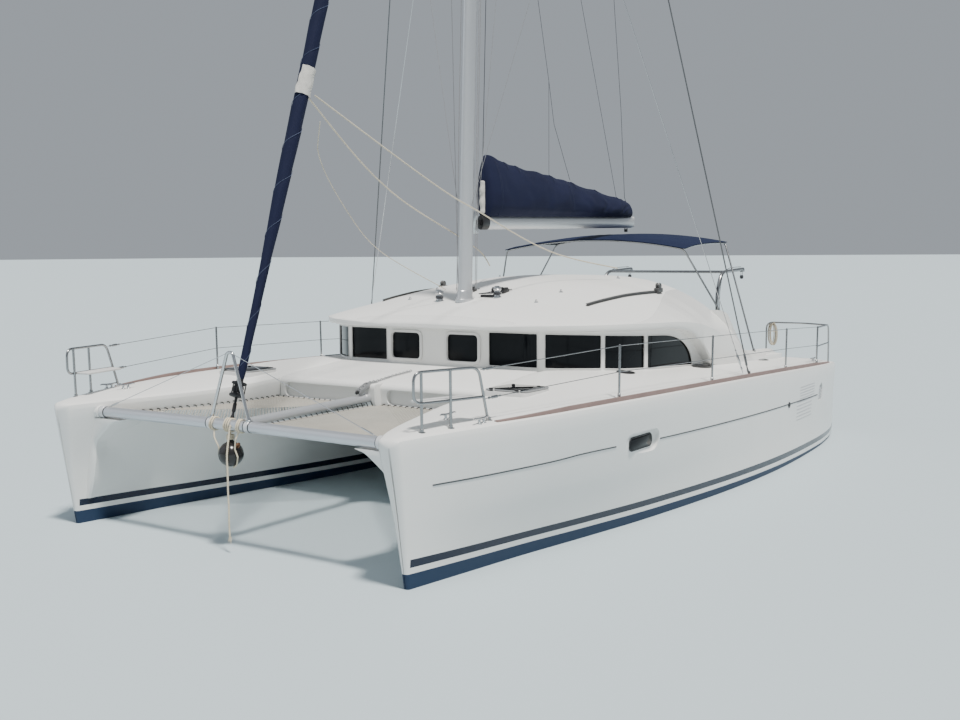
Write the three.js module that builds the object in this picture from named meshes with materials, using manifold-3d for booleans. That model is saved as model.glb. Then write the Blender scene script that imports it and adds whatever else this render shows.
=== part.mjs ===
// A cruising catamaran with its sails stowed: two hulls, a bridge deck with a saloon on it, and one mast.
// Millimetres. +X is forward, +Y to port, +Z up. The origin is on the waterline, amidships on the centreline.
import * as THREE from "three";
import { mergeVertices } from "three/addons/utils/BufferGeometryUtils.js";
import Module from "manifold-3d";

const wasm = await Module();
wasm.setup();

// Driving sizes of the whole boat
const HULL_Y = 2330;
const TUNNEL_Y = 1500;
const SOLE_Z = 800;
const BRIDGE_UNDER_Z = 720;
const CLEARANCE = 0.3;
const RUNNING_CLEARANCE = 6;

// Finishes
const finishes = {
  gelcoat: { color: 0xeceae4, roughness: 0.3, metalness: 0 },
  antifoul: { color: 0x14294d, roughness: 0.7, metalness: 0 },
  glass: { color: 0x1c2023, roughness: 0.1, metalness: 0 },
  alloy: { color: 0xb9bcc0, roughness: 0.4, metalness: 0.8 },
  steel: { color: 0xc4c6c8, roughness: 0.2, metalness: 1 },
  net: { color: 0xb9b29f, roughness: 0.9, metalness: 0 },
  canvas: { color: 0x16224a, roughness: 0.85, metalness: 0 },
  blackPlastic: { color: 0x1a1a1c, roughness: 0.5, metalness: 0 },
  bronze: { color: 0x8a6f3c, roughness: 0.4, metalness: 0.9 },
  rope: { color: 0xd9cfb4, roughness: 0.9, metalness: 0 },
  white: { color: 0xe6e6e3, roughness: 0.5, metalness: 0 },
};

const boat = new THREE.Group();

// Turns a geometry into a solid that can be cut and joined
function solid(geometry) {
  const bare = geometry.index ? geometry.toNonIndexed() : geometry.clone();
  for (const name of Object.keys(bare.attributes)) {
    if (name !== "position") {
      bare.deleteAttribute(name);
    }
  }
  const merged = mergeVertices(bare, 1e-3);
  return new wasm.Manifold(new wasm.Mesh({
    numProp: 3,
    vertProperties: new Float32Array(merged.attributes.position.array),
    triVerts: new Uint32Array(merged.index.array),
  }));
}

function geometryOf(body) {
  const mesh = body.simplify(0.05).getMesh();
  const geometry = new THREE.BufferGeometry();
  geometry.setAttribute("position", new THREE.BufferAttribute(new Float32Array(mesh.vertProperties), 3));
  geometry.setIndex(new THREE.BufferAttribute(new Uint32Array(mesh.triVerts), 1));
  geometry.computeVertexNormals();
  return geometry;
}

function joined(parts) {
  return parts.reduce((whole, part) => whole.add(part));
}

// The largest of the separate bodies that a cut leaves
function mainBody(body) {
  return body.decompose().reduce((best, piece) => (piece.volume() > best.volume() ? piece : best));
}

function add(name, shape, finish) {
  const geometry = shape.isBufferGeometry ? shape : geometryOf(shape);
  const mesh = new THREE.Mesh(geometry, new THREE.MeshStandardMaterial(finishes[finish]));
  mesh.name = name;
  boat.add(mesh);
  return mesh;
}

// The same shape on the other side of the centreline, with its faces still pointing out
function mirrored(geometry) {
  const flat = geometry.index ? geometry.toNonIndexed() : geometry.clone();
  const from = flat.attributes.position;
  const points = [];
  for (let i = 0; i < from.count; i += 3) {
    for (const k of [i, i + 2, i + 1]) {
      points.push(from.getX(k), -from.getY(k), from.getZ(k));
    }
  }
  const copy = new THREE.BufferGeometry();
  copy.setAttribute("position", new THREE.Float32BufferAttribute(points, 3));
  copy.computeVertexNormals();
  return copy;
}

function addPair(stem, shape, finish) {
  const geometry = shape.isBufferGeometry ? shape : geometryOf(shape);
  add(`${stem}_port`, geometry, finish);
  add(`${stem}_starboard`, mirrored(geometry), finish);
}

function box(x0, x1, y0, y1, z0, z1) {
  const geometry = new THREE.BoxGeometry(x1 - x0, y1 - y0, z1 - z0);
  geometry.translate((x0 + x1) / 2, (y0 + y1) / 2, (z0 + z1) / 2);
  return solid(geometry);
}

function upright(x, y, z0, z1, radius, sides = 20) {
  const geometry = new THREE.CylinderGeometry(radius, radius, z1 - z0, sides);
  geometry.rotateX(Math.PI / 2);
  geometry.translate(x, y, (z0 + z1) / 2);
  return solid(geometry);
}

function lengthwise(x0, x1, y, z, radius, sides = 20) {
  const geometry = new THREE.CylinderGeometry(radius, radius, x1 - x0, sides);
  geometry.rotateZ(-Math.PI / 2);
  geometry.translate((x0 + x1) / 2, y, z);
  return solid(geometry);
}

function crosswise(x, y0, y1, z, radius, sides = 20) {
  const geometry = new THREE.CylinderGeometry(radius, radius, y1 - y0, sides);
  geometry.translate(x, (y0 + y1) / 2, z);
  return solid(geometry);
}

function outline(points) {
  return new THREE.Shape(points.map(([a, b]) => new THREE.Vector2(a, b)));
}

// An upright prism from an outline of [x, y] points
function plate(points, z0, z1) {
  const geometry = new THREE.ExtrudeGeometry(outline(points), { depth: z1 - z0, bevelEnabled: false });
  geometry.translate(0, 0, z0);
  return solid(geometry);
}

// A prism across the boat from an outline of [x, z] points
function slice(points, y0, y1) {
  const geometry = new THREE.ExtrudeGeometry(outline(points), { depth: y1 - y0, bevelEnabled: false });
  geometry.rotateX(Math.PI / 2);
  geometry.translate(0, y1, 0);
  return solid(geometry);
}

// A prism along the boat from an outline of [y, z] points
function length(points, x0, x1) {
  const geometry = new THREE.ExtrudeGeometry(outline(points), { depth: x1 - x0, bevelEnabled: false });
  geometry.rotateX(Math.PI / 2);
  geometry.rotateZ(Math.PI / 2);
  geometry.translate(x0, 0, 0);
  return solid(geometry);
}

// A path through given points, with each point used as one step
class Bend extends THREE.Curve {
  constructor(points) {
    super();
    this.points = points.map(([x, y, z]) => new THREE.Vector3(x, y, z));
  }
  getPoint(t, target = new THREE.Vector3()) {
    const place = Math.min(Math.max(t, 0), 1) * (this.points.length - 1);
    const first = Math.min(Math.floor(place), this.points.length - 2);
    return target.copy(this.points[first]).lerp(this.points[first + 1], place - first);
  }
  getPointAt(t, target) {
    return this.getPoint(t, target);
  }
  getTangentAt(t, target = new THREE.Vector3()) {
    const step = 0.5 / (this.points.length - 1);
    const ahead = this.getPoint(t + step);
    return target.copy(ahead).sub(this.getPoint(t - step)).normalize();
  }
}

function ringShape(radius, sides, squash = 1) {
  const points = [];
  for (let i = 0; i < sides; i += 1) {
    const angle = (i / sides) * 2 * Math.PI;
    points.push([radius * Math.cos(angle), radius * squash * Math.sin(angle)]);
  }
  return outline(points);
}

function tube(points, radius, sides = 6) {
  const settings = { steps: points.length - 1, extrudePath: new Bend(points) };
  return solid(new THREE.ExtrudeGeometry(ringShape(radius, sides), settings));
}

// Points with each inner corner turned into a short arc
function rounded(points, radius) {
  const result = [points[0]];
  for (let i = 1; i < points.length - 1; i += 1) {
    const corner = new THREE.Vector3(...points[i]);
    const back = new THREE.Vector3(...points[i - 1]).sub(corner);
    const ahead = new THREE.Vector3(...points[i + 1]).sub(corner);
    const cut = Math.min(radius, back.length() / 2.2, ahead.length() / 2.2);
    const start = corner.clone().addScaledVector(back.normalize(), cut);
    const end = corner.clone().addScaledVector(ahead.normalize(), cut);
    const arc = new THREE.QuadraticBezierCurve3(start, corner, end);
    for (const point of arc.getPoints(2)) {
      result.push(point.toArray());
    }
  }
  result.push(points[points.length - 1]);
  return result;
}

// A closed body from rings of points that have equal counts, closed by a fan at each end
function loft(rings) {
  const count = rings[0].length;
  const points = rings.flat();
  const triangles = [];
  for (let r = 0; r < rings.length - 1; r += 1) {
    for (let i = 0; i < count; i += 1) {
      const a = r * count + i;
      const b = r * count + ((i + 1) % count);
      triangles.push([a, b, b + count], [a, b + count, a + count]);
    }
  }
  const ends = [[rings[0], 0, true], [rings.at(-1), (rings.length - 1) * count, false]];
  for (const [ring, base, turned] of ends) {
    const centre = points.length;
    points.push([0, 1, 2].map((k) => ring.reduce((sum, p) => sum + p[k], 0) / count));
    for (let i = 0; i < count; i += 1) {
      const next = (i + 1) % count;
      triangles.push(turned ? [centre, base + next, base + i] : [centre, base + i, base + next]);
    }
  }
  const at = triangles.map((corners) => corners.map((k) => new THREE.Vector3(...points[k])));
  const volume = at.reduce((sum, [a, b, c]) => sum + a.dot(b.clone().cross(c)), 0);
  const index = triangles.map(([a, b, c]) => (volume > 0 ? [a, b, c] : [a, c, b])).flat();
  const geometry = new THREE.BufferGeometry();
  geometry.setAttribute("position", new THREE.Float32BufferAttribute(points.flat(), 3));
  geometry.setIndex(index);
  return solid(geometry);
}

// A value from a table of [place, value, ...] rows, smooth between the rows
function along(rows, column, x) {
  const last = rows.length - 1;
  if (x <= rows[0][0]) {
    return rows[0][column];
  }
  if (x >= rows[last][0]) {
    return rows[last][column];
  }
  const i = rows.findIndex((row) => row[0] > x) - 1;
  const [p, q] = [rows[i], rows[i + 1]];
  const slope = (a, b) => (rows[b][column] - rows[a][column]) / (rows[b][0] - rows[a][0]);
  const m0 = slope(Math.max(i - 1, 0), i + 1);
  const m1 = slope(i, Math.min(i + 2, last));
  const h = q[0] - p[0];
  const t = (x - p[0]) / h;
  const t2 = t * t;
  const t3 = t2 * t;
  return (2 * t3 - 3 * t2 + 1) * p[column] + (t3 - 2 * t2 + t) * h * m0
    + (3 * t2 - 2 * t3) * q[column] + (t3 - t2) * h * m1;
}

// Hull. The port one is drawn, with w measured outboard from the hull's own centreline.
// Columns: x, keel z, half width at the waterline, outboard and inboard half width at the deck edge,
// deck edge z, deck z at its inboard edge
const KEEL = 1;
const WATER = 2;
const OUT = 3;
const IN = 4;
const EDGE = 5;
const CROWN = 6;
const hullTable = [
  [-5775, 60, 230, 300, 320, 1180, 1180],
  [-5600, -10, 360, 400, 440, 1190, 1190],
  [-5200, -90, 480, 520, 640, 1205, 1205],
  [-4600, -210, 620, 700, 810, 1235, 1235],
  [-3600, -400, 750, 820, 830, 1275, 1290],
  [-1700, -530, 850, 890, 830, 1345, 1450],
  [0, -560, 800, 905, 830, 1395, 1520],
  [1900, -530, 610, 850, 830, 1430, 1585],
  [3100, -480, 420, 760, 830, 1442, 1478],
  [4000, -430, 260, 620, 750, 1435, 1425],
  [4750, -390, 150, 420, 530, 1420, 1400],
  [5300, -350, 70, 200, 300, 1395, 1385],
  [5540, -330, 35, 90, 170, 1375, 1370],
];
const STEM_X = 5540;
const STEM_RAKE = 180;
const STEM_FOOT_BACK = 260;
const GUNWALE = 30;
const FLARE_TOP = 0.62;
const KNUCKLE_Z = 700;

// How far each height of the hull is moved along x, so that the bow is raked and rounded at its foot
function stemShift(x, z) {
  const nearBow = THREE.MathUtils.smoothstep(x, 4300, STEM_X);
  const rake = z > 0 ? STEM_RAKE * (z / 1375) : STEM_FOOT_BACK * -1 * (z / -350) ** 2;
  return nearBow * rake;
}

// Half widths below the water, as [share of the depth, share of the waterline half width]
const underwater = [[1, 0.05], [0.9, 0.42], [0.62, 0.76], [0.25, 0.94]];

function hullRing(x) {
  const get = (column) => along(hullTable, column, x);
  const keelZ = get(KEEL);
  const water = get(WATER);
  const edgeZ = get(EDGE);
  const out = get(OUT);
  const inner = Math.min(get(IN), HULL_Y - TUNNEL_Y);
  const crown = get(CROWN);
  const midOut = water + (out - water) * FLARE_TOP;
  const bowPod = THREE.MathUtils.smoothstep(x, 4000, 5000);
  const midIn = Math.min(water + (inner - water) * (FLARE_TOP - 0.3 * bowPod), HULL_Y - TUNNEL_Y);
  const depth = Math.min(keelZ, 0);
  const floor = Math.max(keelZ, 0);
  const points = [];
  for (const [share, width] of underwater) {
    points.push([width * water, floor + share * depth]);
  }
  points.push([water, floor + 20]);
  points.push([water + (midOut - water) * 0.55, 420]);
  points.push([midOut, KNUCKLE_Z]);
  points.push([out, edgeZ - 60]);
  points.push([out - GUNWALE * 0.3, edgeZ - 12]);
  points.push([out - GUNWALE, edgeZ]);
  const camber = Math.min(40, out * 0.1);
  points.push([out * 0.4, edgeZ + (crown - edgeZ) * 0.35 + camber]);
  points.push([-inner * 0.35, edgeZ + (crown - edgeZ) * 0.75 + camber]);
  points.push([-inner + GUNWALE, crown]);
  points.push([-inner + GUNWALE * 0.3, crown - 12]);
  points.push([-inner, crown - 60]);
  points.push([-midIn, KNUCKLE_Z]);
  points.push([-(water + (midIn - water) * 0.45), 420]);
  points.push([-water, floor + 20]);
  for (const [share, width] of [...underwater].reverse()) {
    points.push([-width * water, floor + share * depth]);
  }
  return points.map(([w, z]) => [x + stemShift(x, z), HULL_Y + w, z]);
}

// Stem, the rounded front of the hull, closed in three small steps
function stemRings() {
  const rings = [];
  for (const [ahead, narrow] of [[62, 0.86], [102, 0.6], [122, 0.25]]) {
    rings.push(hullRing(STEM_X).map(([x, y, z]) => [
      x + ahead * (z > 0 ? 0.25 + 0.2 * (z / 1375) : 0.25),
      HULL_Y + (y - HULL_Y) * narrow,
      z > 1300 ? z - (1 - narrow) * 80 : z,
    ]));
  }
  return rings;
}

const hullStations = [
  -5775, -5600, -5200, -4600, -3900, -2800, -1500, 0, 1500, 2500, 3200, 3800, 4400, 4900, 5280, STEM_X,
];

// The stern: three steps down to a platform between the hull's side wings
const PLATFORM_Z = 330;
const STEP_HALF = 370;
const sternSteps = [[-4560, 925], [-4900, 625], [-5200, PLATFORM_Z]];
const WING_PROFILE = [
  [-4480, 1700], [-4600, 1236], [-4850, 1172], [-5050, 1030], [-5200, 800], [-5320, 550], [-5450, 400],
  [-6200, 340], [-6200, 1700],
];

const RUDDER = { x: -4950, top: -250, foot: -1000, fore: 110, aft: 330, half: 32 };
const STOCK = { radius: 22, bore: 22.8, top: -10 };

// Crossbeam between the bows: its line, its collars, and the round socket that takes it at each hull
const BEAM = { x: 5420, z: 1268, radius: 57, crown: 12, collar: 68, half: 2150, socket: 72, socketY: 2000 };

// The flared pod under the beam's end, on each hull's inboard side
// Columns: z, y of its inboard corner
const podTable = [
  [260, 2240], [460, 2165], [690, 2116], [920, 2085], [1000, 2010], [1100, 1876], [1170, 1765], [1200, 1655],
];
const POD = { front: 5478, shoulder: 5300, back: 4500, core: 2300 };
function beamPod() {
  const rings = podTable.map(([z, corner]) => [
    [POD.front, POD.core, z], [POD.front, corner + 30, z], [POD.front - 25, corner, z],
    [POD.shoulder, corner + 20, z], [POD.back, (corner + POD.core) / 2 - 120, z], [POD.back, POD.core, z],
  ]);
  return loft(rings);
}

function hull() {
  const socket = crosswise(BEAM.x, BEAM.socketY, HULL_Y, BEAM.z, BEAM.socket, 20);
  let body = joined([loft([...hullStations.map(hullRing), ...stemRings()]), beamPod(), socket]);
  body = body.subtract(slice(WING_PROFILE, 1000, 3600));
  sternSteps.forEach(([x, z]) => {
    body = body.subtract(box(-6300, x, HULL_Y - STEP_HALF, HULL_Y + STEP_HALF, z, 2000));
  });
  return body.subtract(upright(RUDDER.x, HULL_Y, -600, STOCK.top + 10, STOCK.bore, 32));
}

// Stub keel under each hull, with a flat foot
const KEEL_FOOT_Z = -1150;
function keel() {
  const profile = [[-1650, -560], [-1450, KEEL_FOOT_Z], [450, KEEL_FOOT_Z], [1000, -560]];
  const rings = [];
  for (const [share, half] of [[0, 20], [0.12, 75], [0.35, 100], [0.65, 75], [0.88, 40], [1, 15]]) {
    const top = profile[0][0] + (profile[3][0] - profile[0][0]) * (1 - share);
    const foot = profile[1][0] + (profile[2][0] - profile[1][0]) * (1 - share);
    rings.push([[top, half], [foot, half]]);
  }
  const section = (which, z) => {
    const port = rings.map((pair) => [pair[which][0], HULL_Y + pair[which][1], z]);
    const starboard = rings.map((pair) => [pair[which][0], HULL_Y - pair[which][1], z]).reverse();
    return [...port, ...starboard];
  };
  return loft([section(1, KEEL_FOOT_Z), section(0, -300)].map((ring) => ring.slice().reverse()));
}

// Rudder: a blade and its stock, turning in the hull's bottom
function rudderBlade() {
  const section = (z, scale) => {
    const half = RUDDER.half * scale;
    const fore = RUDDER.fore * scale;
    const aft = RUDDER.aft * scale;
    return [
      [RUDDER.x + fore, HULL_Y, z], [RUDDER.x + fore * 0.7, HULL_Y + half * 0.8, z],
      [RUDDER.x, HULL_Y + half, z], [RUDDER.x - aft * 0.5, HULL_Y + half * 0.6, z],
      [RUDDER.x - aft, HULL_Y + 4, z], [RUDDER.x - aft, HULL_Y - 4, z],
      [RUDDER.x - aft * 0.5, HULL_Y - half * 0.6, z], [RUDDER.x, HULL_Y - half, z],
      [RUDDER.x + fore * 0.7, HULL_Y - half * 0.8, z],
    ].reverse();
  };
  const blade = loft([section(RUDDER.foot, 0.82), section(RUDDER.top, 1)]);
  return blade.add(upright(RUDDER.x, HULL_Y, RUDDER.top - 20, STOCK.top, STOCK.radius, 16));
}

// Saildrive leg with its propeller, on each hull ahead of the rudder
const DRIVE = { x: -3650, hubZ: -760, hubRadius: 55, shaftFront: 90, shaftBack: -130 };
function saildrive() {
  const legSection = (z, fore, aft, half) => [
    [DRIVE.x + fore, HULL_Y, z], [DRIVE.x + fore * 0.5, HULL_Y + half, z],
    [DRIVE.x - aft * 0.4, HULL_Y + half, z], [DRIVE.x - aft, HULL_Y + 5, z],
    [DRIVE.x - aft, HULL_Y - 5, z], [DRIVE.x - aft * 0.4, HULL_Y - half, z],
    [DRIVE.x + fore * 0.5, HULL_Y - half, z],
  ].reverse();
  const leg = loft([legSection(DRIVE.hubZ - 20, 90, 90, 35), legSection(-330, 120, 130, 60)]);
  const pod = new THREE.LatheGeometry([
    [0, DRIVE.shaftFront + 70], [35, DRIVE.shaftFront + 40], [DRIVE.hubRadius, DRIVE.shaftFront - 10],
    [DRIVE.hubRadius, DRIVE.shaftBack], [0, DRIVE.shaftBack],
  ].map(([radius, along]) => new THREE.Vector2(radius, along)).reverse(), 12);
  pod.rotateZ(-Math.PI / 2);
  pod.translate(DRIVE.x, HULL_Y, DRIVE.hubZ);
  return leg.add(solid(pod));
}

function propeller() {
  const start = DRIVE.x + DRIVE.shaftBack;
  const hub = new THREE.LatheGeometry([
    new THREE.Vector2(0, -150), new THREE.Vector2(28, -120), new THREE.Vector2(44, -60),
    new THREE.Vector2(46, -CLEARANCE), new THREE.Vector2(0, -CLEARANCE),
  ], 12);
  hub.rotateZ(-Math.PI / 2);
  hub.translate(start, HULL_Y, DRIVE.hubZ);
  let body = solid(hub);
  for (let i = 0; i < 3; i += 1) {
    const blade = new THREE.ExtrudeGeometry(outline([
      [-18, 30], [18, 30], [52, 110], [48, 180], [0, 212], [-48, 180], [-52, 110],
    ]), { depth: 8, bevelEnabled: false });
    blade.translate(0, 0, -4);
    blade.rotateY(THREE.MathUtils.degToRad(62));
    blade.rotateX(Math.PI / 2);
    blade.rotateX((i * 2 * Math.PI) / 3);
    blade.translate(start - 70, HULL_Y, DRIVE.hubZ);
    body = body.add(solid(blade));
  }
  return body;
}

// Bridge deck: the sole between the hulls, the foredeck ahead of the saloon, and the beam at the stern
const BRIDGE = { front: 3150, back: -4700, side: TUNNEL_Y - CLEARANCE };
const CABIN_FRONT_X = 1960;
const FOREDECK_START = CABIN_FRONT_X - 60;
const LAP = 5;
// Columns: x, z
const foredeckProfile = [
  [FOREDECK_START, SOLE_Z - 2 * LAP], [FOREDECK_START, 1595], [2160, 1575], [2410, 1549], [2800, 1520],
  [3060, 1490],
  [3135, 1468], [3160, 1430], [BRIDGE.front, 1330], [BRIDGE.front, 1200], [3060, 1030], [2880, 880],
  [2600, BRIDGE_UNDER_Z], [FOREDECK_START, BRIDGE_UNDER_Z],
];
// Nose on the foredeck's front face, which takes the centre tube and the bow roller
const noseProfile = [[3050, 1150], [3215, 1190], [3262, 1260], [3272, 1440], [3255, 1480], [3050, 1487]];
const NOSE_HALF = 105;
const AFT_BENCH_Z = 1240;
const AFT_BENCH_LONG = 480;
const SIDE_BENCH = { front: -2100, edge: -960, top: 1230 };

// Cabin plan at the height of its windows, the port half from the centreline to its aft end
// Columns: x, y, window sill z, window head z
const cabinPlan = [
  [1960, 0, 1620, 2030],
  [1955, 670, 1620, 2030],
  [1905, 800, 1620, 2030],
  [1840, 1450, 1615, 2028],
  [1740, 1650, 1610, 2022],
  [1380, 2060, 1600, 2005],
  [1160, 2190, 1585, 1992],
  [700, 2300, 1562, 1968],
  [-550, 2375, 1504, 1905],
  [-1300, 2400, 1470, 1850],
];
const WALL = 38;

function offsetPlan(distance) {
  const plan = cabinPlan.map(([x, y]) => new THREE.Vector2(x, y));
  return plan.map((point, i) => {
    const before = plan[Math.max(i - 1, 0)];
    const after = plan[Math.min(i + 1, plan.length - 1)];
    const tangent = after.clone().sub(before).normalize();
    if (i === 0) {
      tangent.set(0, 1);
    }
    return [point.x + tangent.y * distance, point.y - tangent.x * distance];
  });
}

// A closed plan outline from its port half
function bothSides(half) {
  const other = half.slice(1).map(([x, y]) => [x, -y]).reverse();
  return [...other, ...half].reverse();
}

// The wall's own thickness of strip along the cabin plan, between two distances from the centreline
function planAt(curve, s) {
  let left = s;
  for (let i = 0; i < curve.length - 1; i += 1) {
    const [a, b] = [curve[i], curve[i + 1]];
    const span = Math.hypot(cabinPlan[i + 1][0] - cabinPlan[i][0], cabinPlan[i + 1][1] - cabinPlan[i][1]);
    if (left <= span || i === curve.length - 2) {
      const t = left / span;
      return a.map((value, k) => value + (b[k] - value) * t);
    }
    left -= span;
  }
  return curve.at(-1);
}

const planLengths = cabinPlan.map((_, i) => cabinPlan.slice(1, i + 1)
  .reduce((sum, point, k) => sum + Math.hypot(point[0] - cabinPlan[k][0], point[1] - cabinPlan[k][1]), 0));

// Window openings by distance along the plan: start, end, and the height trimmed off sill and head.
// The aft one's head arches down to its sill.
const ARCH_FROM = 3350;
const windows = [
  { name: "hatch", from: 209, to: 666, trim: 40 },
  { name: "front", from: 800, to: 1455, trim: 0 },
  { name: "corner", from: 1545, to: 2225, trim: 0 },
  { name: "side", from: 2270, to: 2945, trim: 0 },
  { name: "aft", from: 3010, to: 4212, trim: 0, archFrom: ARCH_FROM },
];
const ARCH_POWER = 2.4;
const ARCH_LEAST = 0.04;
const archSteps = [0.35, 0.6, 0.8, 0.93];
const STEP_APART = 20;
const SILL = 2;
const HEAD = 3;

function headAt(opening, s) {
  const head = planAt(cabinPlan, s)[HEAD] - opening.trim;
  if (!opening.archFrom || s <= opening.archFrom) {
    return head;
  }
  const sill = planAt(cabinPlan, s)[SILL];
  const share = (s - opening.archFrom) / (opening.to - opening.archFrom);
  return sill + (head - sill) * Math.max(Math.sqrt(1 - share ** ARCH_POWER), ARCH_LEAST);
}

function strip(from, to, outside, inside, low, high) {
  const archEnd = windows.at(-1).to;
  const within = (s) => s > from + STEP_APART && s < to - STEP_APART;
  const inner = planLengths.filter(within);
  const extra = archSteps.map((share) => ARCH_FROM + (archEnd - ARCH_FROM) * share).filter(within);
  const stops = [from, ...inner, ...extra, to].sort((a, b) => a - b);
  const outer = offsetPlan(outside);
  const back = offsetPlan(inside);
  return stops.map((s) => {
    const [ox, oy] = planAt(outer, s);
    const [bx, by] = planAt(back, s);
    return [[ox, oy, low(s)], [ox, oy, high(s)], [bx, by, high(s)], [bx, by, low(s)]];
  });
}

const CUT_OUT = 60;
const CUT_IN = -90;
function windowCut(opening) {
  const low = (s) => planAt(cabinPlan, s)[SILL] + opening.trim;
  return loft(strip(opening.from, opening.to, CUT_OUT, CUT_IN, low, (s) => headAt(opening, s)));
}

function mirrorSolid(body) {
  return solid(mirrored(geometryOf(body)));
}

// Coachroof: a shallow dome whose edge stands out over the windows as a visor
// Columns: x, half width, visor's lower edge z, its upper edge z, crown z, squareness of the section
const roofTable = [
  [-1800, 2545, 1380, 1700, 2650, 3.0],
  [-1300, 2535, 1380, 1840, 2662, 3.0],
  [-900, 2525, 1500, 1960, 2656, 3.0],
  [-600, 2515, 1760, 2030, 2642, 2.8],
  [-300, 2505, 1930, 2075, 2620, 2.6],
  [100, 2490, 2010, 2105, 2585, 2.4],
  [700, 2430, 2034, 2122, 2488, 2.3],
  [1150, 2325, 2046, 2130, 2402, 2.2],
  [1500, 2150, 2054, 2132, 2335, 2.2],
  [1750, 1920, 2060, 2132, 2275, 2.2],
  [1920, 1660, 2062, 2128, 2215, 2.2],
  [2030, 1350, 2062, 2122, 2165, 2.2],
  [2075, 1050, 2062, 2112, 2135, 2.2],
  [2090, 800, 2066, 2100, 2112, 2.2],
];
const ROOF_SHELL = 45;
const VISOR = 150;
const VISOR_FROM_X = 1000;
const ROOF_FOOT_Z = 1300;
const EDGE_ROLL = 16;
const DOME_POWER = 1 / 1.15;
const outerSpread = [1, 0.985, 0.95, 0.89, 0.8, 0.66, 0.46, 0.2];
const innerSpread = [1, 0.95, 0.84, 0.62, 0.3];

function roofRing([x, half, edge, nose, crown, power], spread = outerSpread) {
  const side = [[half - EDGE_ROLL, edge], [half, edge + (nose - edge) * 0.45]];
  for (const share of spread) {
    side.push([half * share, nose + (crown - nose) * (1 - share ** power) ** DOME_POWER]);
  }
  const other = side.map(([y, z]) => [-y, z]).reverse();
  return [...side, ...other].map(([y, z]) => [x, y, z]);
}

function roofInside() {
  const rows = roofTable.filter((row, i) => i % 2 === 0 || i === roofTable.length - 1)
    .map(([x, half, , nose, crown, power]) => [
      x > VISOR_FROM_X ? x - VISOR : x, half - VISOR, ROOF_FOOT_Z, nose - ROOF_SHELL, crown - ROOF_SHELL,
      power,
    ]);
  rows[0][0] -= 10;
  return loft(rows.map((row) => roofRing(row, innerSpread)));
}

function coachroof() {
  return loft(roofTable.map((row) => roofRing(row))).subtract(roofInside());
}

const hullBody = hull();
const hullOther = mirrorSolid(hullBody);

function bridgeDeck() {
  const { back, side } = BRIDGE;
  const sole = box(back, CABIN_FRONT_X, -side, side, BRIDGE_UNDER_Z, SOLE_Z);
  const aftBench = box(back, back + AFT_BENCH_LONG, -side, side, SOLE_Z - LAP, AFT_BENCH_Z);
  const sideBench = box(back, SIDE_BENCH.front, -side, SIDE_BENCH.edge, SOLE_Z - LAP, SIDE_BENCH.top);
  const foredeck = slice(foredeckProfile, -side, side);
  return joined([sole, foredeck, slice(noseProfile, -NOSE_HALF, NOSE_HALF), aftBench, sideBench]);
}

const bridge = bridgeDeck();
const decks = joined([hullBody, hullOther, bridge]);
const decksLifted = joined([-1, 1].map((side) => decks.translate([0, side * CLEARANCE, CLEARANCE])))
  .simplify(0.05);
const roof = coachroof().subtract(decksLifted);

const WALL_BAND = { low: 1360, high: 2200 };
const LID_LIFT = 300;
function cabinWall() {
  const { low, high } = WALL_BAND;
  const outside = plate(bothSides(offsetPlan(0)), low, high);
  const inside = plate(bothSides(offsetPlan(-WALL)), low - CUT_OUT, high + CUT_OUT);
  const lidRows = roofTable.map(([x, half, edge, nose, crown, power]) => [
    x, half + EDGE_ROLL * 2, edge, nose, crown + LID_LIFT, power,
  ]);
  const lid = loft(lidRows.map((row) => roofRing(row, [1, 0.5])));
  let body = outside.subtract(inside).subtract(lid.translate([0, 0, -CLEARANCE])).subtract(decksLifted);
  for (const opening of windows) {
    const cut = windowCut(opening);
    body = body.subtract(cut).subtract(mirrorSolid(cut));
  }
  const aftRoom = box(ROOM_BACK, BULKHEAD.x + BULKHEAD.thick + 2, -ROOM_SIDE, ROOM_SIDE, 0, ROOM_HIGH);
  return mainBody(body.subtract(aftRoom));
}

// Smoked panes, one band behind the wall's openings, held to its inner face
const PANE = { thick: 8, from: 120, to: 4235, below: 16, above: 4 };
function glazing() {
  const low = (s) => planAt(cabinPlan, s)[SILL] - PANE.below;
  const high = (s) => planAt(cabinPlan, s)[HEAD] + PANE.above;
  const port = strip(PANE.from, PANE.to, -WALL - CLEARANCE, -WALL - PANE.thick, low, high);
  const starboard = port.map((ring) => ring.map(([x, y, z]) => [x, -y, z])).reverse();
  return mainBody(loft([...starboard, ...port]).subtract(roof.translate([0, 0, -1])).subtract(decksLifted));
}

// Aft bulkhead with its doorway and two windows, and the sliding door on tracks behind it
const BULKHEAD = { x: -1300, thick: 36, lowTop: 1400, highFoot: 1320 };
const DOORWAY = { y0: -700, y1: 60, z0: SOLE_Z + 60, z1: 2300 };
const DOOR = { lap: 40, thick: 24, gap: 8, drop: 40, rise: 42, track: 780 };
const DOOR_HANDLE = { out: 34, inset: 30, wide: 24, low: 1500, high: 1700 };
const BULKHEAD_WINDOW = { y0: 260, y1: 1150, z0: 1560, z1: 2200, starboardShift: 640 };
const ROOM_BACK = -3000;
const ROOM_SIDE = 3000;
const ROOM_HIGH = 4000;

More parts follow.
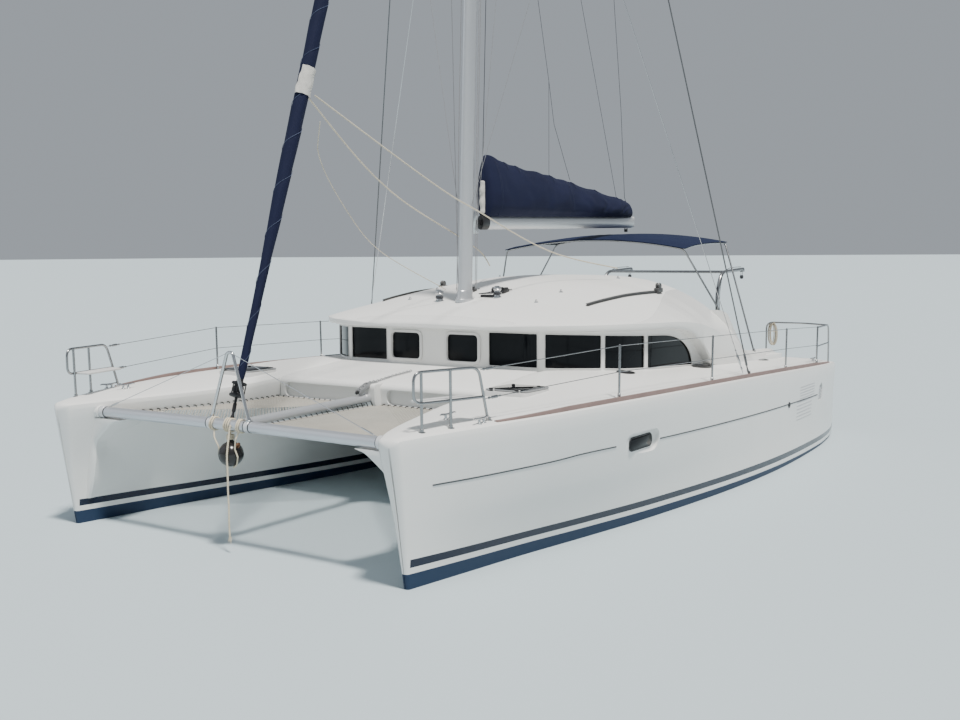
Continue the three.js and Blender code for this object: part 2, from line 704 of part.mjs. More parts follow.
function aftBulkhead() {
  const { x, thick, lowTop, highFoot } = BULKHEAD;
  const { y0, y1, z0, z1 } = DOORWAY;
  const inside = roofInside();
  const under = [-1, 1].map((side) => inside.translate([0, side * CLEARANCE, -CLEARANCE]));
  const upper = box(x, x + thick, -ROOM_SIDE, ROOM_SIDE, highFoot, ROOM_HIGH)
    .intersect(under[0]).intersect(under[1]);
  const lower = box(x, x + thick, -TUNNEL_Y + 1, TUNNEL_Y - 1, SOLE_Z + CLEARANCE, lowTop);
  const through = (a, b, c, d) => box(x - thick, x + 2 * thick, a, b, c, d);
  const { starboardShift, ...pane } = BULKHEAD_WINDOW;
  const window = through(pane.y0, pane.y1, pane.z0, pane.z1);
  const body = upper.add(lower).subtract(decksLifted).subtract(through(y0, y1, z0, z1)).subtract(window)
    .subtract(mirrorSolid(window.translate([0, starboardShift, 0])));
  const track = (deep, low, high) => box(x - deep, x + 1, y0 - DOOR.track, y1 + 60, low, high);
  const trackLow = track(30, z0 - DOOR.drop - 14, z0 - DOOR.drop - CLEARANCE);
  const trackHigh = track(44, z1 + DOOR.rise + 6, z1 + DOOR.rise + 18);
  return mainBody(body.add(trackLow).add(trackHigh));
}

function saloonDoor() {
  const face = BULKHEAD.x - DOOR.gap - DOOR.thick;
  const { y0, y1, z0, z1 } = DOORWAY;
  const { out, inset, wide, low, high } = DOOR_HANDLE;
  const leaf = box(face, face + DOOR.thick, y0 - DOOR.lap, y1 + DOOR.lap, z0 - DOOR.drop, z1 + DOOR.rise);
  return leaf.add(box(face - out, face + 2, y1 - inset, y1 - inset + wide, low, high));
}

// Crossbeam, a round tube with a collar at each hull
function crossbeam() {
  const path = [];
  for (let i = 0; i <= 6; i += 1) {
    const share = i / 3 - 1;
    path.push([BEAM.x, share * BEAM.half, BEAM.z + BEAM.crown * (1 - share ** 2)]);
  }
  let body = tube(path, BEAM.radius, 14);
  for (const side of [-1, 1]) {
    const y = side * (BEAM.socketY - 36);
    body = body.add(crosswise(BEAM.x, y - 32, y + 32, BEAM.z, BEAM.collar, 16));
  }
  const shifted = hullBody.translate([0, -CLEARANCE, 0]);
  return mainBody(body.subtract(shifted).subtract(mirrorSolid(shifted)));
}

// Centre tube from the crossbeam up to the foredeck's nose, between the nets
const CENTRE_TUBE = { fore: [BEAM.x - 25, 0, 1262], aft: [3180, 0, 1318], radius: 55 };
function centreTube() {
  const { fore, aft, radius } = CENTRE_TUBE;
  const beamRoom = crosswise(BEAM.x, -200, 200, BEAM.z + BEAM.crown, BEAM.radius + 1, 32);
  const body = cone(aft, fore, radius, radius, 16).subtract(beamRoom);
  return mainBody(body.subtract(bridge.translate([CLEARANCE, 0, 0])));
}

// Trampoline nets, laced to the beam, the tube, the hulls and the foredeck
const NET = { z: 1222, thick: 10, lap: 150, side: 2300, front: BEAM.x - 20 };
function net() {
  const { z, thick, lap, side, front } = NET;
  const inner = CENTRE_TUBE.radius + 0.5;
  const back = BRIDGE.front - lap;
  const body = plate([[back, inner], [front, inner], [front, side], [back, side]], z, z + thick);
  const beamRoom = crosswise(BEAM.x, -10, side + lap, BEAM.z, BEAM.radius + BEAM.crown + 2, 32);
  const bare = body.subtract(beamRoom).subtract(bridge.translate([CLEARANCE, 0, 0]));
  return mainBody(bare.subtract(hullBody.translate([0, -CLEARANCE, 0])));
}

// Striker, the bent frame that stands on the crossbeam and carries the forestay's pull
const STRIKER = {
  apexZ: 2010, apexX: 5400, apexHalf: 38, foot: 265, radius: 17, bend: 70, flange: 34, flangeHigh: 16,
};
function striker() {
  const { apexX, apexZ, apexHalf, foot, radius, bend, flange, flangeHigh } = STRIKER;
  const footZ = BEAM.z + BEAM.crown + BEAM.radius + CLEARANCE;
  const feet = [-1, 1].map((side) => [BEAM.x, side * foot, footZ]);
  const apex = [-1, 1].map((side) => [apexX, side * apexHalf, apexZ]);
  const legs = tube(rounded([feet[0], ...apex, feet[1]], bend), radius, 6);
  const flanges = feet.map(([x, y]) => upright(x, y, footZ, footZ + flangeHigh, flange, 12));
  const beamRoom = crosswise(BEAM.x, -2 * foot, 2 * foot, BEAM.z + BEAM.crown, BEAM.radius + 0.2, 32);
  return mainBody(joined([legs, ...flanges]).subtract(beamRoom));
}

// Forestay line, from the crossbeam up to the mast, with the furled headsail round it
const STAY_FOOT = [5395, 0, 1345];
const STAY_TOP = [805, 0, 15000];
function stayAt(z) {
  const share = (z - STAY_FOOT[2]) / (STAY_TOP[2] - STAY_FOOT[2]);
  return STAY_FOOT.map((value, k) => value + (STAY_TOP[k] - value) * share);
}

function cone(a, b, radiusA, radiusB, sides = 12) {
  const from = new THREE.Vector3(...a);
  const to = new THREE.Vector3(...b);
  const axis = to.clone().sub(from);
  const geometry = new THREE.CylinderGeometry(radiusB, radiusA, axis.length(), sides);
  const up = new THREE.Vector3(0, 1, 0);
  const turn = new THREE.Quaternion().setFromUnitVectors(up, axis.clone().normalize());
  geometry.applyQuaternion(turn);
  const middle = from.clone().add(to).multiplyScalar(0.5);
  geometry.translate(middle.x, middle.y, middle.z);
  return solid(geometry);
}

const DRUM = {
  low: 1560, high: 1690, radius: 80, flange: 22, spool: 42, neck: 32, toggleZ: 1330, toggle: 18,
};
const GENOA = { low: 1730, high: 14250 };
function furlerDrum() {
  const { low, high, radius, flange, spool, neck, toggleZ, toggle } = DRUM;
  const body = joined([
    cone(stayAt(low + flange - 2), stayAt(high - flange + 2), spool, spool),
    cone(stayAt(low), stayAt(low + flange), radius, radius, 16),
    cone(stayAt(high - flange), stayAt(high), radius, radius, 16),
    cone(stayAt(toggleZ), stayAt(low + LAP), toggle, toggle, 10),
    cone(stayAt(high - LAP), stayAt(GENOA.low - 1), neck, neck),
  ]);
  const beamRoom = crosswise(BEAM.x, -400, 400, BEAM.z + BEAM.crown, BEAM.radius + CLEARANCE, 32);
  return mainBody(body.subtract(beamRoom));
}

// Columns: z, radius
const genoaTable = [
  [GENOA.low, 35], [2100, 42], [2900, 50], [3500, 66], [4200, 74], [6200, 74], [9500, 60], [GENOA.high, 30],
];
const GENOA_SIDES = 14;
const STAY_LEAN = 0.34;
const SAIL_HEAD = { radius: 12, lap: 40, top: 14990 };
function genoa() {
  const rings = genoaTable.map(([z, radius]) => {
    const [x, , height] = stayAt(z);
    return Array.from({ length: GENOA_SIDES }, (_, i) => {
      const angle = (i / GENOA_SIDES) * 2 * Math.PI;
      const [ahead, aside] = [radius * Math.cos(angle), radius * Math.sin(angle)];
      return [x + ahead, aside, height + ahead * STAY_LEAN];
    });
  });
  const { radius: headRadius, lap, top } = SAIL_HEAD;
  const head = cone(stayAt(GENOA.high - lap), stayAt(top), headRadius, headRadius, 8);
  return mainBody(loft(rings).add(head).subtract(mastEnvelope()));
}

// Mast, an oval tube stepped on the roof
const MAST = { x: 1280, footZ: 2372, topZ: 16900, foreHalf: 120, sideHalf: 74, rake: 0.045 };
const MAST_HEAD = {
  taperFrom: 15200, scale: 0.72, craneBack: 500, craneFore: 120, craneHalf: 28, craneHigh: 60,
};
const MAST_SHOE = { scale: 1.35, topScale: 1.3, high: 25, foot: 15, blank: 235 };
function mastX(z) {
  return MAST.x - (z - MAST.footZ) * MAST.rake;
}

function mastSection(z, scale, sides = 16) {
  const x = mastX(z);
  return Array.from({ length: sides }, (_, i) => {
    const angle = (i / sides) * 2 * Math.PI;
    return [
      x + MAST.foreHalf * scale * Math.cos(angle),
      MAST.sideHalf * scale * Math.sin(angle) * (Math.cos(angle) > -0.01 ? 1 : 1.06),
      z,
    ];
  });
}

function mastEnvelope() {
  return loft([mastSection(MAST.footZ - 300, 1.005), mastSection(MAST.topZ + 400, 1.005)]);
}

function mast() {
  const { taperFrom, scale, craneBack, craneFore, craneHalf, craneHigh } = MAST_HEAD;
  const blankZ = MAST.footZ - MAST_SHOE.blank;
  const column = loft([mastSection(blankZ, 1), mastSection(taperFrom, 1), mastSection(MAST.topZ, scale)]);
  const shoeTop = mastSection(MAST.footZ + MAST_SHOE.high, MAST_SHOE.topScale);
  const shoe = loft([mastSection(blankZ, MAST_SHOE.scale), shoeTop]);
  const topX = mastX(MAST.topZ);
  const crane = box(
    topX - craneBack, topX + craneFore, -craneHalf, craneHalf, MAST.topZ - craneHigh, MAST.topZ);
  const below = box(ROOM_BACK, -ROOM_BACK, -ROOM_SIDE, ROOM_SIDE, SOLE_Z, MAST.footZ - MAST_SHOE.foot);
  return mainBody(joined([column, shoe, crane]).subtract(roof.translate([0, 0, CLEARANCE])).subtract(below));
}

// Spreaders, one swept arm each side from a band round the mast
const SPREADER = {
  rootZ: 8240, tip: [253, 1822, 8300], rootRadius: 36, tipRadius: 22, past: 1.012, band: 45,
};
function spreaders() {
  const { rootZ, tip, rootRadius, tipRadius, past, band } = SPREADER;
  const root = [mastX(rootZ), 60, rootZ];
  const end = root.map((value, k) => value + (tip[k] - value) * past);
  const arm = cone(root, end, rootRadius, tipRadius, 10).subtract(shroudWire(SHROUD.wire + CLEARANCE));
  const ring = loft([mastSection(rootZ - band, 1.14), mastSection(rootZ + band, 1.14)]);
  return mainBody(joined([ring, arm, mirrorSolid(arm)]).subtract(mastEnvelope()));
}

// Cap shrouds, from a plate on each side deck over the spreader's end to the mast
const CHAINPLATE = { x: -560, y: 3160, z: 1382, half: 30, thick: 5, low: 40, high: 75 };
const SHROUD = { wire: 7, screw: 15, screwFrom: 0.006, screwTo: 0.052, top: [745, 70, 13850] };
function shroudWire(radius) {
  return tube([[CHAINPLATE.x, CHAINPLATE.y, CHAINPLATE.z], SPREADER.tip, SHROUD.top], radius, 8);
}

function shroud() {
  const { x, y, z, half, thick, low, high } = CHAINPLATE;
  const foot = [x, y, z];
  const at = (share) => foot.map((value, k) => value + (SPREADER.tip[k] - value) * share);
  const screw = cone(at(SHROUD.screwFrom), at(SHROUD.screwTo), SHROUD.screw, SHROUD.screw, 8);
  const tang = box(x - half, x + half, y - thick, y + thick, z - low, z + high);
  const body = joined([shroudWire(SHROUD.wire), screw, tang]);
  return mainBody(body.subtract(decksLifted).subtract(mastEnvelope()));
}

// Gooseneck on the mast's aft side, and the boom that swings on it
const PIVOT = { x: 1000, z: 3385, pin: 10, bore: 10.5 };
const GOOSENECK = { aft: 18, half: 22, high: 150, slotFront: 28, slotHalf: 46 };
const BOOM = { front: 960, back: -3480, rise: 0.02, halfHigh: 93, halfWide: 60, start: 900 };
const TOE = { back: 110, front: 20, half: 18, high: 36, eye: 22, room: 62, gap: 4 };
const BOOM_END = { back: 30, lap: 5, half: 50, low: 10, high: 175 };
function gooseneck() {
  const { aft, half, high, slotFront, slotHalf } = GOOSENECK;
  const { x, z } = PIVOT;
  const plateBody = box(x - aft, MAST.x - half * 3, -half, half, z - high, z + high);
  const slot = box(x - 2 * aft, x + slotFront, -3 * half, 3 * half, z - slotHalf, z + slotHalf);
  const pin = upright(x, 0, z - high, z + high, PIVOT.pin, 16);
  return mainBody(plateBody.subtract(slot).add(pin).subtract(mastEnvelope()));
}

function boomSection(x, scale = 1) {
  const z = PIVOT.z + (PIVOT.x - x) * BOOM.rise;
  return Array.from({ length: 16 }, (_, i) => {
    const angle = (i / 16) * 2 * Math.PI;
    return [x, BOOM.halfWide * scale * Math.sin(angle), z + BOOM.halfHigh * scale * Math.cos(angle)];
  });
}

function boom() {
  const { x, z, bore } = PIVOT;
  const { back, front, half, high, eye, room, gap } = TOE;
  const spar = loft([boomSection(BOOM.start), boomSection(BOOM.back)]);
  const toe = box(x - back, x + front, -half, half, z - high, z + high);
  const ring = upright(x, 0, z - high, z + high, eye, 16);
  const rooms = [[-high - gap - back, -high - gap], [high + gap, high + gap + back]].map(([low, top]) => (
    upright(x, 0, z + low, z + top, room, 24)));
  const end = box(
    BOOM.back - BOOM_END.back, BOOM.back + BOOM_END.lap, -BOOM_END.half, BOOM_END.half, z + BOOM_END.low,
    z + BOOM_END.high);
  return mainBody(spar.subtract(joined(rooms)).add(toe).add(ring).add(end)
    .subtract(upright(x, 0, z - 2 * high, z + 2 * high, bore, 32)));
}

// Sail bag, the canvas cover with the stowed mainsail in it, lying along the boom
// Columns: x, top z, half width at the boom, half width at its fullest
const bagTable = [
  [845, 4180, 40, 60], [800, 4280, 70, 130], [300, 4190, 85, 190], [-700, 4100, 90, 200],
  [-1900, 3970, 85, 180], [-3000, 3840, 75, 140], [-3400, 3770, 40, 70],
];
const BAG_LIFT = 75;
const BAG_TOP_HALF = 14;
const BAG_FIT = 1.006;
function bagRing([x, top, low, full]) {
  const boomTop = PIVOT.z + (PIVOT.x - x) * BOOM.rise + BAG_LIFT;
  const rise = top - boomTop;
  const half = [
    [low, 0], [full * 0.92, 0.16], [full, 0.36], [full * 0.82, 0.62], [full * 0.45, 0.86], [BAG_TOP_HALF, 1],
  ];
  const port = half.map(([y, share]) => [x, y, boomTop + rise * share]);
  const starboard = half.map(([y, share]) => [x, -y, boomTop + rise * share]).reverse();
  return [...port, ...starboard];
}

function sailBag() {
  const spar = loft([boomSection(BOOM.front + 500, BAG_FIT), boomSection(BOOM.back - 500, BAG_FIT)]);
  return mainBody(loft(bagTable.map(bagRing)).subtract(spar));
}

// Bow pulpits: one bent tube with its end turned back under itself, two legs and a seat board
const PULPIT = { radius: 14, top: 1950, mid: 1670, seat: 20, bend: 90, foot: 1330, aftFoot: 1370 };
const pulpitFeet = { fore: [5440, 2433], middle: [5154, 2544], aft: [4677, 2637] };
const pulpitRail = { aft: [4853, 2642], middle: [5154, 2540], fore: [5545, 2425], end: [4770, 2640] };
const seatCorners = [[4800, 2632], [5154, 2530], [5420, 2452], [5390, 2262], [4800, 2436]];
function pulpit() {
  const { radius, top, mid, seat, bend, foot, aftFoot } = PULPIT;
  const rail = tube(rounded([
    [...pulpitFeet.aft, aftFoot], [...pulpitRail.aft, top], [...pulpitRail.middle, top],
    [...pulpitRail.fore, top], [...pulpitRail.fore, mid], [...pulpitRail.middle, mid],
    [...pulpitRail.end, mid],
  ], bend), radius, 6);
  const legs = [pulpitFeet.fore, pulpitFeet.middle].map(([x, y]) => (
    tube([[x, y, foot], [x + 10, y + 6, top]], radius, 6)));
  const board = plate(seatCorners, mid - seat / 2, mid + seat / 2);
  return mainBody(joined([rail, ...legs, board]).subtract(decksLifted));
}

// Guard rails: stanchions, two wires and the stern rail as one piece on each side
// Columns: x, y, deck z
const stanchions = [[2780, 3012, 1440], [587, 3130, 1402], [-2030, 3126, 1334], [-3600, 3058, 1272]];
const RAIL = { high: 590, upper: 575, lower: 300, lean: 8, post: 13, wire: 6, bend: 110, sunk: 30 };
const wireStarts = { upper: [4824, 2645, 1925], lower: [4738, 2645, 1650] };
const sternRail = {
  outer: 2980, corner: -4420, inner: 1950, back: -4480, top: 1840, mid: 1555, foot: 1190, drop: 1500,
  side: [-4350, 15], start: [-4230, 26], turn: 2600,
};
function guardRail() {
  const { high, upper, lower, lean, post, wire, bend, sunk } = RAIL;
  const { outer, corner, inner, back, top, mid, foot, drop, side, start, turn } = sternRail;
  const [lastX, lastY] = stanchions.at(-1);
  const bars = stanchions.map(([x, y, z]) => tube([[x, y, z - sunk], [x, y + lean, z + high]], post, 5));
  const line = (height, from) => tube([
    from, ...stanchions.map(([x, y, z]) => [x, y + lean * (height / high), z + height]),
  ], wire, 4);
  const outerBow = [
    [lastX, lastY + lean, top], [side[0], outer + side[1], top], [corner, outer, drop], [corner, outer, foot],
  ];
  const innerBow = [
    [start[0], outer + start[1], top], [back, turn, top], [back, inner, top], [back, inner, foot],
  ];
  const body = joined([
    ...bars,
    line(upper, wireStarts.upper),
    line(lower, wireStarts.lower),
    tube(rounded(outerBow, bend), post, 6),
    tube(rounded(innerBow, bend), post, 6),
    tube([[lastX, lastY + lean / 2, mid], [corner, outer, mid]], post - 2, 6),
  ]);
  return mainBody(body.subtract(decksLifted));
}

// Deck hatch: a frame on the deck and a smoked lid hinged at its forward edge
const HATCH = { x: 3200, y: 2010, half: 262, foot: 1380, top: 1534, wall: 30, lid: 22 };
const HINGE = {
  x: 3450, z: 1558, half: 25, radius: 9, ear: 7, earWide: 12, earTop: 6, arm: 20, armLow: 7, armTop: 3,
};
const hingePlaces = [-160, 160];
const LID_GAP = 18;
function hatchFrame() {
  const { x, y, half, foot, top, wall } = HATCH;
  const outer = box(x - half, x + half, y - half, y + half, foot, top);
  const room = half - wall;
  const opening = box(x - room, x + room, y - room, y + room, foot - 100, top + 100);
  const ears = hingePlaces.map((side) => {
    const start = y + side + HINGE.half + CLEARANCE;
    const [back, front] = [HINGE.x - HINGE.ear, HINGE.x + HINGE.ear];
    return box(back, front, start, start + HINGE.earWide, top - 1, HINGE.z + HINGE.earTop);
  });
  return mainBody(joined([outer.subtract(opening), ...ears]).subtract(decksLifted));
}

function hatchLid() {
  const { x, y, half, top, lid } = HATCH;
  const low = top + RUNNING_CLEARANCE;
  const panel = box(x - half, HINGE.x - LID_GAP, y - half, y + half, low, low + lid);
  const knuckles = hingePlaces.map((side) => (
    crosswise(HINGE.x, y + side - HINGE.half, y + side + HINGE.half, HINGE.z, HINGE.radius, 12)));
  const arms = hingePlaces.map((side) => box(
    HINGE.x - HINGE.arm, HINGE.x, y + side - HINGE.half, y + side + HINGE.half, HINGE.z - HINGE.armLow,
    HINGE.z + HINGE.armTop));
  return joined([panel, ...knuckles, ...arms]);
}

// Helm: a console on the bulkhead's aft face, the wheel on its shaft, and the seat behind it
const HELM = {
  y: 1110, wheelX: -1760, z: 1520, rim: 330, tube: 15, shaft: -1700, root: -1600, hub: 40, hubAft: 40,
  boss: 42,
};
const SPOKES = { count: 5, turn: 0.3, aft: 15, inner: 10, outer: 8 };
// Columns: x, z
const consoleProfile = [
  [BULKHEAD.x - CLEARANCE, SOLE_Z + CLEARANCE], [-1620, SOLE_Z + CLEARANCE], [-1660, 1500], [-1610, 1720],
  [-1420, 1800], [BULKHEAD.x - CLEARANCE, 1800],
];
const consoleSides = [-240, 230];
function helmConsole() {
  const [starboard, port] = consoleSides.map((side) => HELM.y + side);
  const shaft = lengthwise(HELM.shaft, HELM.root, HELM.y, HELM.z, HELM.boss, 16);
  const body = slice(consoleProfile, starboard, port).add(shaft);
  return mainBody(body.subtract(bulkheadBody.translate([-CLEARANCE, 0, 0])).subtract(decksLifted)
    .subtract(roof.translate([0, -CLEARANCE, -CLEARANCE])));
}

function steeringWheel() {
  const { y, z, wheelX, rim, hub, hubAft, shaft } = HELM;
  const ring = new THREE.TorusGeometry(rim, HELM.tube, 6, 22);
  ring.rotateY(Math.PI / 2);
  ring.translate(wheelX, y, z);
  let body = solid(ring).add(lengthwise(wheelX - hubAft, shaft - CLEARANCE, y, z, hub, 16));
  for (let i = 0; i < SPOKES.count; i += 1) {
    const angle = (i / SPOKES.count) * 2 * Math.PI + SPOKES.turn;
    const rimPoint = [wheelX, y + rim * Math.cos(angle), z + rim * Math.sin(angle)];
    body = body.add(cone([wheelX - SPOKES.aft, y, z], rimPoint, SPOKES.inner, SPOKES.outer, 5));
  }
  return mainBody(body);
}

const SEAT = {
  back: -2750, front: -2300, y0: 850, y1: 1494, baseTop: 1330, top: 1400, restTop: 1720, restThick: 50,
};
const CUSHION_INSET = 10;
function helmSeat() {
  const { back, front, y0, y1, baseTop, top, restTop, restThick } = SEAT;
  const base = box(back, front, y0, y1, SOLE_Z + CLEARANCE, baseTop);
  const cushion = box(
    back + 15, front - 15, y0 + CUSHION_INSET, y1 - CUSHION_INSET, baseTop - CUSHION_INSET, top);
  const rest = box(
    back, back + restThick, y0 + CUSHION_INSET, y1 - CUSHION_INSET, top - CUSHION_INSET, restTop);
  return joined([base, cushion, rest]).subtract(decksLifted);
}

// Cockpit table on one leg
const TABLE = {
  x0: -3900, x1: -2700, y0: -880, y1: -180, low: 1440, top: 1468, leg: 55, foot: 150, footHigh: 20,
};
function cockpitTable() {
  const { x0, x1, y0, y1, low, top, leg, foot, footHigh } = TABLE;
  const [x, y] = [(x0 + x1) / 2, (y0 + y1) / 2];
  return joined([
    box(x0, x1, y0, y1, low, top),
    upright(x, y, SOLE_Z + CLEARANCE, low + LAP, leg, 16),
    upright(x, y, SOLE_Z + CLEARANCE, SOLE_Z + footHigh, foot, 20),
  ]);
}

// Cockpit coaming on each side, running aft from the coachroof
// Columns: x, outboard y, inboard y, top z
const coamingTable = [
  [roofTable[0][0] - CLEARANCE, 2520, 2050, 2160], [-2050, 2500, 2060, 1960], [-2350, 2470, 2080, 1720],
  [-2700, 2430, 2090, 1540],
  [-3100, 2400, 2090, 1490], [-4100, 2330, 2050, 1440], [-4300, 2280, 2080, 1380],
];
const COAMING_FOOT = 1200;
function coaming() {
  const rings = coamingTable.map(([x, out, inner, top]) => [
    [x, out, COAMING_FOOT], [x, out - 4, 1380], [x, out - (out - inner) * 0.34, top - 50],
    [x, out - (out - inner) * 0.55, top], [x, inner + 40, top], [x, inner, top - 40],
    [x, inner, COAMING_FOOT],
  ]);
  return mainBody(loft(rings).subtract(decksLifted));
}

// Davits at the stern, two bent tubes joined by a cross tube
const DAVIT = {
  y: 1080, foot: -4560, headX: -5650, headZ: 2640, radius: 30, bend: 260, kneeZ: 2300, knee: 60,
  shoulder: -120, headRise: 40, cross: 24, crossBack: 240, crossRise: 6,
};
const DAVIT_FOOT = { long: 70, half: 60, high: 14 };
const DAVIT_HEAD = { back: 20, front: 80, half: 30, low: 10, high: 50 };
function davits() {
  const { y, foot, headX, headZ, radius, bend, kneeZ, knee, shoulder, headRise } = DAVIT;
  const { cross, crossBack, crossRise } = DAVIT;
  const deck = AFT_BENCH_Z + CLEARANCE;
  const sides = [-1, 1].map((side) => side * y);
  const bars = sides.map((at) => tube(rounded([
    [foot, at, deck], [foot + knee, at, kneeZ], [foot + shoulder, at, headZ], [headX, at, headZ + headRise],
  ], bend), radius, 8));
  const feet = sides.map((at) => box(
    foot - DAVIT_FOOT.long, foot + DAVIT_FOOT.long, at - DAVIT_FOOT.half, at + DAVIT_FOOT.half, deck,
    AFT_BENCH_Z + DAVIT_FOOT.high));
  const heads = sides.map((at) => box(
    headX - DAVIT_HEAD.back, headX + DAVIT_HEAD.front, at - DAVIT_HEAD.half, at + DAVIT_HEAD.half,
    headZ - DAVIT_HEAD.low, headZ + DAVIT_HEAD.high));
  const bar = crosswise(foot - crossBack, -y, y, headZ + crossRise, cross, 12);
  return joined([...bars, bar, ...feet, ...heads]).subtract(box(-6000, -4000, -2000, 2000, SOLE_Z, deck));
}

// Bimini: a canopy over the cockpit on three tube bows that stand on the coamings
// Columns: x, crown z
const biminiTable = [[-3720, 3280], [-3300, 3278], [-2900, 3265], [-2450, 3232], [-2110, 3180]];
const BIMINI = {
  half: 1560, drop: 150, thick: 10, radius: 14, inset: 0.985, strips: 6, footY: 2230, footZ: 1480,
};

// The height of the canopy's underside at a place across the boat, below its crown
function archDrop(y) {
  return BIMINI.drop * (y / BIMINI.half) ** 2;
}

function archLine(lift) {
  return Array.from({ length: BIMINI.strips + 1 }, (_, i) => {
    const y = ((2 * i) / BIMINI.strips - 1) * BIMINI.half;
    return [y, lift - archDrop(y)];
  });
}

// One arch drawn out along the boat, each of its steps then moved to its row of the table
function biminiCanopy() {
  const arch = outline([...archLine(0), ...archLine(BIMINI.thick).reverse()]);
  const steps = biminiTable.length - 1;
  const geometry = new THREE.ExtrudeGeometry(arch, { depth: steps, steps, bevelEnabled: false });
  geometry.rotateX(Math.PI / 2);
  geometry.rotateZ(Math.PI / 2);
  const place = geometry.attributes.position;
  for (let i = 0; i < place.count; i += 1) {
    const [x, crown] = biminiTable[Math.round(place.getX(i))];
    place.setXYZ(i, x, place.getY(i), place.getZ(i) + crown);
  }
  return solid(geometry);
}

// Columns: x where the bow meets the canopy, x of its foot
const biminiBows = [[-2130, -2780], [-3700, -3180]];
const HEM = 5;
function biminiFrame() {
  const { radius, inset, half, footY, footZ } = BIMINI;
  const under = 0.5 - radius;
  const bow = (x) => archLine(under).map(([y, z]) => [x, y * inset, z + along(biminiTable, 1, x)]);
  const bows = biminiBows.map(([top, foot]) => (
    tube([[foot, -footY, footZ], ...bow(top), [foot, footY, footZ]], radius, 6)));
  const braceDrop = under - archDrop(half * inset);
  const braces = [-1, 1].map((side) => tube(
    biminiTable.map(([x, crown]) => [x, side * half * inset, crown + braceDrop]), radius, 6));
  const body = joined([...bows, tube(bow(biminiTable[2][0]), radius, 6), ...braces]);
  const [back, front] = [biminiTable[0][0] + 3 * HEM, biminiTable.at(-1)[0] - 3 * HEM];
  const ends = [[back - 100, back], [front, front + 100]].map(([low, high]) => (
    box(low, high, -2000, 2000, 2800, 3400)));
  const standing = [coamingBody, mirrorSolid(coamingBody)].map((side) => side.translate([0, 0, CLEARANCE]));
  return mainBody(body.subtract(joined(ends)).subtract(standing[0]).subtract(standing[1])
    .subtract(canopyBody.translate([0, 0, -CLEARANCE])));
}

// Swimming ladder at the port platform, folded up against its hinge
const LADDER = { x: -5798, z: 372, half: 150, long: 520, radius: 11, pin: 8, bore: 8.6, rise: 6 };
const TREAD = { half: 28, low: 4, high: 16 };
const treadPlaces = [0.28, 0.62, 0.97];
const LADDER_BASE = { front: 150, back: 6, half: 130, thick: 10 };
const LADDER_EAR = { y: 120, half: 8, back: 16, front: 40, top: 16 };
function ladderBracket() {
  const { x, z, bore } = LADDER;
  const base = box(
    x + LADDER_BASE.back, x + LADDER_BASE.front, HULL_Y - LADDER_BASE.half, HULL_Y + LADDER_BASE.half,
    PLATFORM_Z + CLEARANCE, PLATFORM_Z + LADDER_BASE.thick);
  const ears = [-LADDER_EAR.y, LADDER_EAR.y].map((side) => box(
    x - LADDER_EAR.back, x + LADDER_EAR.front, HULL_Y + side - LADDER_EAR.half,
    HULL_Y + side + LADDER_EAR.half, PLATFORM_Z + LAP, z + LADDER_EAR.top));
  return joined([base, ...ears]).subtract(crosswise(x, HULL_Y - 200, HULL_Y + 200, z, bore, 14));
}

function ladder() {
  const { x, z, half, long, radius, pin, rise } = LADDER;
  const side = (y) => tube([[x, y, z], [x + long, y, z + rise]], radius, 8);
  const treads = treadPlaces.map((share) => box(
    x + share * long - TREAD.half, x + share * long + TREAD.half, HULL_Y - half, HULL_Y + half, z - TREAD.low,
    z + TREAD.high));
  const pivot = crosswise(x, HULL_Y - half, HULL_Y + half, z, pin, 12);
  return joined([side(HULL_Y - half), side(HULL_Y + half), ...treads, pivot]);
}

// Bow roller on the foredeck's nose: two cheek plates on a shoe, with the roller between them
const ROLLER = { x: 3430, z: 1396, radius: 26, half: 34, cheek: 4 };
const ROLLER_SHOE = { back: 3120, front: 3250, low: 1440, top: 1498 };
// Columns: x, z
const cheekProfile = [
  [3120, 1500], [3270, 1508], [3452, 1430], [3462, 1384], [3430, 1362], [3290, 1420], [3120, 1470],
];
function bowRoller() {
  const { x, z, radius, half, cheek } = ROLLER;
  const cheeks = [-half, half].map((y) => slice(cheekProfile, y - cheek, y + cheek));
  const wheel = crosswise(x, -half, half, z, radius, 16);
  const shoe = box(
    ROLLER_SHOE.back, ROLLER_SHOE.front, -half - 2, half + 2, ROLLER_SHOE.low, ROLLER_SHOE.top);
  return mainBody(joined([...cheeks, wheel, shoe]).subtract(bridge.translate([CLEARANCE, 0, CLEARANCE])));
}

// Ball fender on a lanyard under the crossbeam
const FENDER = { x: 5420, z: 985, radius: 128, lanyard: 9, neck: 24, neckHigh: 26 };
function fenderBall() {
  const { x, z, radius, lanyard, neck, neckHigh } = FENDER;
  const top = z + radius;
  const ball = new THREE.SphereGeometry(radius, 14, 10);
  ball.translate(x, 0, z);
  const line = upright(x, 0, top - 6, BEAM.z, lanyard, 8);
  const collar = upright(x, 0, top - 10, top + neckHigh, neck, 12);
  return mainBody(joined([solid(ball), line, collar]).subtract(beamBody.translate([0, 0, -CLEARANCE])));
}

// Loose rope hanging from the crossbeam past the ball, with its end frayed
const ropeRoute = [
  [5470, 62, 1290], [5488, 62, 1264], [5497, 62, 1215], [5507, 63, 1165], [5518, 64, 1110], [5529, 66, 1055],
  [5539, 68, 1000], [5543, 70, 940], [5543, 72, 870], [5542, 73, 800], [5543, 74, 725], [5545, 75, 650],
  [5544, 76, 570], [5542, 77, 490], [5543, 78, 410], [5545, 79, 330], [5544, 80, 245], [5542, 81, 170],
];
const ROPE_RADIUS = 10;

function ropeTail() {
  return mainBody(tube(ropeRoute, ROPE_RADIUS, 8).subtract(beamBody.translate([CLEARANCE, 0, 0])));
}

